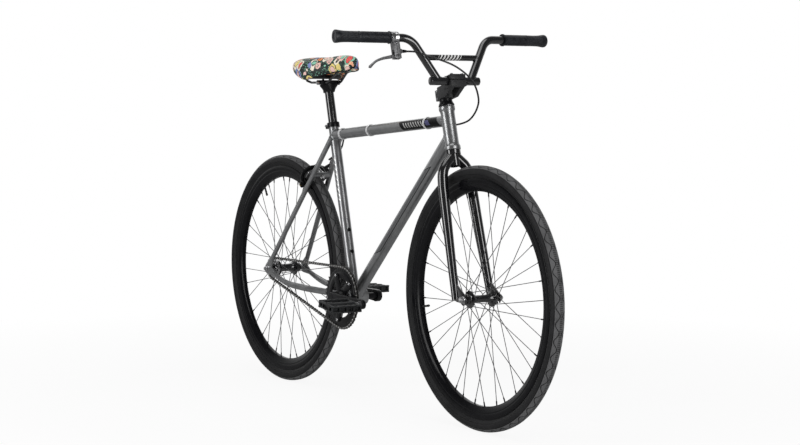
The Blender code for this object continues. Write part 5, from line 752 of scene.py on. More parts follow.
# %% [markdown]
# The steerer turns in the head tube, and a stack of turned parts closes it at the top: a cover
# with a soft cone, a spacer, and the stem. These stay dark and satin, so they read as machined
# parts beside the glossy fork.

# %% Steerer foot and headset cover
mesh = bmesh.new()
put(mesh, turned([(0.0128, 0.1725), (0.0143, 0.1720), (0.0143, 0.0050), (0.0143, -0.0120), (0.0148, -0.0300),
                  (0.0150, -0.0440), (0.0128, -0.0450)], 48, closed=True), STEER)
put(mesh, turned([(0.0143, -0.0125), (0.0192, -0.0125), (0.0203, -0.0112), (0.0204, -0.0010), (0.0192, -0.0004),
                  (0.0143, -0.0004)], 64, closed=True), STEER)
add_piece("fork_column", mesh, "fork", gloss_black, ("steerer",))

mesh = bmesh.new()
put(mesh, turned([(0.0146, 0.1204), (0.0212, 0.1204), (0.0215, 0.1210), (0.0215, 0.1238), (0.0209, 0.1250),
                  (0.0190, 0.1295), (0.0177, 0.1318), (0.0174, 0.1326), (0.0170, 0.1328), (0.0170, 0.1334),
                  (0.0175, 0.1337), (0.0175, 0.1386), (0.0172, 0.1389), (0.0146, 0.1389)], 72, closed=True), STEER)
add_piece("headset_cone", mesh, "fork", satin_black, ("headset_cover",))

# %% [markdown]
# The stem is a forged block, blasted to a matt grey-black, that grips the bar from above with a
# bolted cap. It keeps the CAD solid's own shape, with each hard edge rounded, because a forging
# has no sharp edge. Four socket bolts hold the cap and two more close the ears at the steerer.

# %% Stem and cap
mesh = refined("stem", 0.0014, 3)
add_piece("stem_body", mesh, "fork", matt_black, ("stem",), crease=40)
mesh = refined("stem_cap", 0.0014, 3)
add_piece("stem_lid", mesh, "fork", matt_black, ("stem_cap",), crease=40)
mesh = bmesh.new()
for x in (0.0395, 0.0675):
    for y in (-0.0165, 0.0165):
        put(mesh, socket_bolt(0.0042, 0.0030), STEER @ Matrix.Translation((x, y, 0.1903)))
for z in (0.1460, 0.1640):
    ear = Matrix.Translation((-0.0215, -0.0105, z)) @ Matrix.Rotation(pi / 2, 4, "X")
    put(mesh, socket_bolt(0.0040, 0.0036), STEER @ ear)
put(mesh, socket_bolt(0.0070, 0.0024), STEER @ Matrix.Translation((0, 0, 0.1722)))
add_piece("stem_bolts", mesh, "fork", plated, ())

# %% [markdown]
# The bar is one bent tube with a high rise: the stem holds its low middle, two uprights climb
# outwards to the corners, and the grips sweep back a little. A thinner crossbar braces the
# uprights and is welded at both ends. It wears the same gloss black as the fork.

# %% Handlebar
BAR_X, BAR_HEIGHT, BAR_RADIUS = 0.0535, 0.1753, 0.0111
CORNER_Y, CORNER_HEIGHT = 0.1195, 0.2918
CROSSBAR_HEIGHT, CROSSBAR_RADIUS = 0.2398, 0.008
GRIP_WAY = {hand: Vector((-tan(radians(7)), hand, tan(radians(2.2)))).normalized() for hand in (-1, 1)}

def grip_point(hand, y):
    """The point on the bar's outer part at a distance y from the middle, in steering coordinates."""
    way = GRIP_WAY[hand]
    return Vector((BAR_X, CORNER_Y * hand, CORNER_HEIGHT)) + way * ((y - CORNER_Y) / abs(way.y))

mesh = bmesh.new()
put(mesh, swept([steer(BAR_X, y / 1000, BAR_HEIGHT) for y in range(-76, 77, 8)], BAR_RADIUS, 32))
for hand in (-1, 1):
    foot, corner = Vector((BAR_X, 0.0503 * hand, BAR_HEIGHT)), Vector((BAR_X, CORNER_Y * hand, CORNER_HEIGHT))
    line = rounded_path([Vector((BAR_X, 0.0530 * hand, 0.1797)), corner, grip_point(hand, 0.3327)], 0.048, 14)
    put(mesh, swept([STEER @ point for point in line], BAR_RADIUS, 32))
    put(mesh, turned([(0, 0), (0.0085, 0), (0.0108, -0.0008), (BAR_RADIUS, -0.0022)], 32),
        stand(steer(BAR_X, 0.0768 * hand, BAR_HEIGHT), SIDEWAYS * hand))
    up_start, up_end = STEER @ foot, STEER @ corner
    weld(mesh, up_start, up_end, BAR_RADIUS, (steer(BAR_X, 0, BAR_HEIGHT), SIDEWAYS, 0.0112),
         width=0.0020, steps=90)
    rise = (corner - foot).normalized()
    brace = foot + rise * ((CROSSBAR_HEIGHT - BAR_HEIGHT) / rise.z)
    weld(mesh, steer(BAR_X, 0, brace.z), STEER @ brace, CROSSBAR_RADIUS,
         (STEER @ brace, up_end - up_start, 0.0112), sign=-1, width=0.0020, steps=80)
put(mesh, swept([steer(BAR_X, y / 1000, CROSSBAR_HEIGHT) for y in range(-88, 89, 8)], CROSSBAR_RADIUS, 28))
bar_paint = repainted(gloss_black, "bar_paint")
barred(bar_paint, steer(BAR_X, 0, CROSSBAR_HEIGHT), SIDEWAYS, -0.046, 0.026, 0.0120, 0.0105, WHITE, slant=0.7)
add_piece("bar", mesh, "fork", bar_paint, ("handlebar",))

# %% [markdown]
# A rubber grip is turned with all its rings in the profile: a flange next to the lever, fine
# round ribs on the inner half, a plain band, and a soft bulb at the outer end. Real ribs are
# modelled because they show on the outline; the shallow diamonds are left to the material.

# %% Grip rubber
def wrapped(piece, measure):
    """Write a UV map from two measures of each point, of which the first is a turn round an axis."""
    wrap = piece.data.uv_layers.new(name="wrap")
    for face in piece.data.polygons:
        base = measure(face.center)[0]
        for corner in face.loop_indices:
            turn, other = measure(piece.data.vertices[piece.data.loops[corner].vertex_index].co)
            wrap.data[corner].uv = (turn - round(turn - base), other)

def along_piece(piece, origin, axis):
    """The map of a round piece: the turn round its axis and the distance along it in metres."""
    inverse = stand(origin, axis, (0, 0, 1)).inverted()

    def measure(point):
        point = inverse @ point
        return atan2(point.y, point.x) / (2 * pi), point.z

    wrapped(piece, measure)

def wrap_measures(tree):
    """The two measures of such a map, read back in a material."""
    wrap = tree.nodes.new("ShaderNodeUVMap")
    wrap.uv_map = "wrap"
    parts = linked(tree, "ShaderNodeSeparateXYZ", Vector=wrap.outputs["UV"])
    return parts.outputs["X"], parts.outputs["Y"]

grip_rubber, tree, shader = new_material("grip_rubber", 0.4)
turn, length = wrap_measures(tree)
around, upwards = calc(tree, "MULTIPLY", turn, 12.0), calc(tree, "MULTIPLY", length, 130.0)
one_way, other_way = [calc(tree, "SINE", calc(tree, "MULTIPLY", calc(tree, operation, around, upwards), 2 * pi))
                      for operation in ("ADD", "SUBTRACT")]
diamonds = calc(tree, "MULTIPLY", one_way, other_way)
relief = calc(tree, "MULTIPLY", diamonds, between(tree, length, 0.094, 0.140))
place = object_place(tree)
grain, wear = noise(tree, place, 1500.0, 2.0), noise(tree, place, 60.0, 4.0)
tree.links.new(ramp(tree, wear, ((0.35, (0.007, 0.008, 0.011)), (0.65, (0.015, 0.017, 0.022)))),
               shader.inputs["Base Color"])
tree.links.new(spread(tree, wear, 0.34, 0.46), shader.inputs["Roughness"])
bumped(tree, shader, calc(tree, "MULTIPLY_ADD", grain, 0.12, relief), 0.0005, 0.8)

RIBS, RIB_PITCH = 28, 0.0027
for word, hand in HANDS:
    start, end = grip_point(hand, 0.1802), grip_point(hand, 0.3358)
    long = (end - start).length
    profile = [(0.0113, 0), (0.0160, 0), (0.0168, 0.0008), (0.0168, 0.0024), (0.0160, 0.0032), (0.0149, 0.0042)]
    for i in range(RIBS):
        z = 0.0060 + i * RIB_PITCH
        profile += [(0.0143, z), (0.0149, z + 0.0007), (0.0149, z + 0.0016), (0.0143, z + 0.0022)]
    profile += [(0.0144, 0.0835), (0.0151, 0.0850), (0.0152, 0.0895), (0.0144, 0.0910), (0.0148, 0.0935),
                (0.0147, 0.1150), (0.0150, 0.1300), (0.0158, 0.1400), (0.0170, 0.1475), (0.0175, long - 0.0040),
                (0.0172, long - 0.0012), (0.0160, long), (0.0095, long + 0.0002), (0.0090, long - 0.0012),
                (0, long - 0.0013)]
    mesh = bmesh.new()
    origin, axis = STEER @ start, STEER.to_3x3() @ GRIP_WAY[hand]
    put(mesh, turned(profile, 40), stand(origin, axis))
    piece = add_piece("grip_" + word + "_rubber", mesh, "fork", grip_rubber, ("grip_" + word,))
    along_piece(piece, origin, axis)

# %% [markdown]
# The brake lever's perch is a small cast bracket with a split clamp round the bar, closed by a
# bolt. The lever itself is bent bar stock, flat and wide for two fingers: it leaves the pivot
# nearly level and curls down at the tip into a round end.

# %% Lever bracket and lever
PERCH, PIVOT = Vector((0.04755, -0.168, 0.29366)), Vector((0.04755, -0.168, 0.24416))
FORWARDS, LEFTWARDS = Matrix.Rotation(pi / 2, 4, "Y"), Matrix.Rotation(-pi / 2, 4, "X")
mesh = refined("lever_bracket", 0.0009, 3)
add_piece("lever_perch", mesh, "fork", cast_silver, ("lever_bracket",), crease=40)
mesh = bmesh.new()
clamp_bolt = Matrix.Translation(PERCH + Vector((0.0085, 0.0, -0.0165)))
put(mesh, socket_bolt(0.0036, 0.0030), STEER @ clamp_bolt @ FORWARDS)
for low, high in ((-0.0104, -0.0086), (0.0086, 0.0104)):
    put(mesh, rod(0.0048, low, high, 0.0006), STEER @ Matrix.Translation(PIVOT) @ FORWARDS)
add_piece("perch_bolts", mesh, "fork", plated, ())
mesh = bmesh.new()
profile = [(0.0150, -0.0101), (0.0156, -0.0101), (0.0160, -0.0096), (0.0160, -0.0020), (0.0157, -0.0012),
           (0.0157, 0.0012), (0.0160, 0.0020), (0.0160, 0.0096), (0.0156, 0.0101), (0.0150, 0.0101)]
put(mesh, turned(profile, 48, closed=True), stand(STEER @ PERCH, STEER.to_3x3() @ GRIP_WAY[-1]))
add_piece("perch_band", mesh, "fork", plated, ())

curve = [(0.0045, 0.0010), (0, 0), (-0.010, -0.0016), (-0.020, -0.0035), (-0.030, -0.0052), (-0.040, -0.0070),
         (-0.049, -0.0095), (-0.058, -0.0125), (-0.066, -0.0162), (-0.072, -0.0205), (-0.0775, -0.0245),
         (-0.082, -0.0285), (-0.0852, -0.0308), (-0.087, -0.032)]
thick = [0.0030, 0.0052, 0.0050, 0.0046, 0.0042, 0.0039, 0.0036, 0.0034, 0.0033, 0.0033, 0.0036, 0.0040,
         0.0042, 0.0022]
path = [STEER @ (PIVOT + Vector((0, y, z))) for y, z in curve]
mesh = swept(path, [(0.0042, size) for size in thick], 24, side=HEAD_FORWARD)
add_piece("lever_blade", mesh, "brake_lever", cast_silver, ("brake_lever",), crease=45)

# %% [markdown]
# The cable leaves the perch through a hollow screw, the barrel adjuster, whose knurled collar is
# turned by finger to take up slack. The knurl is cut as real grooves: every second line of the
# spun collar is pushed in.

# %% Barrel adjuster
KNURLS = 48
spot = Vector((PERCH.x, -0.1500, PIVOT.z + 0.0128))
screw = STEER @ Matrix.Translation(spot) @ LEFTWARDS
mesh = bmesh.new()
collar = turned([(0.0016, 0.0), (0.0038, 0.0), (0.0044, 0.0006), (0.0044, 0.0054), (0.0038, 0.0060),
                 (0.0016, 0.0060)], KNURLS, closed=True)
for vert in collar.verts:
    reach = Vector((vert.co.x, vert.co.y, 0)).length
    line = round(atan2(vert.co.y, vert.co.x) / (2 * pi) * KNURLS)
    if reach > 0.0040 and line % 2:
        vert.co.x *= 0.93
        vert.co.y *= 0.93
put(mesh, collar, STEER @ Matrix.Translation(spot + Vector((0, 0.0035, 0))) @ LEFTWARDS)
put(mesh, turned([(0.0014, 0.0), (0.0026, 0.0), (0.0026, 0.0038), (0.0014, 0.0038)], 24, closed=True), screw)
put(mesh, turned([(0.0014, 0.0090), (0.0034, 0.0090), (0.0036, 0.0096), (0.0036, 0.0146), (0.0032, 0.0150),
                  (0.0014, 0.0150)], 28, closed=True), screw)
CABLE_START = STEER @ (spot + Vector((0, 0.0120, 0)))
add_piece("cable_screw", mesh, "fork", satin_black, ("barrel_adjuster",))

# %% [markdown]
# Each wheel is laced from a hub, 36 spokes and a rim, and carries a balloon tyre with a flat
# profile. The tyre is one turned section: bead, sidewall, a groove at the shoulder and a low,
# round tread. The tread's pattern is too fine to model, so it is drawn on a UV map that runs
# round the wheel and round the section, and pressed in as bump: file marks on the crown, a wavy
# line on each shoulder, and two plain rings. These cuts are also painted nearly black, as
# painted shade in the grooves.

# %% Rubber of the tyres
WAVES, FILE_MARKS, TREAD_EDGE = 50, 420.0, 0.140
tyre_rubber, tree, shader = new_material("tyre_rubber", 0.14)
turn, section = wrap_measures(tree)
side = calc(tree, "ABSOLUTE", section)
wave = calc(tree, "SINE", calc(tree, "MULTIPLY", turn, 2 * pi * WAVES))
beside_wave = calc(tree, "ABSOLUTE", calc(tree, "SUBTRACT", side, calc(tree, "MULTIPLY_ADD", wave, 0.040, 0.074)))
wavy_line = spread(tree, beside_wave, 1.0, 0.0, 0.0060, 0.0100)
files = calc(tree, "PINGPONG", calc(tree, "MULTIPLY", turn, FILE_MARKS), 0.5)
crown = calc(tree, "MULTIPLY", spread(tree, files, 0.0, 0.6, 0.1, 0.3), calc(tree, "LESS_THAN", side, 0.030))
ring, wall_ring = between(tree, side, 0.134, 0.146), between(tree, side, 0.262, 0.269)
cuts = calc(tree, "ADD", calc(tree, "ADD", wavy_line, ring), calc(tree, "ADD", crown, wall_ring))
place = object_place(tree)
grain, dust = noise(tree, place, 1100.0, 2.0), noise(tree, place, 22.0, 5.0)
height = calc(tree, "MULTIPLY_ADD", grain, 0.08, calc(tree, "MULTIPLY", cuts, -1.0))
tread = ramp(tree, dust, ((0.35, (0.085, 0.085, 0.087)), (0.65, (0.115, 0.115, 0.118))))
wall = ramp(tree, dust, ((0.35, (0.014, 0.014, 0.015)), (0.65, (0.021, 0.021, 0.022))))
rubber = layer(tree, calc(tree, "LESS_THAN", side, TREAD_EDGE), wall, tread)
# The cuts are painted nearly black over the rubber: painted shade in the grooves.
rubber = layer(tree, calc(tree, "MINIMUM", cuts, 0.9), rubber, (0.003, 0.003, 0.003))
tree.links.new(rubber, shader.inputs["Base Color"])
tree.links.new(spread(tree, dust, 0.46, 0.60), shader.inputs["Roughness"])
bumped(tree, shader, height, 0.0016, 1.0)

# %% Tyres
def round_the_wheel(piece, centre, radius):
    """The map of a tyre: the turn round the axle and the turn round the section, 0 at the tread."""
    def measure(point):
        reach = Vector((point.x - centre.x, point.z - centre.z))
        return atan2(reach.y, reach.x) / (2 * pi), atan2(point.y, reach.length - radius) / (2 * pi)

    wrapped(piece, measure)

def both_sides(half):
    """A closed section from the half of it on the left."""
    return half + [(radius, -height) for radius, height in reversed(half[1:-1])]

outside = [(0.3490, 0.0), (0.3489, 0.0035), (0.3481, 0.0075), (0.3463, 0.0108), (0.3440, 0.0133),
           (0.3420, 0.0148), (0.3412, 0.0150), (0.3400, 0.0162), (0.3365, 0.0179), (0.3330, 0.0185),
           (0.3290, 0.0184), (0.3255, 0.0175), (0.3225, 0.0158), (0.3200, 0.0138), (0.3182, 0.0123),
           (0.3168, 0.0113), (0.3155, 0.0106)]
inside = [(0.3110, 0.0104), (0.3115, 0.0085), (0.3170, 0.0090), (0.3240, 0.0145), (0.3320, 0.0165),
          (0.3400, 0.0135), (0.3440, 0.0080), (0.3452, 0.0)]
for word, axle in WHEELS:
    mesh = bmesh.new()
    put(mesh, turned(both_sides(outside + inside), 200, closed=True), stand(axle, SIDEWAYS, (1, 0, 0)))
    piece = add_piece("tyre_" + word, mesh, word + "_wheel", tyre_rubber, (word + "_tyre",),
                      crease=50)
    round_the_wheel(piece, axle, 0.3275)

# %% [markdown]
# The rim is a deep, hollow aluminium section, anodised black, with a rounded inner face, a small
# step below the brake track and a hooked edge under the tyre. It is spun from the same kind of
# half section as the tyre.

# %% Rims and valves
half = [(0.2810, 0.0), (0.2811, 0.0030), (0.2816, 0.0055), (0.2835, 0.0074), (0.2900, 0.0100), (0.2965, 0.0120),
        (0.2992, 0.0124), (0.3002, 0.0121), (0.3010, 0.0125), (0.3100, 0.0125), (0.3152, 0.0125),
        (0.3160, 0.0121), (0.3160, 0.0112), (0.3120, 0.0108), (0.3102, 0.0104), (0.3098, 0.0060), (0.3085, 0.0)]
stem_shape = [(0, 0.0), (0.0030, 0.0), (0.0030, 0.0240), (0.0026, 0.0246), (0.0026, 0.0252), (0.0034, 0.0258),
              (0.0034, 0.0308), (0.0030, 0.0318), (0, 0.0320)]
VALVE_TURN = {"front": 189.5, "rear": 119.7}
for word, axle in WHEELS:
    mesh = bmesh.new()
    put(mesh, turned(both_sides(half), 180, closed=True), stand(axle, SIDEWAYS, (1, 0, 0)))
    add_piece("rim_" + word, mesh, word + "_wheel", rim_black, (word + "_rim",))
    turn = radians(VALVE_TURN[word])
    inwards = -Vector((cos(turn), 0, sin(turn)))
    mesh = bmesh.new()
    put(mesh, turned(stem_shape, 16), stand(axle - inwards * 0.2830, inwards, (0, 1, 0)))
    add_piece("valve_" + word, mesh, word + "_wheel", pad_rubber, ())

# %% [markdown]
# Spokes leave the hub flanges almost at a tangent and cross three others on the way out, so that
# they can pass on the wheel's torque. Heads point inwards and outwards by turns. A spoke is only
# 2 mm thick, so each is a rod with eight sides, and a black nipple joins it to the rim.

# %% Spokes and nipples
FLANGE_Y = {"front": 0.035, "rear": 0.029}
SIDE_SPOKES, HOLE_RADIUS, RIM_REACH, STAGGER = 18, 0.019, 0.2797, 0.00115

def spoke_ends(axle, flange_y, valve_turn):
    """The two ends of each of the 36 spokes: at the flange's hole and at the rim."""
    ends = []
    for hand, start in ((-1, 5), (1, 15)):
        for i in range(SIDE_SPOKES):
            turn = radians(valve_turn + start + 360 / SIDE_SPOKES * i)
            lean = 1 if i % 2 else -1
            y_hub = hand * flange_y + lean * STAGGER
            y_rim = hand * 0.0025 + lean * STAGGER
            out = turn + lean * radians(60)
            ends.append((axle + Vector((cos(turn) * HOLE_RADIUS, y_hub, sin(turn) * HOLE_RADIUS)),
                         axle + Vector((cos(out) * RIM_REACH, y_rim, sin(out) * RIM_REACH)), hand * lean))
    return ends

for word, axle in WHEELS:
    wires, nipples = bmesh.new(), bmesh.new()
    for inner, outer, side_out in spoke_ends(axle, FLANGE_Y[word], VALVE_TURN[word]):
        way = (outer - inner).normalized()
        put(wires, rod(0.0010, 0.0, (outer - inner).length, 0.0002, 8), stand(inner, way))
        put(wires, turned([(0, -0.0008), (0.0016, -0.0006), (0.0019, 0.0), (0.0012, 0.0008), (0, 0.0010)], 10),
            stand(inner + SIDEWAYS * 0.0007 * side_out, SIDEWAYS * side_out))
        put(nipples, turned([(0, -0.0005), (0.0014, -0.0005), (0.0019, 0.0010), (0.0019, 0.0100), (0.0022, 0.0120),
                             (0.0022, 0.0145), (0, 0.0150)], 8), stand(outer - way * 0.0105, way))
    add_piece("spokes_" + word, wires, word + "_wheel", spoke_steel, (), crease=50)
    add_piece("nipples_" + word, nipples, word + "_wheel", rim_black, (), crease=50)

# %% [markdown]
# Both hubs are turned from black aluminium: a waisted barrel between two flanges, with bearing
# seats outside them. The rear one also carries the sprocket's body on the right. Threaded axles
# end in plain hex nuts, which are plated and bright.

# %% Hubs
def flange(barrel, centre, hand):
    """The section of one flange, from the barrel outwards."""
    return [(barrel + 0.0030, centre - 0.0038 * hand), (0.0200, centre - 0.0019 * hand),
            (0.0226, centre - 0.0015 * hand), (0.0230, centre - 0.0010 * hand), (0.0230, centre + 0.0010 * hand),
            (0.0226, centre + 0.0015 * hand), (0.0165, centre + 0.0018 * hand)]

for word, axle, bore, barrel, right_end in (("front", FRONT_AXLE, 0.0058, 0.0105, 0.047),
                                            ("rear", REAR_AXLE, 0.0062, 0.0125, 0.0335)):
    y = FLANGE_Y[word]
    left = flange(barrel, y, 1) + [(0.0135, y + 0.0035), (0.0130, 0.0455), (0.0120, 0.0468), (bore, 0.0470)]
    right_side = flange(barrel, -y, -1) + [(0.0135, -y - 0.0035), (0.0130, -right_end + 0.0015),
                                           (0.0120, -right_end + 0.0002), (bore, -right_end)]
    waist = [(barrel, -0.6 * y), (barrel - 0.0008, 0), (barrel, 0.6 * y)]
    mesh = bmesh.new()
    put(mesh, turned(right_side[::-1] + waist + left, 56, closed=True), stand(axle, SIDEWAYS, (1, 0, 0)))
    add_piece("hub_shell_" + word, mesh, word + "_wheel", gloss_black, (word + "_hub",))

PLATE, NUT_HEIGHT, THREADS = 0.005, 0.0085, 5

def threaded_axle(axle, body, radius, inside, node, name):
    """An axle with its washers, nuts and threads. Its two plates begin at the distance inside."""
    mesh = bmesh.new()
    end = inside + PLATE + NUT_HEIGHT + 0.003
    put(mesh, rod(radius, -end, end, 0.0008, 24), stand(axle, SIDEWAYS, (1, 0, 0)))
    washer = [(radius - 0.0005, 0.0001), (0.0094, 0.0001), (0.0098, 0.0005), (0.0094, 0.0016),
              (radius - 0.0005, 0.0018)]
    thread = [(radius - 0.0006, 0.0), (radius + 0.0001, 0.0003), (radius - 0.0006, 0.0006)]
    for out in (-SIDEWAYS, SIDEWAYS):
        face = axle + out * (inside + PLATE)
        put(mesh, turned(washer, 32, closed=True), stand(face, out, (1, 0, 0)))
        put(mesh, hexagon(0.0084, 0.0016, 0.0084, chamfer=0.0007), stand(face, out, (0.966, 0, 0.259)))
        for i in range(THREADS):
            put(mesh, turned(thread, 24, closed=True), stand(face + out * (0.0086 + i * 0.0006), out, (1, 0, 0)))
        put(mesh, hexagon(0.0078, inside - 0.0044, inside - 0.0001, chamfer=0.0005), stand(axle, out, (1, 0, 0)))
    add_piece(name, mesh, body, plated, (node,))

threaded_axle(FRONT_AXLE, "fork", 0.0045, 0.052, "front_axle", "axle_front_threaded")
threaded_axle(REAR_AXLE, "frame", 0.0049, 0.060, "rear_axle", "axle_rear_threaded")

# %% [markdown]
# The chain is made of real links: pairs of waisted plates, alternately outside and inside, with a
# pin and a roller at each joint. One plate and one roller are modelled with few faces, and copies
# are laid along the chain's path. The path is two arcs round the sprockets joined by two tangents.
# The number of links is odd, so the last one is cranked: inside at one end, outside at the other.

# %% The chain's path
CHAIN_Y, PITCH = -0.0455, 0.0127
RING_RADIUS, COG_RADIUS = 0.08901, 0.03255
line = Vector((BRACKET.x - REAR_AXLE.x, BRACKET.z - REAR_AXLE.z))
opening = acos((COG_RADIUS - RING_RADIUS) / line.length)
heading = atan2(line.y, line.x)
upper, lower = heading + opening, heading - opening
straight = sqrt(line.length ** 2 - (RING_RADIUS - COG_RADIUS) ** 2)
front_arc, rear_arc = 2 * opening * RING_RADIUS, 2 * (pi - opening) * COG_RADIUS

def ring_point(centre, radius, angle):
    return Vector((centre.x + radius * cos(angle), CHAIN_Y, centre.z + radius * sin(angle)))

def chain_place(distance):
    """The point on the chain at a distance from the top of the chainring, the way it runs."""
    if distance < front_arc:
        return ring_point(BRACKET, RING_RADIUS, upper - distance / RING_RADIUS)
    distance -= front_arc
    if distance < straight:
        a, b = ring_point(BRACKET, RING_RADIUS, lower), ring_point(REAR_AXLE, COG_RADIUS, lower)
        return a.lerp(b, distance / straight)
    distance -= straight
    if distance < rear_arc:
        return ring_point(REAR_AXLE, COG_RADIUS, lower - distance / COG_RADIUS)
    a, b = ring_point(REAR_AXLE, COG_RADIUS, upper), ring_point(BRACKET, RING_RADIUS, upper)
    return a.lerp(b, (distance - rear_arc) / straight)

whole = 2 * straight + front_arc + rear_arc
count = round(whole / PITCH)
step = whole / count
cog_gap = upper + (int(straight / step + 1) * step - straight) / COG_RADIUS
print("links:", count, "pitch in mm:", round(step * 1000, 3))
pins = [chain_place(whole * i / count) for i in range(count)]

# %% Links, rollers and pins
def link_plate(length, radius, thickness):
    """A waisted plate between two pins."""
    outline = [(radius * cos(radians(a)), radius * sin(radians(a))) for a in (115, 150, 180, 210, 245)]
    outline += [(length / 2, -radius * 0.62)]
    outline += [(length + radius * cos(radians(a)), radius * sin(radians(a))) for a in (-65, -30, 0, 30, 65)]
    outline += [(length / 2, radius * 0.62)]
    return plate(outline, thickness, 0.00022, segments=1)

plates, rollers, bright = bmesh.new(), bmesh.new(), bmesh.new()
for i, pin in enumerate(pins):
    after = pins[(i + 1) % count]
    place = stand(pin, SIDEWAYS, after - pin)
    outside = i % 2 == 0 and i < count - 1
    for hand in (-1, 1):
        offset = 0.0032 if outside else 0.0022
        shape = link_plate((after - pin).length, 0.0042 if outside else 0.0041, 0.0010)
        if i == count - 1:
            for vert in shape.verts:
                vert.co.z += 0.0010 * hand * max(0, min(1, vert.co.x / step))
        put(plates, shape, place @ Matrix.Translation((0, 0, offset * hand)))
        put(bright, turned([(0, 0.0), (0.0022, 0.0), (0.0022, 0.0003), (0.0015, 0.0007), (0, 0.0009)], 10),
            stand(pin + SIDEWAYS * 0.0036 * hand, SIDEWAYS * hand, (1, 0, 0)))
    put(rollers, rod(0.0038, -0.0016, 0.0016, 0.0003, 12), place)
add_piece("chain_plates", plates, "frame", chain_steel, ("chain",), crease=40)
add_piece("chain_rollers", rollers, "frame", dark_steel, (), crease=40)
add_piece("chain_pin_heads", bright, "frame", pin_steel, (), crease=40)

# %% [markdown]
# A sprocket's teeth are what is left between round seats, one for each roller. The outline is
# drawn tooth by tooth: half a seat, the flank, a short rounded tip, and back. The big ring is a
# band held by a five-armed spider on its outer side; the small one is a disc on a turned body.

# %% Chainring, spider and sprocket
ARMS = [radians(40 + 72 * i) for i in range(5)]

def tooth_outline(count, pitch_radius, tip, start):
    """The outline of all teeth. Angles are given as parts of one tooth's share of the turn."""
    outline = []
    share = 2 * pi / count
    seat = pitch_radius - 0.0038
    for i in range(count):
        middle = start + 2 * pi * i / count
        for angle, radius in ((-0.17, seat + 0.0006), (0.0, seat), (0.17, seat + 0.0006), (0.30, seat + 0.0024),
                              (0.39, tip - 0.0012), (0.45, tip - 0.0001), (0.50, tip), (0.55, tip - 0.0001),
                              (0.61, tip - 0.0012), (0.70, seat + 0.0024)):
            outline.append((radius * cos(middle + angle * share), radius * sin(middle + angle * share)))
    return outline

def upright_plane(centre, y):
    """Local XY is the world's XZ plane, seen from the right, with local Z towards the right side."""
    return Matrix.Translation((centre.x, y, centre.z)) @ Matrix.Rotation(pi / 2, 4, "X")

mesh = bmesh.new()
put(mesh, plate(tooth_outline(44, RING_RADIUS, RING_RADIUS + 0.0034, upper), 0.0028, 0.0005,
                [circle((0, 0), 0.0590, 90)], 2), upright_plane(BRACKET, CHAIN_Y))
ring_band = turned([(0.0575, -0.0020), (0.0575, 0.0020), (0.0590, 0.0024), (0.0735, 0.0024), (0.0750, 0.0015),
                    (0.0760, 0.0010), (0.0760, -0.0010), (0.0750, -0.0015), (0.0735, -0.0024),
                    (0.0590, -0.0024)], 90, closed=True)
put(mesh, ring_band, stand(BRACKET + SIDEWAYS * CHAIN_Y, SIDEWAYS))
outline = []
for arm in ARMS:
    for angle, radius in ((-0.52, 0.0290), (-0.33, 0.0400), (-0.22, 0.0540), (-0.17, 0.0680), (-0.11, 0.0722),
                          (0, 0.0735), (0.11, 0.0722), (0.17, 0.0680), (0.22, 0.0540), (0.33, 0.0400),
                          (0.52, 0.0290)):
        outline.append((radius * cos(arm + angle), radius * sin(arm + angle)))
put(mesh, plate(outline, 0.0042, 0.0009, [circle((0, 0), 0.0165, 40)], 2),
    upright_plane(BRACKET, CHAIN_Y - 0.0040))
put(mesh, turned([(0.0100, 0.0), (0.0235, 0.0), (0.0225, 0.0090), (0.0190, 0.0140), (0.0100, 0.0145)],
                 48, closed=True), stand(BRACKET + SIDEWAYS * (CHAIN_Y - 0.0030), -SIDEWAYS))
add_piece("ring_front", mesh, "crank", satin_black, ("chainring",))

mesh = bmesh.new()
for arm in ARMS:
    spot = ring_point(BRACKET, 0.0682, arm)
    put(mesh, socket_bolt(0.0046, 0.0016, 0.5), stand(spot - SIDEWAYS * 0.0061, -SIDEWAYS))
    put(mesh, rod(0.0042, 0.0020, 0.0036, 0.0003), stand(spot, SIDEWAYS))
add_piece("ring_bolts", mesh, "crank", plated, ())

mesh = bmesh.new()
put(mesh, plate(tooth_outline(16, COG_RADIUS, COG_RADIUS + 0.0032, cog_gap), 0.0024, 0.0004,
                [circle((0, 0), 0.0166, 40)], 2), upright_plane(REAR_AXLE, CHAIN_Y))
put(mesh, turned([(0.0166, -0.0329), (0.0228, -0.0329), (0.0235, -0.0336), (0.0235, -0.0418), (0.0228, -0.0440),
                  (0.0232, -0.0470), (0.0228, -0.0492), (0.0205, -0.0498), (0.0166, -0.0498)], 48, closed=True),
    stand(REAR_AXLE, SIDEWAYS, (1, 0, 0)))
for i in range(4):
    notch = block((0.0030, 0.0018, 0.0030), 0.0004, 1, Matrix.Translation((0.0186, 0, 0)))
    put(mesh, notch, stand(REAR_AXLE - SIDEWAYS * 0.0496, -SIDEWAYS, (cos(i * pi / 2), 0, sin(i * pi / 2))))
add_piece("sprocket_rear", mesh, "cog", plated, ("rear_cog",))

# %% [markdown]
# The crank arms are forged, thick at the square hole and thinner at the pedal, with soft edges
# all round. Both are plates with an outline of two circles and their tangents. A dust cap covers
# the bolt at the spindle.

# %% Crank arms
def arm_outline(length, big, small):
    lean = acos((big - small) / length)
    outline = circle((0, 0), big, 22, lean, 2 * pi - lean)
    outline += circle((length, 0), small, 16, -lean, lean)
    return outline

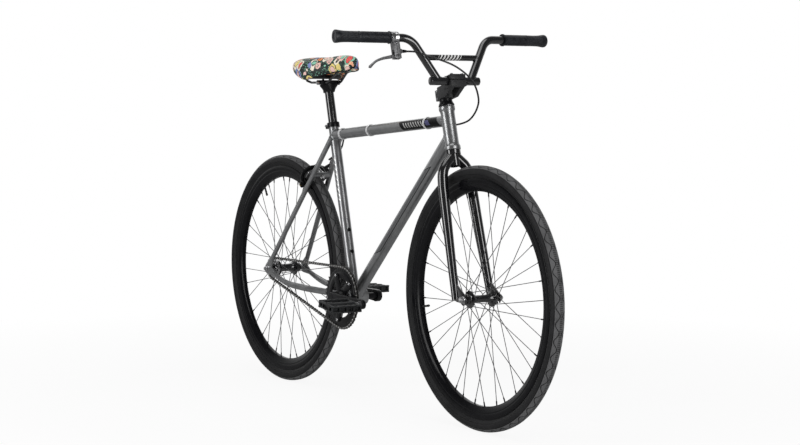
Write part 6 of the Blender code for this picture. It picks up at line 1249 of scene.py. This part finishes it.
CRANK_LENGTH = 0.165
for word, hand, turn in (("right", -1, -1), ("left", 1, 179)):
    way = Vector((cos(radians(turn)), 0, sin(radians(turn))))
    mesh = bmesh.new()
    place = stand(BRACKET + SIDEWAYS * hand * 0.0760, SIDEWAYS, way)
    put(mesh, plate(arm_outline(CRANK_LENGTH, 0.0172, 0.0132), 0.0138, 0.0030, segments=4), place)
    put(mesh, turned([(0.0100, -0.0690), (0.0168, -0.0690), (0.0175, -0.0680), (0.0175, -0.0800), (0.0160, -0.0829),
                      (0.0118, -0.0832), (0.0112, -0.0822), (0, -0.0822)], 40), stand(BRACKET, SIDEWAYS * -hand))
    add_piece("crank_" + word, mesh, "crank", satin_black, ("crank_arm_" + word,), crease=38)
    mesh = bmesh.new()
    cap = BRACKET + SIDEWAYS * hand * 0.0822
    put(mesh, turned([(0, 0.0), (0.0108, 0.0), (0.0110, 0.0004), (0.0104, 0.0010), (0.0040, 0.0013),
                      (0.0036, 0.0004), (0, 0.0003)], 32), stand(cap, SIDEWAYS * hand))
    add_piece("crank_cap_" + word, mesh, "crank", shell_plastic, ())

# %% [markdown]
# The pedals are one-piece moulded platforms: a frame round a centre barrel, with webs and open
# slots so that rain and mud fall through, and small raised treads along the front and rear bars.
# The right one hangs tilted, so it is modelled level and then turned.

# %% Pedals
def pedal(mesh, centre, tilt, long=0.080, wide=0.096, tall=0.021, rail=0.0090):
    """A platform of bars and webs round a barrel: long is along the bike, wide is across it."""
    level = Matrix.Translation(centre) @ Matrix.Rotation(tilt, 4, "Y")

    def bar(size, place, bevel, segments=1):
        put(mesh, block(size, bevel, segments), level @ Matrix.Translation(place))

    for sign in (-1, 1):
        end, side = sign * (long - rail) / 2, sign * (wide - rail) / 2
        for up in (-1, 1):
            bar((rail, wide, 0.0052), (end, 0, up * (tall / 2 - 0.0026)), 0.0016, 3)
            bar((long - 0.004, rail, 0.0048), (0, side, up * (tall / 2 - 0.0036)), 0.0014, 3)
        for spot in (-0.0445, -0.0225, 0, 0.0225, 0.0445):
            bar((rail - 0.001, 0.0055, tall - 0.004), (end, spot, 0), 0.0007)
        for spot in (-0.018, 0.018):
            bar((0.0050, rail - 0.001, tall - 0.006), (spot, side, 0), 0.0007)
        bar((0.0016, wide - 0.004, tall - 0.004), (sign * (long / 2 - rail + 0.001), 0, 0), 0.0004)
        bar((long - 0.010, 0.0016, tall - 0.005), (0, sign * (wide / 2 - rail + 0.001), 0), 0.0004)
        for spot in (-0.030, -0.010, 0.010, 0.030):
            for up in (1, -1):
                bar((0.0060, 0.0060, 0.0020), (end, spot, up * (tall / 2 - 0.0006)), 0.0006)
    for spot in (-0.016, 0.016):
        bar((long - 0.006, 0.0034, 0.0120), (0, spot, 0), 0.0006)
    barrel = [(0.0066, -0.044), (0.0110, -0.044), (0.0118, -0.036), (0.0105, -0.020), (0.0105, 0.020),
              (0.0118, 0.036), (0.0110, 0.044), (0.0066, 0.044)]
    put(mesh, turned(barrel, 32, closed=True), level @ stand((0, 0, 0), SIDEWAYS, (1, 0, 0)))
    bar((0.0155, 0.0860, 0.0190), (0, 0, 0), 0.0040, 3)

CRANK_WAY = Vector((cos(radians(-1)), 0, sin(radians(-1))))
for word, hand, tilt in (("right", -1, radians(9)), ("left", 1, 0)):
    eye, out = BRACKET + CRANK_WAY * -CRANK_LENGTH * hand, SIDEWAYS * hand
    centre = eye + SIDEWAYS * 0.147 * hand
    mesh = bmesh.new()
    pedal(mesh, centre, tilt)
    add_piece("platform_" + word, mesh, "pedal_" + word, moulded, ("pedal_" + word,))
    mesh = bmesh.new()
    put(mesh, turned([(0.0100, 0), (0.0100, 0.0022), (0.0094, 0.0028), (0, 0.0028)], 32),
        stand(eye + SIDEWAYS * 0.0832 * hand, out))
    put(mesh, rod(0.0060, 0.0, 0.0150, 0.0004), stand(centre - SIDEWAYS * 0.0640 * hand, out))
    for side in (0, 1):
        put(mesh, block((0.0150, 0.0090, 0.0050), 0.0006, 1),
            stand(centre - SIDEWAYS * 0.0575 * hand, out, (1, 0, 0)) @ Matrix.Rotation(side * pi / 2, 4, "Z"))
    add_piece("pedal_pin_" + word, mesh, "crank", plated, ())

# %% [markdown]
# The rear brake is a side-pull caliper on the bridge of the seat stays. Its two forged arms keep
# the CAD solids' shapes with rounded edges. Small parts make it believable: the return spring,
# the pad nuts, the clamp bolt of the cable and the bare wire between the two lugs.

# %% Brake arms and pads
PIVOT_REAR = Vector((-0.33555, 0, 0.66475))
CALIPER = Matrix.Translation(PIVOT_REAR) @ Matrix((SIDEWAYS, STAY, SIDEWAYS.cross(STAY))).transposed().to_4x4()
for word, hand in HANDS:
    body = "caliper_arm_" + word
    add_piece("brake_arm_" + word, refined(body, 0.0011, 3), body, satin_black, (body,), crease=40)
    pad = "brake_pad_" + word
    add_piece("pad_" + word, refined(pad, 0.0007, 2), body, pad_rubber, (pad,))
    mesh = bmesh.new()
    put(mesh, hexagon(0.0052, 0.0, 0.0032, chamfer=0.0004), CALIPER @ Matrix.Translation((0.0305 * hand, -0.0640, 0))
        @ Matrix.Rotation(pi / 2 * hand, 4, "Y") @ Matrix.Translation((0, 0, 0.0040)))
    add_piece("pad_nut_" + word, mesh, body, brass, ())

mesh = refined("caliper_bolt", 0.0004, 2)
add_piece("brake_pivot_bolt", mesh, "frame", plated, ("caliper_bolt",))
mesh = bmesh.new()
knots = [(x, y, 0.0085) for x, y in ((-0.0330, -0.0300), (-0.0300, -0.0120), (-0.0120, 0.0080), (0.0, 0.0110),
                                     (0.0120, 0.0080), (0.0300, -0.0120), (0.0330, -0.0300))]
put(mesh, swept([CALIPER @ point for point in rounded_path(knots, 0.008, 5)], 0.0009, 8))
add_piece("brake_spring", mesh, "frame", plated, ())

mesh = bmesh.new()
low, high = CALIPER @ Vector((0.0480, -0.0310, 0.0012)), CALIPER @ Vector((0.0385, 0.0120, 0.0030))
put(mesh, swept([low.lerp(high, i / 6) for i in range(7)], 0.0006, 8))
put(mesh, turned([(0, 0), (0.0011, 0.0002), (0.0011, 0.0060), (0, 0.0062)], 12), stand(low, low - high))
put(mesh, hexagon(0.0044, 0.0, 0.0036, chamfer=0.0004), CALIPER @ Matrix.Translation((0.0462, -0.0165, 0.0006)))
add_piece("brake_wire", mesh, "caliper_arm_right", plated, ())

# %% [markdown]
# The cable is a stiff jacket round a steel wire, 5 mm thick, so it bends in wide, even curves and
# never sags. Its route is given as points that a smooth curve passes through, in the same frame
# as the CAD. The front cable crosses the steering joint just ahead of the frame, so it rides on
# no body: its place is baked into its mesh.

# %% Cable
def smooth_route(points, spacing=0.004):
    """A curve through all points: each stretch is split evenly and bent by its neighbours."""
    points = [Vector(point) for point in points]
    padded = [points[0] * 2 - points[1]] + points + [points[-1] * 2 - points[-2]]
    route = []
    for a, b, c, d in zip(padded, padded[1:], padded[2:], padded[3:]):
        pieces = max(2, round((c - b).length / spacing))
        gap_1, gap_2, gap_3 = sqrt((b - a).length), sqrt((c - b).length), sqrt((d - c).length)
        out = ((b - a) / gap_1 - (c - a) / (gap_1 + gap_2) + (c - b) / gap_2) * gap_2
        into = ((c - b) / gap_2 - (d - b) / (gap_2 + gap_3) + (d - c) / gap_3) * gap_2
        for i in range(pieces):
            t = i / pieces
            route.append(b * (2 * t**3 - 3 * t**2 + 1) + out * (t**3 - 2 * t**2 + t)
                         + c * (3 * t**2 - 2 * t**3) + into * (t**3 - t**2))
    return route + [points[-1]]

def run_cable(name, route, body, node):
    """A jacket along a route, 5 mm thick."""
    mesh = bmesh.new()
    put(mesh, swept(route, 0.0025, 16))
    print(name, "length in mm:", round(1000 * sum((b - a).length for a, b in zip(route, route[1:]))))
    return add_piece(name, mesh, body, jacket, (node,))

front_route = [CABLE_START, (0.3985, -0.1190, 0.9930), (0.4085, -0.0960, 0.9850), (0.4150, -0.0600, 0.9745),
               (0.4230, -0.0227, 0.9610), (0.4300, 0, 0.9476), (0.4350, 0.0230, 0.9290), (0.4330, 0.0440, 0.9060),
               (0.4250, 0.0600, 0.8790), (0.4150, 0.0680, 0.8590), (0.4000, 0.0670, 0.8330), (0.3850, 0.0580, 0.8136),
               (0.3680, 0.0430, 0.8040), (0.3455, 0.0303, 0.8000)]
cable_front = run_cable("cable_steered", smooth_route(front_route), None, "brake_cable_front")
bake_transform(cable_front)

top_up = Vector((-top_way.z, 0, top_way.x))
beside = SIDEWAYS * cos(radians(25)) - top_up * sin(radians(25))

def beside_tube(distance):
    """The cable's place beside the top tube, at a distance ahead of the tube's rear end."""
    return TOP_REAR + top_way * (distance / top_way.x) + beside * 0.0197

rear_route = [(0.3450, 0.0300, 0.8000), (0.3230, 0.0220, 0.7990)]
rear_route += [beside_tube(x) for x in (0.5334, 0.519, 0.4923, 0.44, 0.40, 0.355, 0.30, 0.25, 0.2064, 0.1544,
                                        0.11, 0.0624, 0.0384, 0.0284)]
rear_route += [(-0.2105, 0.0190, 0.7530), (-0.2160, 0.0200, 0.7430), (-0.2225, 0.0195, 0.7290),
               (-0.2330, 0.0150, 0.7140), (-0.2460, 0.0080, 0.7020), (-0.2620, 0.0045, 0.6945),
               (-0.2790, 0.0090, 0.6905), (-0.2935, 0.0190, 0.6900), (-0.3050, 0.0300, 0.6885),
               (-0.3158, 0.0365, 0.6835), (-0.3233, 0.0380, 0.6762)]
route = smooth_route(rear_route, 0.005)
run_cable("cable_fixed", route, "frame", "brake_cable_rear")
mesh = bmesh.new()
put(mesh, turned([(0.0024, -0.0110), (0.0030, -0.0108), (0.0031, -0.0010), (0.0027, 0.0), (0.0010, 0.0002)], 20),
    stand(route[-1], route[-1] - route[-4]))
add_piece("cable_ferrule", mesh, "frame", plated, ())

# %% [markdown]
# Three bright clips strap the cable to the top tube. Each is a steel band, 8 mm wide, that runs
# round the tube, with a small ear that holds the jacket.

# %% Cable clips
for word, distance in (("front", 0.5044), ("middle", 0.2064), ("rear", 0.0504)):
    centre = TOP_REAR + top_way * (distance / top_way.x)
    mesh = refined("cable_clip_" + word, 0.00035, 2)
    put(mesh, turned([(0.0151, -0.0040), (0.0163, -0.0040), (0.0170, -0.0032), (0.0170, 0.0032), (0.0163, 0.0040),
                      (0.0151, 0.0040)], 48, closed=True), stand(centre, top_way))
    add_piece("clip_" + word, mesh, "frame", bright_band, ("cable_clip_" + word,), crease=40)

# %% [markdown]
# The seat post slides in the seat tube and is held by a split collar with one bolt at the back.
# Like the fork it is polished gloss black. On its top a two-piece clamp grips the saddle's rails
# between rounded plates.

# %% Seat post, collar and clamp
POST_TOP, RAIL_HEIGHT = Vector((-0.26806, 0, 0.90823)), 0.91873
mesh = bmesh.new()
put(mesh, turned([(0, -0.3000), (0.0128, -0.3000), (0.0136, -0.2988), (0.0136, -0.0012), (0.0128, -0.0002),
                  (0, 0)], 56), stand(POST_TOP, SEAT_UP, (1, 0, 0)))
add_piece("post", mesh, "seat", gloss_black, ("seat_post",))
mesh = refined("seat_collar", 0.0008, 3)
add_piece("collar_ring", mesh, "frame", satin_black, ("seat_collar",), crease=40)
mesh = bmesh.new()
collar_spot = SEAT_TOP - SEAT_FORWARD * 0.0245 - SEAT_UP * 0.0040
put(mesh, socket_bolt(0.0040, 0.0036), stand(collar_spot - SIDEWAYS * 0.0099, -SIDEWAYS))
put(mesh, rod(0.0038, 0.0, 0.0028, 0.0005), stand(collar_spot + SIDEWAYS * 0.0099, SIDEWAYS))
add_piece("collar_bolt", mesh, "frame", plated, ())
mesh = refined("saddle_clamp", 0.0012, 3)
add_piece("clamp_block", mesh, "seat", satin_black, ("saddle_clamp",), crease=40)
mesh = bmesh.new()
cradle = stand((POST_TOP.x, 0, RAIL_HEIGHT), SEAT_UP, (0, 1, 0))
heights = (-0.0300, -0.0270, -0.0220, -0.0160, -0.0110, -0.0080, -0.0074)
sizes = [(0.0142, 0.0142), (0.0166, 0.0162), (0.0185, 0.0172), (0.0230, 0.0185), (0.0275, 0.0196),
         (0.0290, 0.0200), (0.0280, 0.0192)]
put(mesh, swept([cradle @ Vector((0, 0, z)) for z in heights], sizes, 32, side=SIDEWAYS))
add_piece("post_cradle", mesh, "seat", satin_black, (), crease=40)
mesh = bmesh.new()
for out in (-SIDEWAYS, SIDEWAYS):
    place = stand(Vector((POST_TOP.x - 0.0025, 0, RAIL_HEIGHT)) + out * 0.0309, out, (1, 0, 0))
    put(mesh, hexagon(0.0072, 0.0, 0.0058, chamfer=0.0006), place)
    put(mesh, rod(0.0038, 0.0050, 0.0088, 0.0006), place)
add_piece("clamp_nuts", mesh, "seat", plated, ())

# %% Saddle rails
half = [(-0.0809, 0.030, 0.0228), (-0.0809, 0.028, 0.006), (-0.0619, 0.022, 0), (0.0331, 0.022, 0),
        (0.0881, 0.015, 0.033), (0.1081, 0.006, 0.0345)]
both = half + [(dx, -y, dz) for dx, y, dz in reversed(half)]
knots = [Vector((POST_TOP.x + dx, y, RAIL_HEIGHT + dz)) for dx, y, dz in both]
bends = [0.006, 0.012, 0.030, 0.016, 0.0045, 0.0045, 0.016, 0.030, 0.012, 0.006]
mesh = swept(rounded_path(knots, bends, 7), 0.0035, 18)
add_piece("rail_wire", mesh, "seat", gloss_black, ("saddle_rails",))

# %% [markdown]
# The saddle is a foam cushion under a printed cover. Its print is a loose pattern of rings and
# pebbles in pale and warm colours on a near-black green, about 25 mm across. Each cell of a cell
# texture is one motif: the distance from the cell's centre draws its rings, and its random colour
# picks the pair of inks. A noise bends the place first, so no ring is a true circle.

# %% The printed cover
cover, tree, shader = new_material("printed_cover", 0.4)
shader.inputs["Sheen Weight"].default_value = 0.05
place = object_place(tree)
wobble = linked(tree, "ShaderNodeTexNoise", Vector=place, Scale=70.0, Detail=2.0).outputs["Color"]
shift = vector_calc(tree, "MULTIPLY", vector_calc(tree, "SUBTRACT", wobble, (0.5,) * 3), (0.010,) * 3)
bent = vector_calc(tree, "ADD", place, shift)
longer = linked(tree, "ShaderNodeMapping", Vector=bent, Scale=(1.0, 1.0, 0.78), Rotation=(0.3, 0.5, 0.2))
cells = linked(tree, "ShaderNodeTexVoronoi", Vector=longer.outputs["Vector"], Scale=36.0, Randomness=0.7)
inks = linked(tree, "ShaderNodeSeparateColor", Color=cells.outputs["Color"])
MINT, CORAL, ORANGE, PEACH = (0.26, 0.58, 0.42), (0.80, 0.10, 0.09), (0.85, 0.25, 0.06), (0.90, 0.45, 0.27)
CREAM, YELLOW, LILAC, BROWN = (0.88, 0.80, 0.66), (0.82, 0.66, 0.22), (0.20, 0.24, 0.50), (0.12, 0.050, 0.030)
BLUSH, DEEP = (0.85, 0.55, 0.48), (0.010, 0.020, 0.018)

def choose_ink(tree, value, colours):
    """One of the colours, picked by a number from 0 to 1."""
    stops = [(0.15 + 0.7 * i / len(colours) if i else 0, colour) for i, colour in enumerate(colours)]
    chosen = ramp(tree, value, stops)
    chosen.node.color_ramp.interpolation = "CONSTANT"
    return chosen

core = choose_ink(tree, inks.outputs[0], (CORAL, MINT, DEEP, ORANGE, CREAM, MINT, YELLOW, BLUSH))
band = choose_ink(tree, inks.outputs[1], (BLUSH, CREAM, PEACH, YELLOW, MINT, CREAM, LILAC, ORANGE))
far = cells.outputs["Distance"]
dots = linked(tree, "ShaderNodeTexVoronoi", Vector=place, Scale=190.0, Randomness=0.6)
speck = calc(tree, "MULTIPLY", calc(tree, "LESS_THAN", dots.outputs["Distance"], 0.26),
             calc(tree, "GREATER_THAN", far, 0.52))
fade = noise(tree, place, 25.0, 4.0)
ground = ramp(tree, fade, ((0.35, (0.008, 0.016, 0.014)), (0.65, (0.016, 0.030, 0.026))))
uneven = calc(tree, "MULTIPLY", far, spread(tree, inks.outputs[2], 0.85, 1.2, 0.0, 1.0))
colour = layer(tree, speck, ground, MINT)
for size, ink in ((0.58, band), (0.42, DEEP), (0.38, core), (0.12, BROWN)):
    colour = layer(tree, calc(tree, "LESS_THAN", uneven, size), colour, ink)
tree.links.new(colour, shader.inputs["Base Color"])
hide = linked(tree, "ShaderNodeTexVoronoi", Vector=place, Scale=620.0)
hide.feature = "DISTANCE_TO_EDGE"
tree.links.new(spread(tree, fade, 0.42, 0.54), shader.inputs["Roughness"])
bumped(tree, shader, hide.outputs["Distance"], 0.00035, 0.5)

# %% [markdown]
# The cushion starts as rings of a closed form, one per station from tail to nose, each with a
# domed top, sides that draw in below and an underside with a recess for the base. It is made
# slightly too small, then blown up a little as cloth, as foam presses on its cover.

# %% Cushion before it is filled
PLACES = ((-0.3830, 0.0450, 0.9840, 0.9610), (-0.3790, 0.0570, 0.9900, 0.9520), (-0.3650, 0.0690, 0.9925, 0.9440),
          (-0.3400, 0.0745, 0.9930, 0.9350), (-0.3040, 0.0740, 0.9925, 0.9260), (-0.2790, 0.0650, 0.9920, 0.9290),
          (-0.2400, 0.0480, 0.9925, 0.9370), (-0.2000, 0.0330, 0.9955, 0.9450), (-0.1700, 0.0255, 0.9975, 0.9480),
          (-0.1400, 0.0215, 0.9970, 0.9490), (-0.1200, 0.0180, 0.9930, 0.9530), (-0.1110, 0.0110, 0.9850, 0.9600))

RING_STEPS, TUCK = 32, 55

def saddle_section(half, top, edge, shrink):
    """One closed ring of the cushion as (y, z) points, starting under the right side."""
    widest, deepest = edge + (top - edge) * 0.42, sin(radians(TUCK))
    ring = []
    for k in range(RING_STEPS + 1):
        angle = radians(-TUCK + (180 + 2 * TUCK) * k / RING_STEPS)
        c, s = cos(angle), sin(angle)
        sign = 1 if c > 0 else -1
        rise = top - widest if s > 0 else (widest - edge) / deepest
        y = half * sign * (abs(c) ** 0.75 if s >= 0 else 1 - 0.16 * (s / deepest) ** 2)
        z = widest + rise * abs(s) ** 0.8 * (1 if s > 0 else -1)
        ring.append((y - sign * shrink * min(1, abs(y) / 0.01), z - shrink * max(0, s)))
    inner = half * 0.84 - 0.004
    ring += [(-inner, edge), (-inner, edge + 0.0068), (0, edge + 0.0068), (inner, edge + 0.0068), (inner, edge)]
    return ring

def cushion_form(shrink):
    """The rings joined from tail to nose and closed at both ends."""
    tops = smooth_route([(x, half, top) for x, half, top, edge in PLACES], 0.004)
    edges = smooth_route([(x, 0, edge) for x, half, top, edge in PLACES], 0.004)
    mesh = bmesh.new()
    first = None
    for spot in tops:
        edge = min(edges, key=lambda item: abs(item.x - spot.x)).z
        ring = saddle_section(spot.y, spot.z, edge, shrink)
        if first is None:
            verts = [mesh.verts.new((spot.x + shrink, y, z)) for y, z in ring]
            loop = [mesh.edges.new(pair) for pair in zip(verts, verts[1:] + verts[:1])]
            first = loop
            continue
        grown = bmesh.ops.extrude_edge_only(mesh, edges=loop)["geom"]
        moved = [item for item in grown if isinstance(item, bmesh.types.BMVert)]
        for vert, (y, z) in zip(moved, ring):
            vert.co = (spot.x, y, z)
        known = set(moved)
        loop = [item for item in grown if isinstance(item, bmesh.types.BMEdge) and set(item.verts) <= known]
    bmesh.ops.edgeloop_fill(mesh, edges=first)
    bmesh.ops.edgeloop_fill(mesh, edges=loop)
    bmesh.ops.recalc_face_normals(mesh, faces=mesh.faces)
    return mesh

# %% [markdown]
# The cloth step follows a known recipe: an even voxel skin of 4 mm, a pressure from inside, no
# gravity, twenty frames. The underside is pinned, because there the foam sits on the stiff base.
# How far a point may move is capped, which keeps the saddle the size of the CAD solid.

# %% Fill the cushion
FRAMES, FURTHEST = 20, 0.0024

def evaluated_mesh(thing):
    return bpy.data.meshes.new_from_object(thing.evaluated_get(bpy.context.evaluated_depsgraph_get()))

def smooth(mesh):
    bmesh.ops.smooth_vert(mesh, verts=mesh.verts, factor=0.5, use_axis_x=True, use_axis_y=True, use_axis_z=True)

mesh = cushion_form(0.0016)
data = bpy.data.meshes.new("cushion")
mesh.to_mesh(data)
mesh.free()
cushion = bpy.data.objects.new("cushion", data)
bpy.context.scene.collection.objects.link(cushion)
skin = cushion.modifiers.new("skin", "REMESH")
skin.mode = "VOXEL"
skin.voxel_size = 0.004
dense = evaluated_mesh(cushion)
cushion.modifiers.clear()
cushion.data = dense
mesh = bmesh.new()
mesh.from_mesh(dense)
smooth(mesh)
bmesh.ops.recalc_face_normals(mesh, faces=mesh.faces)
mesh.to_mesh(dense)
start = [vert.co.copy() for vert in mesh.verts]
low_side = [vert.index for vert in mesh.verts if vert.normal.z < -0.35]
mesh.free()
group = cushion.vertex_groups.new(name="base")
group.add(low_side, 1.0, "REPLACE")
filling = cushion.modifiers.new("filling", "CLOTH")
filling.settings.use_pressure = True
filling.settings.uniform_pressure_force = 4
filling.settings.effector_weights.gravity = 0
filling.settings.vertex_group_mass = "base"
filling.settings.quality = 6
filling.point_cache.frame_start, filling.point_cache.frame_end = 1, FRAMES
for number in range(1, FRAMES + 1):
    bpy.context.scene.frame_set(number)
swollen = evaluated_mesh(cushion)
cushion.modifiers.clear()
cushion.vertex_groups.clear()
cushion.data = swollen
most = 0
for vert, before in zip(swollen.vertices, start):
    moved = vert.co - before
    most = max(most, moved.length)
    if moved.length > FURTHEST:
        vert.co = before + moved * (FURTHEST / moved.length)
bpy.context.scene.frame_set(1)
print("the filling moved a point by up to mm:", round(most * 1000, 1), "before the cap")

# %% Finish the cushion
mesh = bmesh.new()
mesh.from_mesh(cushion.data)
bpy.data.objects.remove(cushion)
smooth(mesh)
saddle = add_piece("saddle_cushion", mesh, "seat", cover, ("saddle_pad",), crease=70)
finer = saddle.modifiers.new("finer", "SUBSURF")
finer.levels = finer.render_levels = 1

# %% [markdown]
# A stitched cover is folded under the cushion's edge, which shows from the side as a thin dark
# rim. Here it is a flat band that follows the lower edge from the tail round to the nose.

# %% Rim under the cover
rim_line = smooth_route([(x, half * 0.80, edge + 0.0016) for x, half, top, edge in PLACES], 0.008)
mesh = bmesh.new()
loop = rim_line + [Vector((point.x, -point.y, point.z)) for point in reversed(rim_line)]
put(mesh, swept(loop, [(0.0022, 0.0016)] * len(loop), 10, side=[(0, 1, 0.001)] * len(loop), cyclic=True))
add_piece("saddle_rim", mesh, "seat", shell_plastic, ())

# %% [markdown]
# Some CAD solids are already right, or are hidden inside others: the bearings, the crank's
# spindle, the inner tubes and the saddle's base. They stay, and only their finish is replaced.

# %% Finishes for the solids that stay
KEPT = {"headset_bearing_lower": plated, "headset_bearing_upper": plated,
        "bottom_bracket_bearing_right": satin_black, "bottom_bracket_bearing_left": satin_black,
        "crank_spindle": satin_black, "front_inner_tube": pad_rubber, "rear_inner_tube": pad_rubber,
        "saddle_base": shell_plastic}
for name, material in KEPT.items():
    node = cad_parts[name]
    if not node.material_slots:
        node.data.materials.append(material)
    for slot in node.material_slots:
        slot.material = material
    print(name, "keeps its CAD shape")
